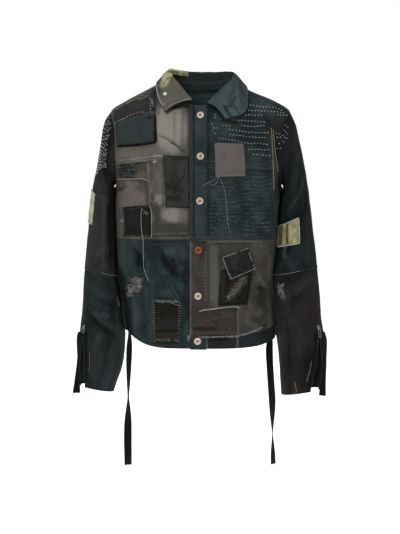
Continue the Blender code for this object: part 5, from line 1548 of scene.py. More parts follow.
            (150, 0.52, 168, 0.6, 1.8, Dye.TEAL, 0.7, 0.1, 0.1)),
        unit=COLLAR_UNIT),
    "collar_stand": Wash(Dye.NECK, Dye.TEAL_LIGHT, Dye.TEAL, blotch=0.5, worn=0.0),
    "patch_shoulder_yoke": Wash(Dye.CHARCOAL, Dye.CHARCOAL_LIGHT, Dye.CHARCOAL_DARK, blotch=0.2),
    "patch_shoulder_round": Wash(
        Dye.SLATE, Dye.TEAL_LIGHT, Dye.TEAL_DARK, blotch=0.28,
        marks=measured(
            Mark, 0, 4, (-120, -78, 6, 4, 0, Dye.JET, 0.8), (-155, -110, 26, 18, 0, Dye.SLATE_BLUE, 0.55),
            (-106, -110, 4, 40, 0, Dye.JET, 0.7), (-200, -115, 5, 30, 0, Dye.CHARCOAL, 0.7)),
        streaks=measured(Streak, 0, 5, (-195, -145.5, -108, -139.5, 2, Dye.JET, 0.85))),
    "patch_pocket_brown": Wash(
        Dye.POCKET, Dye.POCKET_PALE, Dye.POCKET_BROWN, blotch=0.32, worn=0.3,
        marks=measured(
            Mark, 0, 4, (-190, -238, 18, 12, 0, Dye.POCKET_BROWN, 0.75),
            (-140, -240, 14, 14, 0, Dye.POCKET_BROWN, 0.75), (-192, -250, 10, 4, 0, Dye.OLIVE_DARK, 0.6),
            # (-150, -230) is a dark band painted as the shadow under the frayed top edge.
            (-152, -272, 18, 14, 0, Dye.POCKET_PALE, 0.55), (-150, -230, 18, 4, 0, Dye.WASHED_DARK, 0.6)),
        streaks=measured(Streak, 0, 5, (-131.5, -228, -129, -286, 1.4, Dye.POCKET_BROWN, 0.6, 0.0, 1.0))),
    "patch_chest_charcoal": Wash(
        Dye.CHARCOAL_WARM, Dye.CHARCOAL_LIGHT, Dye.CHARCOAL_DARK, blotch=0.3,
        marks=measured(
            Mark, 0, 4, (-62, -250, 16, 16, 0, Dye.MOSS_BLACK, 0.6, 0.8),
            (-52, -274, 12, 10, 0, Dye.MOSS_BLACK, 0.5, 0.8), (-80, -240, 4, 6, 0, Dye.JET, 0.6),
            (-40, -176, 16, 4, 0, Dye.JET, 0.5)),
        streaks=measured(
            Streak, 0, 5, (-36, -215, -50, -234, 1.4, Dye.JET, 0.7),
            (-30, -190, -30, -285, 1.4, Dye.CHARCOAL_LIGHT, 0.5))),
    "patch_frayed_black": Wash(
        Dye.BLACK, Dye.CHARCOAL, Dye.JET, blotch=0.35,
        marks=measured(Mark, 0, 4, (-130, -330, 7, 30, 0, Dye.UMBER, 0.7))),
    "patch_hip_black": Wash(
        Dye.MOSS_BLACK, Dye.OLIVE_DARK, Dye.JET, blotch=0.22,
        marks=measured(
            Mark, 0, 4, (-80, -606, 32, 12, 0, Dye.OLIVE_DARK, 0.6, 0.2),
            (-80, -575, 30, 14, 0, Dye.SLATE, 0.22)),
        streaks=measured(Streak, 0, 5, (-108, -594, -52, -592, 1.8, Dye.JET, 0.8))),
    "patch_chest_taupe": Wash(
        Dye.TAUPE, Dye.POCKET_PALE, Dye.TAUPE_DARK, blotch=0.2,
        marks=measured(Mark, 0, 4, (96, -160, 6, 22, 0, Dye.TAUPE_ROSE, 0.6))),
    "patch_hip_darned": Wash(
        Dye.MOSS_BLACK, Dye.UMBER_LIGHT, Dye.JET, blotch=0.3,
        marks=measured(
            Mark, 0, 4, (56, -480, 6, 30, 0, Dye.OLIVE_DARK, 0.8),
            (88, -488, 14, 30, -34, Dye.OLIVE_DARK, 0.85, 0.2),
            (56, -515, 10, 10, 0, Dye.UMBER_RED, 0.5))),
    "patch_hip_tilted": Wash(
        Dye.CHARCOAL_DARK, Dye.OLIVE_DARK, Dye.MOSS_BLACK, blotch=0.35,
        marks=measured(
            Mark, 0, 4, (90, -408, 3, 2, 0, Dye.REDDISH, 0.6), (94, -452, 22, 10, 0, Dye.TEAL, 0.5),
            (84, -415, 16, 14, 0, Dye.CHARCOAL_LIGHT, 0.4))),
    "patch_hem_brown": Wash(
        Dye.BROWN, Dye.BROWN_GREY, Dye.UMBER_LIGHT, blotch=0.45, worn=0.5,
        marks=measured(
            Mark, 0, 4, (26, -566, 16, 10, 25, Dye.REDDISH, 0.45), (72, -572, 12, 8, 0, Dye.REDDISH, 0.3),
            (40, -596, 40, 4, 0, Dye.BROWN_GREY, 0.8), (12, -587, 34, 4, 0, Dye.UMBER, 0.9),
            (66, -552, 14, 8, 0, Dye.BROWN_GREY, 0.7)),
        streaks=measured(
            Streak, 0, 5, (20, -560, 50, -580, 1.6, Dye.UMBER, 0.7),
            (40, -556, 28, -574, 1.4, Dye.OLIVE, 0.4))),
    "black_trim": Wash(Dye.JET, Dye.BLACK, Dye.JET, blotch=0.4, worn=0.0)}


class SewnPatch(NamedTuple):
    """A patch of the fronts: corners across and up, clockwise from the upper inner left."""

    name: str
    corners: tuple[tuple[float, float], ...]
    slot: str
    finish: ClothFinish
    panel: str
    flat: tuple[float, float]
    second: bool = False
    rounding: float = 0.1
    ragged: float = 0.006


PATCHES = (
    SewnPatch(
        "patch_shoulder_yoke", route((-200, -66), (-108.5, -12.5), (-106.5, -58), (-204, -85)),
        "charcoal", TWILL, "right_front_upper", (0.115, 0.036), rounding=0.04),
    SewnPatch(
        "patch_shoulder_round", route((-207, -87.2), (-107.5, -60), (-101.2, -138.5), (-201, -147.5)),
        "slate", DENIM, "right_front_upper", (0.115, 0.072), rounding=0.36),
    SewnPatch(
        "patch_pocket_brown", route((-201, -227), (-129, -224.2), (-126.7, -290.5), (-198.5, -295.2)),
        "taupe", DENIM, "right_front_upper", (0.098, 0.072), rounding=0.08),
    SewnPatch(
        "patch_chest_charcoal", route((-85.5, -170.1), (-26.5, -172.7), (-26.2, -294.1), (-80, -292.9)),
        "charcoal", TWILL, "right_front_upper", (0.058, 0.122), rounding=0.2),
    SewnPatch(
        "patch_frayed_black", route((-183.2, -297.7), (-118.2, -292.5), (-116.8, -361), (-183.4, -364)),
        "black", COTTON, "right_front_upper", (0.074, 0.07), rounding=0.1, ragged=0.03),
    SewnPatch(
        "patch_hip_black", route((-110.1, -520.1), (-47.2, -524.9), (-50.9, -621.5), (-109.5, -624)),
        "black", COTTON, "right_front_lower", (0.063, 0.098), rounding=0.06),
    SewnPatch(
        "patch_chest_taupe", route((37.3, -139.1), (104.9, -141), (109.7, -218.2), (39.7, -220.8)),
        "taupe", COTTON, "left_front_upper", (0.072, 0.08), rounding=0.07),
    SewnPatch(
        "patch_hip_darned", route((51.9, -444.8), (127.4, -452.9), (115.2, -529), (44.7, -530)), "black",
        COTTON, "left_front_lower", (0.076, 0.081), rounding=0.1, ragged=0.014),
    SewnPatch(
        "patch_hip_tilted", route((51.9, -413.4), (117.5, -389.7), (134.9, -443.4), (73.7, -469.2)),
        "black", TWILL, "left_front_lower", (0.072, 0.06), second=True, rounding=0.08),
    SewnPatch(
        "patch_hem_brown", route((-13.3, -543.9), (90.9, -536.1), (91.1, -600.5), (-16.9, -604)), "brown",
        DENIM, "left_front_lower", (0.108, 0.065), rounding=0.05, ragged=0.01))
CORNERS = {patch.name: patch.corners for patch in PATCHES}
PATCH_EDGE, PATCH_PUFF, PUFF_RUN = 0.0004, 0.0007, 0.008
COVER_REACH, COVER_RUN, SLEEVE_COVER_RUN = 0.0004, 0.001, 0.0012
CLIMB, CLIMB_START, CLIMB_RUN = 0.0016, -0.395, 0.03


def lap_dip(x: Array) -> Array:
    """How far the right front sinks on its way under the button band."""
    return (CLOTH + SEAM_GAP * 1.5) * ease((x - BAND_RIGHT + LAP_REACH) / LAP_RUN)


class Fronts:
    """The outer surface of both fronts and of everything sewn flat on them."""

    def __init__(self, torso: TorsoForm) -> None:
        """Keep the torso."""
        self.torso = torso

    def lap(self, x: Array) -> Array:
        """How far the right front dips under the button band, where it shows."""
        return np.where(x < BAND_RIGHT, lap_dip(x), 0.0)

    def inside(self, corners: Sequence[tuple[float, float]], x: Array, z: Array) -> Array:
        """Distance inside a four-cornered patch, in metres."""
        reach = np.full(np.broadcast(x, z).shape, np.inf)
        for (x1, z1), (x2, z2) in zip(corners, corners[1:] + corners[:1]):
            across = (z2 - z1) * (x - x1) - (x2 - x1) * (z - z1)
            reach = np.minimum(reach, across / math.hypot(x2 - x1, z2 - z1))
        return reach

    def climb(self, z: Array) -> Array:
        """How much higher the upper one of two crossing patches lies."""
        return CLIMB * ease((CLIMB_START - z) / CLIMB_RUN)

    def cover(self, x: Array, z: Array) -> Array:
        """Height of the patches above the fronts."""
        top = np.zeros(np.broadcast(x, z).shape)
        for patch in PATCHES:
            depth = self.inside(patch.corners, x, z)
            rise = PATCH_CLOTH + PATCH_EDGE + PATCH_PUFF * ease(depth / PUFF_RUN)
            rise = rise + (self.climb(z) if patch.second else 0.0)
            top = np.maximum(top, rise * ease((depth + COVER_REACH) / COVER_RUN))
        return top

    def place(self, x: Array, z: Array, lift: Array | float = 0.0) -> Array:
        """A place above whatever lies outermost there."""
        x, z = np.broadcast_arrays(x, z)
        height = lift + self.cover(x, z) - self.lap(x)
        return self.torso.cloth(self.torso.front_angle(x, z), z, height)


# ---------------------------------------------------------------- body of the jacket
@dataclass
class BodyCloth:
    """Fronts, button band, hem band and back."""

    torso: TorsoForm
    row: float = 0.0021
    columns: int = 84
    clouds: Clouds = field(default_factory=lambda: Clouds(5))

    def neck_half(self, height: Array, lowest: float) -> Array:
        """Half width of the neck hole at a height."""
        drop = np.clip((NECK_SIDE - height) / (NECK_SIDE - lowest), 0.0, 1.0)
        return NECK_HALF * np.sqrt(1 - drop * drop)

    def hem_height(self, angle: Array) -> Array:
        """Height of the hem."""
        side = np.where(np.sin(angle) < 0, HEM_SIDE[-1], HEM_SIDE[1])
        centre = np.where(np.cos(angle) > 0, HEM_FRONT, HEM_BACK)
        return centre + (side - centre) * np.abs(np.sin(angle)) ** HEM_CURVE

    def seam(self, side: int, back: bool) -> Callable[[Array], Array]:
        """Angle of a side seam as a function of height."""
        return lambda height: side * self.torso.seam_angle(side, np.minimum(height, ARMPIT), back)

    def lapped(self, angle: Array, height: Array) -> Array:
        """How far the right front lies below the smooth torso."""
        return lap_dip(self.torso.point(angle, height)[..., 0])

    def cut(self, name: str, angle: Array, height: Array, finish: ClothFinish, slot: str,
            flat: tuple[float, float], area: float | None, held: str = "hung",
            lapped: bool = False, keep: Array | None = None) -> bpy.types.Object:
        """Make one panel on the torso.

        Args:
            name: The solid that it stands for.
            angle: Angles of its grid.
            height: Heights of its grid.
            finish: Its cloth.
            slot: Its material slot; not used.
            flat: Width and length of its cut; not used.
            area: Area of its cut; not used.
            held: How it is held; not used.
            lapped: Whether it dips under the button band.
            keep: Which cells are kept.

        Returns:
            The panel.
        """
        lift = -self.lapped(angle, height) if lapped else np.zeros(angle.shape)
        points = self.torso.cloth(angle, height, lift)
        rise = self.torso.relief(angle, height)
        around = self.torso.around(half_turn(angle))
        dye = WASHES[name].colour(points[..., 0], height, rise, self.clouds)
        weight = ease((np.abs(np.sin(angle)) - 0.8) / 0.15)[..., None]
        side_dye = WASHES[name].colour(around, height, rise, self.clouds)
        dye = dye * (1 - weight) + side_dye * weight
        piece = ClothCut(name + "_cloth", name, slot, finish, points, dye,
                         self.torso.outward(angle, height), flat, held, (), area, keep=keep,
                         rim_only=True)
        return piece.make()

    def upper_front(self, side: Side) -> None:
        """One front from the waist seam to the shoulder."""
        sign = side.value
        head = NECK_SIDE
        heights = np.arange(WAIST + SEAM_GAP / 2, head, self.row)
        heights = np.append(heights, head)
        edge = UNDERLAP if side is Side.RIGHT else BAND_LEFT + SEAM_GAP / 2
        neck = sign * np.maximum(self.neck_half(heights, NECK_FRONT), 0.004)
        neck = neck if side is Side.RIGHT else np.maximum(neck, edge)
        first = np.where(heights > NECK_FRONT, neck, edge)
        start = self.torso.front_angle(first, heights)
        end = sign * self.torso.seam_angle(sign, heights, False)
        share = np.linspace(0, 1, self.columns)
        angle = start[:, None] + (end - start)[:, None] * share
        height = np.broadcast_to(heights[:, None], angle.shape)
        name = f"{side.word}_front_upper"
        slot = "washed" if side is Side.RIGHT else "teal"
        held = "gathered" if side is Side.LEFT else "hung"
        flat = (0.31, 0.42) if side is Side.RIGHT else (0.275, 0.41)
        area = 0.092 if side is Side.RIGHT else 0.088
        self.cut(name, angle, height, DENIM, slot, flat, area, held, side is Side.RIGHT)

    def skirt(self, name: str, first: Callable[[Array], Array], last: Callable[[Array], Array],
              rows: int, columns: int, slot: str, finish: ClothFinish, flat: tuple[float, float],
              foot_rise: float = 0.0, lapped: bool = False) -> None:
        """A panel between the waist seam and the hem.

        Args:
            name: The solid that it stands for.
            first: Angle of one upright edge for a height.
            last: Angle of the other one.
            rows: Rows of its grid.
            columns: Columns of its grid.
            slot: Its material slot; not used.
            finish: Its cloth.
            flat: Width and length of its cut; not used.
            foot_rise: How far above the hem it ends.
            lapped: Whether it dips under the button band.
        """
        share = np.linspace(0, 1, rows)[:, None]
        part = np.linspace(0, 1, columns)[None, :]
        level = WAIST + (HEM_FRONT - WAIST) * (1 - share)
        angle = first(level) + (last(level) - first(level)) * part
        foot = self.hem_height(angle) + foot_rise
        height = foot + (WAIST - SEAM_GAP / 2 - foot) * share
        angle = first(height) + (last(height) - first(height)) * part
        self.cut(name, angle, height, finish, slot, flat, None, lapped=lapped)

    def hem_band(self) -> None:
        """The left front's hem band."""
        start = self.torso.front_angle(np.array(BAND_LEFT + SEAM_GAP / 2), np.array(HEM_FRONT))
        end = self.seam(1, False)(np.array(HEM_FRONT))
        angle = np.broadcast_to(start + (end - start) * np.linspace(0, 1, 96), (16, 96))
        rise = (HEM_BAND - SEAM_GAP) * np.linspace(0, 1, 16)[:, None]
        height = self.hem_height(angle) + rise
        self.cut("left_hem_band", angle, height, DENIM, "teal", (0.26, 0.034), None)

    def band(self, name: str, low: float, high: float, slot: str, finish: ClothFinish,
             length: float) -> None:
        """One stretch of the button band."""
        heights = np.arange(low, high, 0.002)
        heights = np.append(heights, high)[:, None]
        x = np.linspace(BAND_RIGHT, BAND_LEFT - SEAM_GAP / 2, 20)[None, :]
        angle = self.torso.front_angle(np.broadcast_to(x, (len(heights), 20)), heights)
        height = np.broadcast_to(heights, angle.shape)
        self.cut(name, angle, height, finish, slot, (0.041, length), None)

    def upper_back(self) -> None:
        """The back from the waist seam to the neck."""
        heights = np.append(np.arange(WAIST + SEAM_GAP / 2, NECK_SIDE, 0.003), NECK_SIDE)
        gap = np.maximum(self.neck_half(heights, NECK_BACK), BACK_NECK_FLAT)
        gap = np.where(heights > NECK_BACK, gap, BACK_NECK_FLAT)
        half = 60
        rows = []
        for sign in (-1, 1):
            edge = sign * self.torso.seam_angle(sign, heights, True)
            neck = sign * (math.pi - np.abs(self.torso.front_angle(sign * gap, heights)))
            share = np.linspace(0, 1, half)
            turns = edge[:, None] + (neck - edge)[:, None] * share
            rows.append(turns if sign < 0 else turns[:, ::-1])
        angle = np.concatenate(rows, 1)
        height = np.broadcast_to(heights[:, None], angle.shape)
        keep = np.ones((len(heights) - 1, 2 * half - 1), bool)
        keep[heights[:-1] >= NECK_BACK - 0.001, half - 1] = False
        self.cut("back_upper", angle, height, DENIM, "teal", (0.5, 0.4), 0.17, keep=keep)

    def build(self) -> None:
        """Make all panels of the body."""
        self.upper_front(Side.RIGHT)
        self.upper_front(Side.LEFT)
        angle_at = self.torso.front_angle
        edge = BAND_LEFT + SEAM_GAP / 2
        self.skirt("right_front_lower", lambda z: angle_at(np.full(np.shape(z), UNDERLAP), z),
                   self.seam(-1, False), 116, 88, "teal", DENIM, (0.28, 0.262), lapped=True)
        self.skirt("left_front_lower", lambda z: angle_at(np.full(np.shape(z), edge), z),
                   self.seam(1, False), 104, 80, "olive", DENIM, (0.255, 0.23), HEM_BAND)
        self.hem_band()
        self.band("button_band_upper", WAIST + SEAM_GAP / 2, NECK_FRONT - 2 * SEAM_GAP, "teal",
                  DENIM, 0.325)
        self.band("button_band_lower", HEM_FRONT - 0.002, WAIST - SEAM_GAP / 2, "brown", DENIM,
                  0.268)
        self.upper_back()
        self.skirt("back_lower", lambda z: -math.tau + np.abs(self.seam(1, True)(z)),
                   lambda z: -np.abs(self.seam(-1, True)(z)), 84, 120, "teal", DENIM,
                   (0.48, 0.25))


@dataclass
class PatchWork:
    """The patches of the fronts."""

    torso: TorsoForm
    fronts: Fronts
    spacing: float = 0.0019
    clouds: Clouds = field(default_factory=lambda: Clouds(8))

    def rounded(self, u: Array, v: Array, radius: float) -> tuple[Array, Array]:
        """Round the corners of a square from -1 to 1."""
        over_u = np.clip((np.abs(u) - 1 + radius) / radius, 0, None)
        over_v = np.clip((np.abs(v) - 1 + radius) / radius, 0, None)
        round_u = over_u * np.sqrt(np.clip(1 - over_v ** 2 / 2, 0, 1))
        round_v = over_v * np.sqrt(np.clip(1 - over_u ** 2 / 2, 0, 1))
        both = (over_u > 0) & (over_v > 0)
        new_u = np.where(both, np.sign(u) * (1 - radius + radius * round_u), u)
        new_v = np.where(both, np.sign(v) * (1 - radius + radius * round_v), v)
        return new_u, new_v

    def build(self) -> None:
        """Make all patches."""
        for patch in PATCHES:
            self.sew_on(patch)

    def sew_on(self, patch: SewnPatch) -> None:
        """Make one patch."""
        wide, long = patch.flat
        columns, rows = round(wide / self.spacing) + 2, round(long / self.spacing) + 2
        u, v = np.meshgrid(np.linspace(-1, 1, columns), np.linspace(-1, 1, rows))
        round_u, round_v = self.rounded(u, v, max(patch.rounding, 0.02))
        wobble = patch.ragged * self.clouds.layered(u * 0.09 + wide, v * 0.11 + long, 0.03, 3)
        round_u = round_u + wobble * np.abs(u) ** 3
        round_v = round_v + wobble * np.abs(v) ** 3
        over, down = (round_u + 1) / 2, (round_v + 1) / 2
        corners = [(self.torso.front_angle(np.array(x), np.array(z)), z) for x, z in patch.corners]
        angle, height = ((corners[0][axis] * (1 - over) + corners[1][axis] * over) * (1 - down)
                         + (corners[3][axis] * (1 - over) + corners[2][axis] * over) * down
                         for axis in (0, 1))
        x = self.torso.point(angle, height)[..., 0]
        edge = np.minimum((1 - np.abs(u)) * wide / 2, (1 - np.abs(v)) * long / 2)
        own = 0.00025 * self.clouds.layered(x, height, 0.02) * ease(edge / 0.004)
        lift = PATCH_CLOTH + PATCH_EDGE + PATCH_PUFF * ease(edge / PUFF_RUN) + own - self.fronts.lap(x)
        if patch.second:
            lift = lift + self.fronts.climb(height)
        points = self.torso.cloth(angle, height, lift)
        dye = WASHES[patch.name].colour(x, height, own * 4, self.clouds)
        ClothCut(patch.name + "_cloth", patch.name, patch.slot, patch.finish, points, dye,
                 self.torso.outward(angle, height), patch.flat, "laid",
                 (patch.panel + "_cloth",), wall=PATCH_CLOTH).make()


# ---------------------------------------------------------------- sleeves and cuffs
FLECK_ROWS, FLECK_STEP = 38, 0.0066
CAMO_HALF, CAMO_WORN, HATCH_TURN = (0.05, 0.045), 0.0035, 1150
LEFT_HEAD_ROWS = (
    ((54, 0.003), (51, 0.034)), ((64, 0.003), (61, 0.04)), ((73, 0.003), (70, 0.04)),
    ((82, 0.003), (79, 0.03)))
GUSSET_END = {Side.RIGHT: 0.965, Side.LEFT: 0.94}
GUSSET_LAP, GUSSET_FOLD, GUSSET_TURN, GUSSET_DEPTH = 0.17, 0.0006, 19, 0.0037
TOOTH_PITCH, TOOTH_RISE, TOOTH_ROW = 0.0024, 0.0004, (-2.4, 0.0, 1.4)


@dataclass
class Sleeve:
    """One sleeve with its cuff, zip and patch."""

    side: Side
    form: SleeveForm
    slots: tuple[str, str]
    patch: tuple[float, float, float, float]
    flap: tuple[tuple[float, float, float], ...]
    columns: int = 128
    clouds: Clouds = field(default_factory=lambda: Clouds(15))

    def place(self, around: Array, along: Array, lift: Array | float = 0.0) -> Array:
        """A place above the sleeve or its patch, by degrees around and share along."""
        around, along = np.broadcast_arrays(around, along)
        along1, along2, around1, around2 = self.patch
        depth = np.minimum(np.minimum(along - along1, along2 - along) * SLEEVE_LENGTH,
                           np.minimum(around - around1, around2 - around) * SLEEVE_TURN / RADIAN)
        cover = (PATCH_CLOTH + PATCH_EDGE + PATCH_PUFF) * ease((depth + COVER_REACH) / SLEEVE_COVER_RUN)
        return self.form.cloth(np.radians(around), along, lift + cover)

    def slit(self, along: Array) -> tuple[Array, Array]:
        """Angles of the front and the back edge of the cuff's slit."""
        slider, middle = SLIDER_ALONG[self.side.value], SLIDER_AROUND[self.side.value]
        share = ease((along - slider) / (1 - slider))
        front = middle + SLIT_CLOSED + SLIT_FRONT[self.side.value] * share
        return np.radians(front), np.radians(middle - SLIT_CLOSED - SLIT_BACK * share)

    def cut(self, node: str, turn: Array, along: Array, lift: Array | float, wash: str,
            finish: ClothFinish, slot: str, flat: tuple[float, float], **options: object) -> None:
        """Make one cloth of the sleeve.

        Args:
            node: The solid that it stands for.
            turn: Angles of its grid.
            along: Shares along the sleeve of its grid.
            lift: Its height above the sleeve.
            wash: How it is dyed.
            finish: Its cloth.
            slot: Its material slot; not used.
            flat: Width and length of its cut; not used.
            **options: More facts about the cut.
        """
        turn, along = np.broadcast_arrays(turn, along)
        points = self.form.cloth(turn, along, lift)
        rise = self.form.relief(turn, along)
        unit = WASHES[wash].unit
        if unit == (1.0, 1.0):
            dye = WASHES[wash].colour(turn * SLEEVE_TURN, along * SLEEVE_LENGTH, rise * 0, self.clouds)
        else:
            degrees = np.degrees(half_turn(turn))
            dye = WASHES[wash].colour(degrees, along, rise, self.clouds)
        ClothCut(node + "_cloth", node, slot, finish, points, dye,
                 self.form.outward(turn, along), flat, **options).make()

    def build_cloth(self) -> None:
        """The two tubes, the gusset, both zip tapes and the patch."""
        word = self.side.word
        upper = np.linspace(HEAD_GAP, ELBOW - ELBOW_GAP, 126)[:, None]
        turns = np.linspace(0, math.tau, self.columns, endpoint=False)[None, :]
        finish = TWILL if self.side is Side.RIGHT else DENIM
        self.cut(f"sleeve_{word}_upper", turns, upper, 0.0, f"sleeve_{word}_upper", finish,
                 self.slots[0], (0.43, 0.43), closed=True, rim_only=True, area=0.14)
        lower = np.linspace(ELBOW + ELBOW_GAP, 1.0, 96)
        front, back = self.slit(lower)
        share = np.linspace(0, 1, self.columns)
        turn = front[:, None] + (back + math.tau - front)[:, None] * share
        keep = np.ones((95, self.columns), bool)
        keep[lower[:-1] >= SLIDER_ALONG[self.side.value] - 0.002, -1] = False
        self.cut(f"sleeve_{word}_lower", turn, lower[:, None], 0.0, f"sleeve_{word}_lower", DENIM,
                 self.slots[1], (0.38, 0.29), closed=True, keep=keep, rim_only=True)
        self.build_cuff(word)
        along1, along2, around1, around2 = self.patch
        rows, columns = 50, 60
        u, v = np.meshgrid(np.linspace(-1, 1, columns), np.linspace(-1, 1, rows))
        wobble = 0.02 * self.clouds.layered(u * 0.08, v * 0.08, 0.02, 3)
        around = (around1 + around2) / 2 + (around2 - around1) / 2 * (u + wobble * np.abs(u) ** 3)
        along = (along1 + along2) / 2 + (along2 - along1) / 2 * (v + wobble * np.abs(v) ** 3)
        edge = np.minimum(1 - np.abs(u), 1 - np.abs(v)) * CAMO_HALF[1]
        lift = PATCH_CLOTH + PATCH_EDGE + PATCH_PUFF * ease(edge / PUFF_RUN)
        turn = np.radians(around)
        points = self.form.cloth(turn, along, lift)
        dye = camouflage(u * CAMO_HALF[0], v * CAMO_HALF[1], self.side is Side.LEFT)
        if self.side is Side.RIGHT:
            hatch = ease(np.sin((u * CAMO_HALF[0] + v * CAMO_HALF[1]) * HATCH_TURN) * 2)
            dye = blend(dye, Dye.EDGE, 0.3 + 0.45 * hatch)
        dye = blend(dye, Dye.CAMO_EDGE, ease(1 - edge / CAMO_WORN) * 0.75)
        ClothCut(f"patch_sleeve_{word}_camo_cloth", f"patch_sleeve_{word}_camo", "camo", COTTON,
                 points, dye, self.form.outward(turn, along), (0.112, 0.075)
                 if self.side is Side.RIGHT else (0.068, 0.061), "laid",
                 (f"sleeve_{word}_upper_cloth",), wall=PATCH_CLOTH).make()

    def build_cuff(self, word: str) -> None:
        """The gusset, the sewn zip tape and the free tape with its turned-out flap."""
        slider = SLIDER_ALONG[self.side.value]
        along = np.linspace(slider + 0.012, GUSSET_END[self.side], 44)
        front, back = self.slit(along)
        share = np.linspace(0, 1, 24)
        turn = (back - GUSSET_LAP)[:, None] + (front - back + 2 * GUSSET_LAP)[:, None] * share
        fold = GUSSET_FOLD * np.sin(share * GUSSET_TURN)[None, :]
        self.cut(f"cuff_gusset_{word}", turn, along[:, None], fold - GUSSET_DEPTH, "black_trim", COTTON,
                 "black", (0.04, 0.1), wall=PATCH_CLOTH)
        along = np.linspace(slider + 0.016, 0.985, 60)
        front = self.slit(along)[0]
        turn = front[:, None] + np.linspace(-0.03, 0.16, 8)
        self.cut(f"zip_tape_{word}_front", turn, along[:, None], PATCH_LIFT + PATCH_CLOTH,
                 "black_trim", WEBBING, "black", (0.013, 0.105), wall=PATCH_CLOTH)
        end = self.flap[-1][0]
        along = np.linspace(slider + 0.016, end, 64)
        back = self.slit(np.minimum(along, 1.0))[1]
        stand_off, reach = read_table(self.flap, along)
        part = np.linspace(0, 1, 16)[None, :]
        turn = back[:, None] - reach[:, None] * part
        lift = PATCH_LIFT + PATCH_CLOTH + stand_off[:, None] * part ** 1.5
        self.cut(f"zip_flap_{word}", turn, along[:, None], lift, "black_trim", WEBBING, "black",
                 (0.024, 0.115), wall=PATCH_CLOTH)

    def teeth(self, strands: Strands) -> None:
        """Rows of zip teeth along both edges of the slit."""
        along = np.arange(SLIDER_ALONG[self.side.value] + 0.018, 0.982, TOOTH_PITCH)
        front, back = self.slit(along)
        for edge, way in ((front, 1), (back, -1)):
            turn = np.degrees(edge)[:, None] + way * np.array(TOOTH_ROW)[None, :]
            spots = np.broadcast_to(along[:, None], turn.shape)
            lift = np.full(turn.shape, PATCH_LIFT + PATCH_CLOTH + TOOTH_RISE)
            strands.lay(self.place, turn, spots, lift)

    def sew(self, kit: "ThreadKit") -> None:
        """Seam stitches, hem stitches and hand stitches of the sleeve."""
        sign = self.side.value
        needle = Needle(self.place, SLEEVE_UNIT, 40 + sign)
        around = np.linspace(-180, 180, 40)
        for along, bundle in ((ELBOW - 0.006, kit.dark), (ELBOW - 0.014, kit.dark),
                              (0.955, kit.dark), (0.987, kit.dark)):
            turns = around if along < 0.8 else np.linspace(70, 382, 34)
            needle.running(bundle, [(turn, along) for turn in turns], 0.0036, 0.0027, 0.0001)
        along1, along2, around1, around2 = self.patch
        corners = [(around1, along1), (around2, along1), (around2, along2), (around1, along2)]
        ring = corners + corners[:1]
        needle.overcast(kit.olive, ring, 0.003, 0.0012, 0.004)
        needle.fray(kit.camo, ring[::-1], 0.003, 0.0009)
        middle = (around1 + around2) / 2
        inset = [((turn + middle * 0.03) / 1.03, along) for turn, along in ring]
        needle.ravel(kit.edge, inset, 0.0005, 0.0009, 0.002, 1.2)
        if self.side is Side.RIGHT:
            self.sew_right(kit, needle)
        else:
            self.sew_left(kit, needle)

    def sew_right(self, kit: "ThreadKit", needle: Needle) -> None:
        """Close rows of flecks over the shoulder, a worn elbow seam and a zip edge."""
        for step in range(FLECK_ROWS):
            turns = np.arange(32.0 + 8.0 * (step % 2), 97.0, 16.0)
            turns = turns + needle.chance.normal(0, 1.2, len(turns))
            along = 0.014 + FLECK_STEP * step + needle.chance.normal(0, 0.0006, len(turns))
            keep = (turns < 60 + 270 * (along - 0.02)) & (along < 0.14 + 0.0022 * (92 - turns))
            start = np.stack((turns, along), -1)[keep] * needle.unit
            needle.sew(kit.fleck, start, start + np.array([0.0004, 0.003]), 0.0009)
        needle.ravel(kit.grey, [(94, 0.616), (130, 0.617), (166, 0.618)], 0.0004)
        needle.running(kit.teal, [(60, 0.622), (100, 0.624), (150, 0.622)], 0.004, 0.0026, 0.0002)
        needle.ravel(kit.teal, [(48, 0.905), (50, 0.94), (52, 0.972)], 0.0003)
        needle.ravel(kit.grey, [(64, 0.9), (66, 0.93), (67, 0.96)], 0.0003, thick=0.7)
        needle.tangle(kit.grey, (56, 0.975), (0.003, 0.003), 8, 0.004)
        needle.tangle(kit.grey, (150, 0.73), (0.002, 0.012), 8, 0.009, 1.9, 0.3)

    def sew_left(self, kit: "ThreadKit", needle: Needle) -> None:
        """A darned shoulder end, a ravelled elbow and the frayed spot below it."""
        for row in LEFT_HEAD_ROWS:
            needle.running(kit.fleck, row, 0.0088, 0.0038, 0.0005, 0.0, 0.72)
        needle.ravel(kit.grey, [(184, 0.616), (150, 0.617), (120, 0.617), (84, 0.614)], 0.0005)
        needle.tangle(kit.grey, (136, 0.672), (0.013, 0.013), 60, 0.009)
        needle.tangle(kit.grey, (128, 0.696), (0.01, 0.01), 30, 0.008)
        needle.tangle(kit.teal, (128, 0.53), (0.004, 0.02), 18, 0.012, 1.6, 0.4)
        needle.ravel(kit.grey, [(69, 0.914), (74, 0.945), (82, 0.974)], 0.0003)
        needle.ravel(kit.olive, [(112, 0.966), (106, 0.985), (104, 0.999)], 0.0003)


CAMO_BARS = (
    (0.0, Dye.CAMO_GREEN), (0.15, Dye.CAMO_GREEN), (0.2, Dye.CAMO_BROWN), (0.27, Dye.CAMO_BROWN),
    (0.32, Dye.CAMO_TAN), (0.46, Dye.CAMO_TAN), (0.5, Dye.CAMO_BROWN), (0.56, Dye.CAMO_BROWN),
    (0.6, Dye.CAMO_SAND), (0.74, Dye.CAMO_TAN), (0.8, Dye.CAMO_SAND), (0.92, Dye.CAMO_SAND),
    (1.0, Dye.CAMO_GREEN))


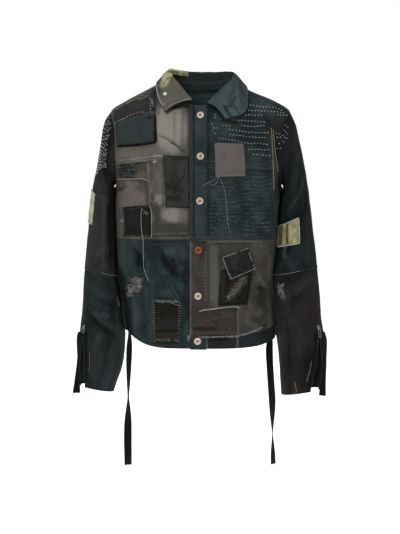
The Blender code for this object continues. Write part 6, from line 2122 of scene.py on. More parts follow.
def camouflage(a: Array, b: Array, striped: bool) -> Array:
    """A generic faded camouflage print.

    Args:
        a: First coordinate in metres.
        b: Second coordinate in metres.
        striped: Whether its spots run into upright bars.

    Returns:
        Linear colours.
    """
    clouds = Clouds(77)
    colour = np.zeros(np.shape(a) + (3,)) + np.array(Dye.CAMO_SAND.value)
    if striped:
        across = 0.5 - a / 0.1 + 0.035 * clouds.layered(a, b * 0.6, 0.02, 2)
        bars = np.array([dye.value for _, dye in CAMO_BARS])
        stops = [stop for stop, _ in CAMO_BARS]
        colour = np.stack([np.interp(across, stops, bars[:, axis]) for axis in range(3)], -1)
    for shift, dye, limit in ((0.0, Dye.CAMO_GREEN, 0.1), (3.1, Dye.CAMO_TAN, 0.25),
                              (6.7, Dye.CAMO_BROWN, 0.38)):
        spots = clouds.layered(a + shift, b * 0.9 + shift, 0.016, 2)
        colour = blend(colour, dye, (0.3 if striped else 0.85) * ease((spots - limit) / 0.12))
    fine = 1 + 0.22 * clouds.layered(a + 9, b, 0.004, 2)
    return colour * fine[..., None]


# ---------------------------------------------------------------- collar
COLLAR_PATCH_TURNS, COLLAR_PATCH_WALL = (24, 128), 0.0008


@dataclass
class Collar:
    """Stand, both halves of the fall, and the camouflage patch over the fold."""

    body: BodyCloth
    leaves: dict[Side, CollarForm]
    clouds: Clouds = field(default_factory=lambda: Clouds(19))

    def neckline(self, side: int) -> Array:
        """The neck hole's edge from the back to the front on one side."""
        torso = self.body.torso
        back = np.concatenate(([NECK_BACK], np.linspace(NECK_BACK + 0.0004, NECK_SIDE, 14)))
        gap = np.maximum(self.body.neck_half(back, NECK_BACK), BACK_NECK_FLAT)
        gap = np.where(back > NECK_BACK, gap, BACK_NECK_FLAT)
        turn = side * (math.pi - np.abs(torso.front_angle(side * gap, back)))
        front = np.linspace(NECK_SIDE, -0.0435, 40)[1:]
        x = side * self.body.neck_half(front, NECK_FRONT)
        return np.concatenate((torso.point(turn, back),
                               torso.point(torso.front_angle(x, front), front)))

    def stand_rows(self, rows: int) -> tuple[Array, Array]:
        """Points of the stand's inner face and the direction out of it."""
        seam = np.concatenate((self.neckline(-1)[::-1], self.neckline(1)))
        half = len(seam) // 2
        side = np.repeat([-1.0, 1.0], half)
        turn = np.degrees(np.arctan2(np.abs(seam[:, 0] - 0.003), seam[:, 1]))
        fold = np.stack([np.where(side < 0, one, two) for one, two in
                         zip(read_table(COLLAR[-1], turn)[:3], read_table(COLLAR[1], turn)[:3])], -1)
        out = np.stack((np.sin(np.radians(turn)) * side, np.cos(np.radians(turn)), 0 * turn), -1)
        foot = seam + np.array([0, 0, 2 * SEAM_GAP]) - out * SEAM_GAP
        head = fold + np.array([0, 0, -STAND_DROP]) + out * STAND_OUT
        share = np.linspace(0, 1, rows)[:, None, None]
        hollow = STAND_HOLLOW * np.sin(math.pi * share)
        points = foot + (head - foot) * share - out * (hollow + CLOTH)
        return points, np.broadcast_to(-out, points.shape)

    def build(self) -> None:
        """Make the collar."""
        points, facing = self.stand_rows(16)
        across = distances(points[8])[None, :] + 0 * points[..., 2]
        share = np.linspace(0, 1, 16)[:, None] + 0 * across
        dye = WASHES["collar_stand"].colour(across, share * 0.04, 0 * across, self.clouds)
        dye = blend(dye, Dye.NECK_BROWN, 0.8 * ease((-0.03 - points[..., 0]) / 0.03))
        dye = blend(dye, Dye.LEAF_SLATE, 0.6 * np.exp(-((share - 0.45) / 0.05) ** 2))
        ClothCut("collar_stand_cloth", "collar_stand", "umber", DENIM, points, dye, facing,
                 (0.42, 0.042), wall=CLOTH).make()
        for side, form in self.leaves.items():
            name = f"collar_leaf_{side.word}"
            turn, share = np.meshgrid(np.linspace(0.2, 180, 150), np.linspace(0, 1, 40))
            points = form.cloth(turn, share)
            rise = form.relief(turn, share) - CLOTH
            dye = WASHES[name].colour(turn, share, rise, self.clouds)
            slot = "olive" if side is Side.RIGHT else "slate"
            ClothCut(name + "_cloth", name, slot, DENIM, points, dye, form.outward(turn, share),
                     (0.24, 0.08), "folded", ("collar_stand_cloth",)).make()
        self.build_patch()

    def build_patch(self) -> None:
        """The camouflage patch from the outer fall over the fold to the inside."""
        form = self.leaves[Side.RIGHT]
        turns = np.linspace(*COLLAR_PATCH_TURNS, 110)
        reach = 0.1 + 0.46 * ease((turns - 44) / 22)
        share = reach * np.linspace(1, 0, 26)[:, None]
        turn = np.broadcast_to(turns, share.shape)
        outer = form.cloth(turn, share, PATCH_LIFT + PATCH_CLOTH * 0.4)
        fold = np.stack(read_table(COLLAR[-1], turns)[:3], -1)
        out = np.stack((-np.sin(np.radians(turns)), np.cos(np.radians(turns)), 0 * turns), -1)
        depth = 0.0015 + 0.0095 * ease((100 - turns) / 20)
        down = np.linspace(0.12, 1, 8)[:, None, None] * depth[None, :, None]
        inner = (fold - out * (CLOTH + 0.0014) + np.array([0, 0, -0.0002])
                 - down * np.array([0, 0, 1.0]) + down * out * 0.05)
        points = np.concatenate((outer, inner))
        facing = np.concatenate((form.outward(turn, share), np.broadcast_to(-out, inner.shape)))
        across = np.broadcast_to(turns * COLLAR_TURN, points.shape[:2])
        along = np.arange(len(points))[:, None] * 0.0016 + 0 * across
        dye = camouflage(across, along, False)
        ClothCut("patch_collar_cloth", "patch_collar_outer", "camo", COTTON, points, dye, facing,
                 (0.122, 0.043), "folded", ("collar_leaf_right_cloth",), wall=COLLAR_PATCH_WALL).make()

    def sew(self, kit: "ThreadKit") -> None:
        """Edge stitches of the fall and of its patch."""
        for side, form in self.leaves.items():
            needle = Needle(form.cloth, COLLAR_UNIT, 60 + side.value)
            bundle = kit.seam if side is Side.RIGHT else kit.teal
            edge = [(turn, 0.93) for turn in np.linspace(4, 172, 60)]
            needle.running(bundle, edge + [(174, 0.5), (176, 0.15)], 0.0034, 0.0026, 0.0001)
            if side is Side.RIGHT:
                ring = [(66, 0.56), (128, 0.56), (128, 0.14)]
                needle.overcast(kit.olive, ring[::-1], 0.0022, 0.0012, 0.0042)
                needle.ravel(kit.pale, [(108, 0.99), (140, 0.985), (168, 0.985)], 0.0003, 0.0003)


# ---------------------------------------------------------------- buttons, studs and zips
@dataclass
class Buttons:
    """Six shank buttons down the band."""

    fronts: Fronts
    places: tuple[tuple[float, float], ...] = (
        (0.0022, -0.0719), (0.0022, -0.1713), (0.0007, -0.2785),
        (-0.0024, -0.3964), (-0.0036, -0.5076), (-0.0048, -0.6171))
    ring: tuple[tuple[float, float], ...] = (
        (0.003, 0.0), (0.0032, 0.0012), (0.0074, 0.0015), (0.0084, 0.002), (0.0086, 0.0027),
        (0.0083, 0.0034), (0.0074, 0.0038), (0.0062, 0.0038), (0.005, 0.0035), (0.0041, 0.0029))
    dish: tuple[tuple[float, float], ...] = (
        (0.0043, 0.003), (0.0034, 0.0024), (0.0026, 0.0022), (0.0021, 0.0025), (0.0016, 0.0032),
        (0.0009, 0.0035), (0.0002, 0.0036))
    stud_head: tuple[tuple[float, float], ...] = (
        (0.001, 0.0), (0.0042, 0.0003), (0.0049, 0.0009), (0.0048, 0.0016), (0.004, 0.0023),
        (0.0022, 0.0027), (0.0002, 0.0028))
    segments: int = 40

    def turned(self, name: str, outline: Sequence[tuple[float, float]], frame_at: Matrix,
               finish: MetalFinish) -> bpy.types.Object:
        """A turned piece.

        Args:
            name: Its name.
            outline: Radius and height of its rings.
            frame_at: Its place and turn.
            finish: Its finish.

        Returns:
            The piece, not yet riding.
        """
        turn = np.arange(self.segments) / self.segments * math.tau
        rings = np.array([[(radius * math.cos(t), radius * math.sin(t), height) for t in turn]
                          for radius, height in outline])
        index = np.arange(rings.size // 3).reshape(len(outline), self.segments)
        after = np.roll(index, -1, 1)
        faces = np.stack((index[:-1], after[:-1], after[1:], index[1:]), -1).reshape(-1, 4)
        rotated = rings.reshape(-1, 3) @ np.array(frame_at.to_3x3()).T + np.array(frame_at.translation)
        return new_object(name, rotated, faces, finish)

    def build(self) -> None:
        """Make all six buttons."""
        for number, (x, z) in enumerate(self.places, start=1):
            spot = self.fronts.place(np.array([x]), np.array([z]), np.array([0.0002]))[0]
            above = self.fronts.place(np.array([x]), np.array([z]), np.array([0.0102]))[0]
            normal = Vector(above - spot).normalized()
            turned = (Matrix.Translation(Vector(spot))
                      @ normal.to_track_quat("Z", "Y").to_matrix().to_4x4())
            metal = COPPER if number == 4 else ENAMEL
            cap = self.turned(f"button_{number}_cap", self.ring, turned, metal)
            place_piece(cap, (f"button_{number}",))
            heart = RUST if number == 4 else WORN_ENAMEL
            centre = self.turned(f"button_{number}_centre", self.dish, turned, heart)
            place_piece(centre)
            LOG.info("button %d", number)
        self.stud()

    def stud(self) -> None:
        """The flat enamel head of the stud on the right collar leaf."""
        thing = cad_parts["collar_stud"]
        spots = np.array([thing.matrix_world @ vertex.co for vertex in thing.data.vertices])
        middle = (spots.max(0) + spots.min(0)) / 2
        normal = np.linalg.svd(spots - spots.mean(0), full_matrices=False)[2][2]
        normal = normal * -np.sign(normal[1])
        foot = Vector(middle + normal * ((spots - middle) @ normal).min())
        turned = Matrix.Translation(foot) @ Vector(normal).to_track_quat("Z", "Y").to_matrix().to_4x4()
        place_piece(self.turned("collar_stud_cap", self.stud_head, turned, STUD_ENAMEL),
                    ("collar_stud",))
        LOG.info("collar stud")


def dress_metal(names: Sequence[str], finish: MetalFinish) -> None:
    """Give solids that stay as they are their metal finish."""
    for name in names:
        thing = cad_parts[name]
        thing.data.materials.clear()
        thing.data.materials.append(WARDROBE.get(finish))
        LOG.info("%s: metal", name)


@dataclass
class HemTapes:
    """The two tapes that hang from the hem."""

    rows: dict[Side, tuple[tuple[float, float, float, float], ...]]
    width: float = 0.02
    thick: float = 0.0014
    clouds: Clouds = field(default_factory=lambda: Clouds(33))

    def build(self, kit: "ThreadKit") -> None:
        """Make both tapes and their frayed ends."""
        for side, rows in self.rows.items():
            heights = np.linspace(rows[0][0], rows[-1][0], 190)
            x, y, turn = read_table(rows, heights)
            wide = np.stack((np.cos(np.radians(turn)), np.sin(np.radians(turn)), 0 * turn), -1)
            flat = np.stack((-wide[:, 1], wide[:, 0], 0 * turn), -1)
            part = np.linspace(-0.5, 0.5, 9)[None, :, None]
            cup = (0.0006 * (1 - (2 * part) ** 2))
            points = np.stack((x, y, heights), -1)[:, None] + wide[:, None] * self.width * part
            points = points + flat[:, None] * cup
            spots = np.broadcast_to(part[..., 0] * self.width, points.shape[:2])
            dye = WASHES["black_trim"].colour(spots, points[..., 2], 0 * spots, self.clouds)
            ClothCut(f"tape_{side.word}_cloth", f"tape_{side.word}", "black", WEBBING, points, dye,
                     np.broadcast_to(flat[:, None], points.shape),
                     (self.width, rows[-1][0] - rows[0][0]), "hung",
                     (f"{side.word}_front_lower_cloth",), wall=self.thick).make()
            ends = points[0][None, :, :] + np.zeros((3, 1, 1))
            tips = ends + np.array([0, 0, -0.0035]) * np.array([0.6, 1.0, 0.8])[:, None, None]
            lines = np.stack((ends, (ends + tips) / 2, tips), 2).reshape(-1, 3, 3)
            kit.jet.add(lines, np.broadcast_to(flat[0], lines.shape))


# ---------------------------------------------------------------- stitches and frays
CAMO_THREAD = ThreadFinish("camo_fray", Dye.CAMO_EDGE)
DARK_THREAD = ThreadFinish("dark_topstitch", Dye.SEAM_THREAD)
BROWN_THREAD = ThreadFinish("brown_thread", Dye.BROWN_THREAD)
SEAM_PALE = ThreadFinish("pale_seam", Dye.SEAM_PALE)
EDGE_THREAD = ThreadFinish("camo_edge_thread", Dye.EDGE)
FLECK_THREAD = ThreadFinish("fleck_thread", Dye.FLECK)
OLIVE_DIM = ThreadFinish("moss_thread", Dye.OLIVE_DIM)
RED_THREAD = ThreadFinish("red_brown_thread", Dye.RED_THREAD)
TOOTH_METAL = MetalFinish("zip_teeth_metal", Dye.STEEL_DARK, Dye.JET, roughness=0.4)
TOPSTITCH = (0.0036, 0.0027, 0.0002)    # pitch, stitch and sway of machine sewing


def bundle(name: str, finish: ThreadFinish | MetalFinish, radius: float, slot: str) -> Strands:
    """A fresh bundle for each kit."""
    return field(default_factory=lambda: Strands(name, finish, radius, slot))


@dataclass
class ThreadKit:
    """Bundles of thread, one for each colour."""

    pale: Strands = bundle("stitches_pale", PALE_THREAD, 0.00066, "washed")
    grey: Strands = bundle("stitches_grey", GREY_THREAD, 0.00046, "washed")
    teal: Strands = bundle("stitches_teal", TEAL_THREAD, 0.00042, "slate")
    olive: Strands = bundle("stitches_olive", OLIVE_THREAD, 0.0005, "camo")
    camo: Strands = bundle("frays_olive", CAMO_THREAD, 0.00032, "camo")
    # Black frays, and the black stitches laid as painted shadow under the shoulder's dotted row.
    jet: Strands = bundle("black_frays_and_painted_shadow", JET_THREAD, 0.0005, "black")
    dark: Strands = bundle("topstitch_dark", DARK_THREAD, 0.00034, "teal")
    metal: Strands = bundle("zip_teeth", TOOTH_METAL, 0.00062, "steel")
    edge: Strands = bundle("frayed_pale", EDGE_THREAD, 0.00095, "camo")
    fleck: Strands = bundle("stitches_flecks", FLECK_THREAD, 0.00125, "washed")
    seam: Strands = bundle("stitches_seam", SEAM_PALE, 0.00036, "washed")
    brown: Strands = bundle("stitches_brown", BROWN_THREAD, 0.00045, "brown")
    red: Strands = bundle("stitches_red", RED_THREAD, 0.00045, "brown")
    olive_dark: Strands = bundle("stitches_moss", OLIVE_DIM, 0.00045, "olive")

    def make(self) -> None:
        """Make every bundle."""
        for strands in vars(self).values():
            strands.make()


SASHIKO: tuple[Line, ...] = tuple(route(*points) for points in (
    ((120, -45.3), (128, -45.9), (140, -48.7), (152, -50.1), (170, -50.3), (190, -52.2), (205, -57.4)),
    ((108, -59), (137, -59), (162, -59.9), (172, -59.8), (192, -61.2), (210, -63.2)),
    ((108, -70.3), (137, -70.4), (157, -70.4)), ((187, -69.8), (215, -67.4)),
    ((91, -83.3), (113, -84.5), (137, -85.6), (152, -86), (162, -88)),
    ((98, -95), (117, -98), (137, -97.6), (161, -95.1)), ((27, -93.7), (34, -94.2)),
    ((53, -96.8), (75, -96.7)), ((31, -102.3), (45, -103.7)),
    ((69, -106.3), (88, -107.4), (105, -110.9), (122, -113.1), (166, -112.4)),
    ((184, -113.3), (199, -114.6), (215, -112.9)), ((33, -115.9), (43, -117.3)),
    ((70, -118.7), (93, -120.4), (115, -123.1), (137, -124.5), (163, -124.9)),
    ((186, -123.4), (207, -121.9)),
    ((44, -127), (64, -129.8), (83, -133.1), (100, -136.8), (117, -139.6), (137, -139.1), (166, -141.6)),
    ((191, -137.9), (207, -139.5)), ((116, -155.1), (137, -153.8), (151, -155.1), (171, -153.2)),
    ((186, -150.3), (202, -149.1)), ((127, -165.9), (141, -166.4), (156, -167.6), (174, -168.6)),
    ((34, -70.9), (45, -71.3)), ((35, -79.2), (46, -77.2))))


@dataclass
class FrontSewing:
    """All hand work on the fronts."""

    fronts: Fronts
    body: BodyCloth

    def build(self, kit: ThreadKit) -> None:
        """Lay every stitch of the fronts."""
        needle = Needle(self.fronts.place, (1.0, 1.0), 71)
        for line in SASHIKO:
            needle.running(kit.fleck, line, 0.0078, 0.0034, 0.0004, 0.02, 0.7)
        self.right_shoulder(kit, needle)
        self.right_chest(kit, needle)
        self.right_patches(kit, needle)
        self.right_skirt(kit, needle)
        self.left_chest(kit, needle)
        self.left_skirt(kit, needle)
        self.seams(kit, needle)

    def right_shoulder(self, kit: ThreadKit, needle: Needle) -> None:
        """Flecks along the shoulder and dotted rows round the yoke patch, with black stitches laid under
        the lower dotted row as painted shadow.
        """
        rows = (
            ((-0.1164, -0.009), (-0.1336, -0.0172), (-0.1484, -0.0245), (-0.1681, -0.0346),
             (-0.1857, -0.0418), (-0.2031, -0.0519)),
            ((-0.1173, -0.0156), (-0.1307, -0.0227), (-0.1504, -0.0303)),
            ((-0.1183, -0.0235), (-0.1329, -0.0301), (-0.1477, -0.0362)),
            ((-0.125, -0.019), (-0.14, -0.0265), (-0.152, -0.033)),
            ((-0.1734, -0.036), (-0.179, -0.041)),
            ((-0.1192, -0.0274), (-0.1164, -0.0428), (-0.119, -0.0603)),
            ((-0.1146, -0.0327), (-0.1124, -0.0479), (-0.1142, -0.0579)),
        )
        for row in rows:
            needle.running(kit.fleck, row, 0.0066, 0.0026, 0.0008, 0.08, 0.85)
            needle.running(kit.jet, [(x, z - 0.0032) for x, z in row], 0.0066, 0.003, 0.0008, 0.1, 2.0)
        dotted = ((-0.2074, -0.086), (-0.1944, -0.0832), (-0.1822, -0.0771), (-0.1643, -0.0694),
                  (-0.1445, -0.064), (-0.1371, -0.0632))
        needle.running(kit.fleck, dotted, 0.0078, 0.003, 0.0004, 0.0, 0.8)
        # Black stitches beside and below the dotted row are laid as painted shadow.
        shadow_beside = [(x + 0.0034, z - 0.0012) for x, z in dotted]
        needle.running(kit.jet, shadow_beside, 0.0078, 0.0036, 0.0006, 0.0, 2.4)
        below = [(x, z - 0.004) for x, z in dotted]
        needle.running(kit.jet, below, 0.0048, 0.004, 0.0006, 0.0, 1.6)
        needle.tangle(kit.jet, (-0.121, -0.078), (0.003, 0.003), 14, 0.004)

    def right_chest(self, kit: ThreadKit, needle: Needle) -> None:
        """Frayed borders, a ravelled seam and the torn strip below it."""
        bottom = ((-0.2, -0.1465), (-0.15, -0.1448), (-0.106, -0.1385), (-0.1035, -0.13),
                  (-0.105, -0.098), (-0.1066, -0.07))
        for _ in range(2):
            needle.fray(kit.jet, bottom[::-1], 0.005, 0.0009, 0.0016, 0.001, 0.9)
        needle.ravel(kit.jet, bottom, 0.0009, 0.001, 0.003, 2.2)
        seam = ((-0.207, -0.1868), (-0.16, -0.1835), (-0.119, -0.179), (-0.088, -0.1752))
        needle.ravel(kit.grey, seam[:2], 0.0004, 0.0008, 0.002)
        needle.ravel(kit.grey, seam[1:], 0.0006, 0.0008, 0.002, 1.2)
        for step in range(9):
            x = -0.16 + 0.004 * step
            thread = kit.pale if step % 2 else kit.grey
            needle.ravel(thread, ((x, -0.1775), (x + 0.0004, -0.1845)), 0.0003)
        for step in range(7):
            x = -0.11 + 0.0034 * step
            needle.ravel(kit.pale, ((x, -0.166), (x + 0.0004, -0.1745)), 0.0003, 0.001, 0.002)
        needle.tangle(kit.pale, (-0.108, -0.183), (0.004, 0.002), 10, 0.004)
        for z, x1, x2 in ((-0.189, -0.186, -0.16), (-0.196, -0.2, -0.17), (-0.203, -0.19, -0.15),
                          (-0.2105, -0.2, -0.165), (-0.216, -0.188, -0.156), (-0.2195, -0.176, -0.15)):
            needle.ravel(kit.teal, ((x1, z), ((x1 + x2) / 2, z + 0.0012), (x2, z)), 0.0007, 0.0008)
            needle.ravel(kit.jet, ((x1 - 0.006, z - 0.0026), (x2 - 0.004, z - 0.002)), 0.0009)
        needle.tangle(kit.dark, (-0.168, -0.206), (0.026, 0.014), 24, 0.009, 0.0, 0.25, bow=0.1)
        needle.tangle(kit.grey, (-0.165, -0.196), (0.009, 0.01), 12, 0.006, 1.5, 0.3)
        needle.tangle(kit.jet, (-0.18, -0.2), (0.026, 0.013), 34, 0.009, 0.0, 0.2, bow=0.1)
        needle.ravel(kit.pale, ((-0.206, -0.2256), (-0.175, -0.2252), (-0.1439, -0.2233),
                                (-0.1291, -0.2262), (-0.1242, -0.2326)), 0.0002, 0.001, 0.002, 0.75)
        needle.ravel(kit.grey, ((-0.205, -0.224), (-0.17, -0.224)), 0.0003)
        needle.fray(kit.jet, ((-0.164, -0.2275), (-0.206, -0.2275)), 0.0042, 0.0008, wild=0.9)
        needle.ravel(kit.grey, ((-0.1108, -0.1846), (-0.1098, -0.214)), 0.0002, thick=0.8)
        needle.ravel(kit.grey, ((-0.1178, -0.23), (-0.1165, -0.262)), 0.0002, thick=0.8)
        needle.tangle(kit.grey, (-0.1765, -0.2505), (0.0012, 0.0012), 14, 0.003)
        needle.tangle(kit.grey, (-0.19, -0.327), (0.005, 0.003), 22, 0.006)

    def right_patches(self, kit: ThreadKit, needle: Needle) -> None:
        """Borders of the pocket, chest and frayed patches."""
        needle.running(kit.red, ((-0.1312, -0.228), (-0.129, -0.288)), 0.0064, 0.0022, 0.0008)
        needle.running(kit.dark, ((-0.1282, -0.23), (-0.1262, -0.288)), 0.0056, 0.0026, 0.001)
        chest = CORNERS["patch_chest_charcoal"]
        ring = [chest[0], chest[3], chest[2], chest[1]]
        needle.overcast(kit.dark, ring, 0.0026, 0.001, 0.0044, skip=0.1)
        needle.ravel(kit.jet, ring + [ring[0]], 0.0005, 0.0006, 0.003, 1.5)
        needle.fray(kit.jet, (chest[0], chest[1], chest[2]), -0.002, 0.0014, 0.0)
        needle.running(kit.grey, ((-0.03, -0.183), (-0.03, -0.288)), 0.009, 0.002, 0.001, 0.3)
        needle.running(kit.grey, ((-0.083, -0.19), (-0.079, -0.285)), 0.012, 0.0016, 0.0012, 0.3)
        black = CORNERS["patch_frayed_black"]
        top = ((-0.1832, -0.299), (-0.16, -0.2958), (-0.1243, -0.2935))
        needle.fray(kit.jet, top, -0.005, 0.0007, 0.002, 0.0012, 1.2)
        needle.fray(kit.jet, top, -0.0036, 0.0007, 0.002, 0.0012, 1.2)
        needle.running(kit.grey, top, 0.0074, 0.0018, 0.0014)
        needle.overcast(kit.grey, (black[3], black[2]), 0.0026, 0.0014, 0.0058, skip=0.2)
        needle.overcast(kit.dark, (black[0], black[3]), 0.0026, 0.0014, 0.005)
        for x in (-0.136, -0.131, -0.126):
            needle.running(kit.dark, ((x, -0.298), (x + 0.002, -0.358)), 0.0046, 0.0024, 0.0012)
        needle.tangle(kit.grey, (-0.13, -0.306), (0.006, 0.006), 12, 0.004)

    def right_skirt(self, kit: ThreadKit, needle: Needle) -> None:
        """The hip patch's overcast border, tears and a scribbled worn spot."""
        top = ((-0.114, -0.5185), (-0.095, -0.518), (-0.074, -0.5215), (-0.042, -0.531))
        for shift in (0.0, -0.0016):
            needle.ravel(kit.teal, [(x, z + shift) for x, z in top], 0.0006, 0.001, 0.002, 1.2)
        needle.tangle(kit.grey, (-0.076, -0.5215), (0.028, 0.0022), 44, 0.006, 0.0, 0.8)
        hip = CORNERS["patch_hip_black"]
        needle.overcast(kit.grey, (hip[0], hip[3]), 0.003, 0.0026, 0.0064, 0.1)
        needle.overcast(kit.grey, (hip[2], hip[1]), 0.0034, 0.0026, 0.0062, 0.1)
        needle.running(kit.dark, ((-0.118, -0.54), (-0.116, -0.59)), 0.008, 0.002, 0.003)
        needle.tangle(kit.olive_dark, (-0.08, -0.615), (0.027, 0.0035), 46, 0.007)
        needle.fray(kit.jet, (hip[2], hip[3]), 0.003, 0.001)
        for centre, reach, count in (((-0.157, -0.482), (0.015, 0.018), 62),
                                     ((-0.166, -0.5), (0.008, 0.012), 24),
                                     ((-0.146, -0.476), (0.008, 0.012), 18)):
            needle.tangle(kit.brown, centre, reach, count // 2, 0.01, 0.9, 1.4)
            needle.tangle(kit.grey, centre, reach, count, 0.009, 0.9, 1.4)
        needle.tangle(kit.dark, (-0.148, -0.436), (0.022, 0.02), 34, 0.009, 1.4, 0.9)
        needle.tangle(kit.dark, (-0.068, -0.436), (0.02, 0.022), 22, 0.008, 0.7, 0.7)
        needle.tangle(kit.jet, (-0.066, -0.434), (0.012, 0.02), 46, 0.012, -0.9, 0.3)
        needle.tangle(kit.jet, (-0.147, -0.424), (0.007, 0.014), 40, 0.011, -1.2, 0.3)

    def left_chest(self, kit: ThreadKit, needle: Needle) -> None:
        """The taupe patch's border and two heavy upright lines."""
        corners = CORNERS["patch_chest_taupe"]
        needle.overcast(kit.grey, (corners[0], corners[3]), 0.0022, 0.0016, 0.0046)
        needle.ravel(kit.grey, (corners[0], corners[3]), 0.0008, 0.0008)
        needle.running(kit.grey, ((0.04, -0.14), (0.102, -0.1425)), 0.0046, 0.0026, 0.0006)
        needle.overcast(kit.grey, (corners[3], corners[2]), 0.0046, 0.001, 0.0034, 0.05)
        needle.overcast(kit.grey, (corners[2], corners[1]), 0.0016, 0.0012, 0.009, skip=0.2)
        for line in (((0.174, -0.1), (0.1762, -0.16), (0.18, -0.252)),
                     ((0.1792, -0.104), (0.1842, -0.16), (0.192, -0.208))):
            needle.ravel(kit.olive, line, 0.0002, 0.0012, 0.003, 1.8)
            needle.running(kit.pale, line, 0.004, 0.0034, 0.0002, thick=0.8)
        needle.tangle(kit.teal, (0.1, -0.285), (0.07, 0.07), 70, 0.009, 0.0, 0.4)

    def left_skirt(self, kit: ThreadKit, needle: Needle) -> None:
        """Borders of the hip and hem patches and a darned spot."""
        tilted = CORNERS["patch_hip_tilted"]
        ring = [tilted[0], tilted[3], tilted[2], tilted[1], tilted[0]]
        inset = [(x + (0.094 - x) * 0.06, z + (-0.429 - z) * 0.06) for x, z in ring]
        needle.overcast(kit.edge, inset, 0.0018, 0.001, 0.0062, 0.9, 0.12)
        needle.overcast(kit.olive_dark, ring, 0.0022, 0.0014, 0.0054, skip=0.3)
        darned = CORNERS["patch_hip_darned"]
        needle.fray(kit.jet, darned, 0.004, 0.001)
        for step in range(15):
            share = step / 14
            spot = (0.068 + 0.04 * share, -0.512 + 0.046 * share)
            swell = 0.0045 + 0.0045 * math.sin(math.pi * (0.15 + 0.6 * share))
            needle.tangle(kit.olive_dark, spot, (swell, swell), 14, 0.0045, 0.9, 1.2)
            needle.tangle(kit.grey, spot, (swell * 0.8, swell * 0.8), 6, 0.0035, 0.8, 1.2)
        edge = ((-0.002, -0.5455), (0.011, -0.5415), (0.05, -0.537), (0.083, -0.5335),
                (0.097, -0.537))
        needle.ravel(kit.pale, edge, 0.0005, 0.001, 0.002, 1.1)
        needle.fray(kit.grey, edge, -0.003, 0.0016, 0.0)
        low = ((-0.004, -0.607), (0.04, -0.606), (0.086, -0.605), (0.12, -0.598),
               (0.153, -0.586))
        needle.ravel(kit.grey, low, 0.0006, 0.0009, 0.002, 1.2)
        needle.fray(kit.grey, low, 0.0034, 0.0013, 0.0, wild=0.9)
        needle.ravel(kit.grey, ((0.0915, -0.538), (0.0925, -0.6), (0.09, -0.638)), 0.0005)
        needle.running(kit.grey, ((0.0935, -0.54), (0.094, -0.64)), 0.0052, 0.0024, 0.0006)
        needle.running(kit.brown, ((0.012, -0.566), (0.06, -0.556), (0.086, -0.552)), 0.006, 0.004)

    def seams(self, kit: ThreadKit, needle: Needle) -> None:
        """Waist seams, band edges and buttonhole bars."""
        for z in (-0.366, -0.372, -0.379):
            needle.running(kit.dark, ((-0.2, z - 0.002), (-0.1, z), (-0.026, z + 0.001)), *TOPSTITCH)
            needle.running(kit.dark, ((0.02, z), (0.1, z), (0.184, z)), *TOPSTITCH)
        for x, z1, z2 in ((0.015, -0.052, -0.37), (-0.0195, -0.052, -0.37), (0.0268, -0.06, -0.368)):
            needle.running(kit.dark, ((x, z1), (x, z2)), *TOPSTITCH)
        edge = ((-0.0222, -0.379), (-0.0226, -0.5), (-0.0224, -0.59), (-0.0248, -0.604))
        needle.ravel(kit.brown, edge, 0.0004, 0.0006, 0.002, 1.1)
        needle.tangle(kit.grey, (-0.0255, -0.609), (0.003, 0.006), 22, 0.005, 1.5, 0.5)
        needle.running(kit.olive_dark, ((0.0146, -0.4), (0.0146, -0.52)), *TOPSTITCH)
        needle.running(kit.olive_dark, ((0.024, -0.4), (0.024, -0.53)), *TOPSTITCH)
        for step in range(9):
            z = -0.425 - 0.0085 * step
            needle.ravel(kit.brown, ((0.003, z), (0.012, z - 0.0006)), 0.0002, 0.001, 0.002, 1.2)
        for low, thread in ((0.004, kit.dark), (0.01, kit.dark)):
            for sign, start in ((-1, -0.03), (1, 0.03)):
                line = []
                for x in np.linspace(start, sign * 0.176, 40):
                    angle = self.body.torso.front_angle(np.array(x), np.array(-0.62))
                    line.append((float(x), float(self.body.hem_height(angle)) + low))
                needle.running(thread, line, *TOPSTITCH)


@dataclass
class BackSewing:
    """Plain seams and a few rows of stitches on the back."""

    body: BodyCloth

    def place(self, x: Array, z: Array, lift: Array | float = 0.0) -> Array:
        """A place above the back."""
        x, z = np.broadcast_arrays(x, z)
        torso = self.body.torso
        angle = np.where(x < 0, -1, 1) * (math.pi - np.abs(torso.front_angle(x, z)))
        return torso.cloth(angle, z, lift)

    def build(self, kit: ThreadKit) -> None:
        """Lay the back's stitches."""
        needle = Needle(self.place, (1.0, 1.0), 91)
        for z in (-0.366, -0.379, -0.118, -0.124):
            reach = 0.186 if z < -0.2 else 0.168
            needle.running(kit.dark, ((-reach, z), (reach, z)), *TOPSTITCH)
        for x in (-0.0035, 0.0035):
            needle.running(kit.dark, ((x, -0.128), (x, -0.362)), *TOPSTITCH)
        for step in range(7):
            z = -0.046 - 0.0105 * step
            needle.running(kit.pale, ((0.052 + 0.006 * step, z), (0.16, z - 0.006)), 0.0072, 0.0038,
                           0.0007, 0.05)
        line = []
        for x in np.linspace(-0.172, 0.172, 60):
            angle = math.pi - abs(float(self.body.torso.front_angle(np.array(x), np.array(-0.61))))
            hem = float(self.body.hem_height(np.array(math.copysign(angle, x))))
            line.append((float(x), hem + 0.006))
        needle.running(kit.dark, line, *TOPSTITCH)


# ---------------------------------------------------------------- loose threads
THREAD_LIFT, CUFF_THREAD_LIFT = 0.0013, 0.0008


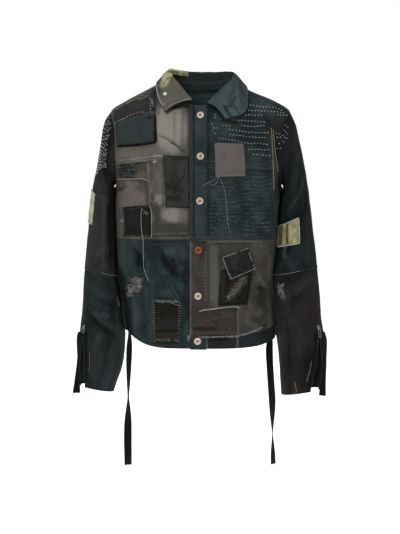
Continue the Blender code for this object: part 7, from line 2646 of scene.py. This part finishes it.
@dataclass
class LooseThread:
    """A thread end that hangs free down the cloth."""

    name: str
    finish: ThreadFinish
    slot: str
    diameter: float = 0.0011

    def build(self, points: Array) -> None:
        """Make the thread along its route.

        Args:
            points: The route, in metres, from where it leaves the cloth.
        """
        steps = distances(points)
        at = np.linspace(0, steps[-1], max(16, round(steps[-1] / 0.005)))
        path = np.stack([np.interp(at, steps, points[:, axis]) for axis in range(3)], -1)
        for _ in range(3):
            path[1:-1] = (path[:-2] + 2 * path[1:-1] + path[2:]) / 4
        curve = bpy.data.curves.new(self.name, "CURVE")
        curve.dimensions = "3D"
        curve.bevel_depth = self.diameter / 2
        curve.bevel_resolution = 2
        curve.use_fill_caps = True
        spline = curve.splines.new("POLY")
        spline.points.add(len(path) - 1)
        spline.points.foreach_set("co", np.concatenate((path, np.ones((len(path), 1))), 1).ravel())
        curve.materials.append(WARDROBE.get(self.finish))
        thing = place_piece(new_thing(self.name, curve))
        length = float(np.linalg.norm(np.diff(path, axis=0), axis=1).sum())
        LOG.info("%s: %.3f m long", self.name, length)


def loose_threads(fronts: Fronts, left: Sleeve) -> None:
    """Make every loose thread."""
    routes = (
        ("thread_long", PALE_THREAD, ((-0.137, -0.295), (-0.1402, -0.312), (-0.139, -0.348),
         (-0.1355, -0.373), (-0.1352, -0.41), (-0.1362, -0.438), (-0.129, -0.458), (-0.122, -0.472))),
        ("thread_short", PALE_THREAD, ((-0.1225, -0.288), (-0.1165, -0.296), (-0.1148, -0.31),
         (-0.1152, -0.366))),
        ("thread_tail", GREY_THREAD, ((0.047, -0.219), (0.056, -0.238), (0.062, -0.262),
         (0.065, -0.3), (0.0672, -0.33), (0.0725, -0.356))),
        ("thread_end", GREY_THREAD, ((0.046, -0.219), (0.03, -0.232), (0.018, -0.236),
         (0.006, -0.243))),
        ("thread_loop", GREY_THREAD, ((0.0455, -0.22), (0.043, -0.232), (0.037, -0.24),
         (0.024, -0.24))),
    )
    for name, finish, route in routes:
        line = np.array(route)
        reach = distances(line)
        at = np.linspace(0, reach[-1], 60)
        x, z = np.interp(at, reach, line[:, 0]), np.interp(at, reach, line[:, 1])
        points = fronts.place(x, z, np.full(60, THREAD_LIFT))
        LooseThread(name, finish, "washed", 0.0008).build(points)
    start = left.place(np.array([113.0]), np.array([0.994]), np.array([CUFF_THREAD_LIFT]))[0]
    drop = np.linspace(0, 1, 40)[:, None]
    sway = np.sin(drop * 7) * np.array([0.004, 0, 0]) + drop * np.array([0.012, 0, 0])
    LooseThread("thread_cuff", OLIVE_THREAD, "umber", 0.0009).build(
        start + drop * np.array([0, 0, -0.086]) + sway)
    start = left.place(np.array([64.0]), np.array([0.997]), np.array([CUFF_THREAD_LIFT]))[0]
    LooseThread("thread_cuff_short", GREY_THREAD, "umber", 0.0007).build(
        start + drop * np.array([0.001, 0, -0.034]))


# ---------------------------------------------------------------- studio
@dataclass
class Studio:
    """Camera, soft lights and a plain pale floor."""

    eye: tuple[float, float, float] = (0.0, -3.6, -0.3)
    pitch: float = -2.267
    lens: float = 97.155
    shift: float = 0.00094
    floor: float = -1.02
    aim: float = -0.4
    backdrop: float = 0.84
    ambient: float = 0.16
    ground: float = 16.0
    behind: float = 7.4
    lights: tuple[tuple[str, tuple[float, float, float], float, float], ...] = (
        ("key", (-1.5, -3.2, 1.6), 1.5, 52), ("fill", (2.2, -3.0, 0.4), 2.0, 15),
        ("top", (0.0, -0.4, 2.6), 1.6, 20), ("back", (0.6, 3.6, 1.4), 2.2, 36))

    def camera(self) -> None:
        """Place the camera."""
        lens = bpy.data.cameras.new("camera")
        lens.lens, lens.sensor_width, lens.shift_x = self.lens, 36.0, self.shift
        camera = new_thing("camera", lens)
        camera.location = self.eye
        camera.rotation_euler = (math.radians(90 + self.pitch), 0, 0)
        bpy.context.scene.camera = camera

    def light(self, name: str, place: tuple[float, float, float], size: float, power: float) -> None:
        """Place a soft box that faces the jacket."""
        lamp = bpy.data.lights.new(name, "AREA")
        lamp.shape, lamp.size, lamp.energy = "SQUARE", size, power
        thing = new_thing(name, lamp)
        thing.location = place
        way = Vector((0, 0, self.aim)) - Vector(place)
        thing.rotation_euler = way.to_track_quat("-Z", "Y").to_euler()

    def build(self) -> None:
        """Lights, world and floor."""
        for light in self.lights:
            self.light(*light)
        world = bpy.data.worlds.new("studio")
        world.use_nodes = True
        tree = world.node_tree
        shade = tree.nodes["Background"]
        ray = tree.nodes.new("ShaderNodeLightPath")
        glow = tree.nodes.new("ShaderNodeMath")
        glow.operation = "MULTIPLY_ADD"
        tree.links.new(ray.outputs["Is Camera Ray"], glow.inputs[0])
        glow.inputs[1].default_value = self.backdrop
        glow.inputs[2].default_value = self.ambient
        tree.links.new(glow.outputs[0], shade.inputs["Strength"])
        shade.inputs["Color"].default_value = (1, 1, 1, 1)
        bpy.context.scene.world = world
        bpy.context.scene.view_settings.view_transform = "Standard"
        bpy.ops.mesh.primitive_grid_add(x_subdivisions=4, y_subdivisions=4, size=self.ground)
        ground = bpy.context.object
        ground.name = "floor"
        ground.location = (0, self.behind, self.floor)
        ground.data.materials.append(WARDROBE.get(PlainFinish("pale_floor", 0.9, 1.0)))


# ---------------------------------------------------------------- the whole jacket
def main() -> None:
    """Build the jacket piece by piece."""
    logging.basicConfig(level=logging.INFO, format="%(name)s: %(message)s")
    torso = TorsoForm()
    fronts = Fronts(torso)
    right = Sleeve(Side.RIGHT, SleeveForm(-1), ("charcoal", "navy"), (0.33, 0.452, -35, 52), (
        (0.83, 0.002, 0.22), (0.86, 0.007, 0.3), (0.92, 0.004, 0.23), (0.97, 0.009, 0.2),
        (1.02, 0.018, 0.08)))
    left = Sleeve(Side.LEFT, SleeveForm(1), ("navy", "umber"), (0.412, 0.515, 84, 158), (
        (0.82, 0.002, 0.3), (0.86, 0.006, 0.38), (0.92, 0.006, 0.3), (0.97, 0.01, 0.16),
        (1.015, 0.017, 0.05)))
    studio = Studio()
    studio.camera()
    loose_threads(fronts, left)
    kit = ThreadKit()
    body = BodyCloth(torso)
    body.build()
    PatchWork(torso, fronts).build()
    for sleeve in (right, left):
        sleeve.build_cloth()
        sleeve.teeth(kit.metal)
        sleeve.sew(kit)
    collar = Collar(body, {Side.RIGHT: CollarForm(-1, torso), Side.LEFT: CollarForm(1, torso)})
    collar.build()
    collar.sew(kit)
    Buttons(fronts).build()
    dress_metal(("zip_slider_right", "zip_slider_left", "zip_pull_right",
                 "zip_pull_left"), STEEL)
    HemTapes(HEM_TAPES).build(kit)
    FrontSewing(fronts, body).build(kit)
    BackSewing(body).build(kit)
    kit.make()
    studio.build()


HEM_TAPES = {
    Side.RIGHT: measured(
        Hang, 0, 3, (-940, -179.7, 1, 30), (-910, -180, 2, 24), (-877, -180.3, 3, 15),
        (-835, -180, 3, 28), (-800, -179.6, 2, 60), (-769, -179.4, 0, 84), (-735, -178.5, -2, 72),
        (-690, -177.5, -3, 55), (-645, -176.2, -3, 50), (-612, -175.7, -2, 74), (-588, -177.5, 0, 90),
        (-566, -179.5, 0, 90)),
    Side.LEFT: measured(
        Hang, 0, 3, (-938, 186, 3, -128), (-910, 185.2, 3, -122), (-880, 184.5, 2, -104),
        (-848, 183.6, 0, -84), (-815, 183.2, -2, -60), (-776, 182.4, -4, -38), (-735, 179.6, -5, -36),
        (-690, 176.6, -6, -36), (-650, 175, -6, -32), (-628, 176.8, -5, -50), (-610, 181.2, -3, -90),
        (-592, 181.6, -2, -90))}

if __name__ == "__main__":
    main()
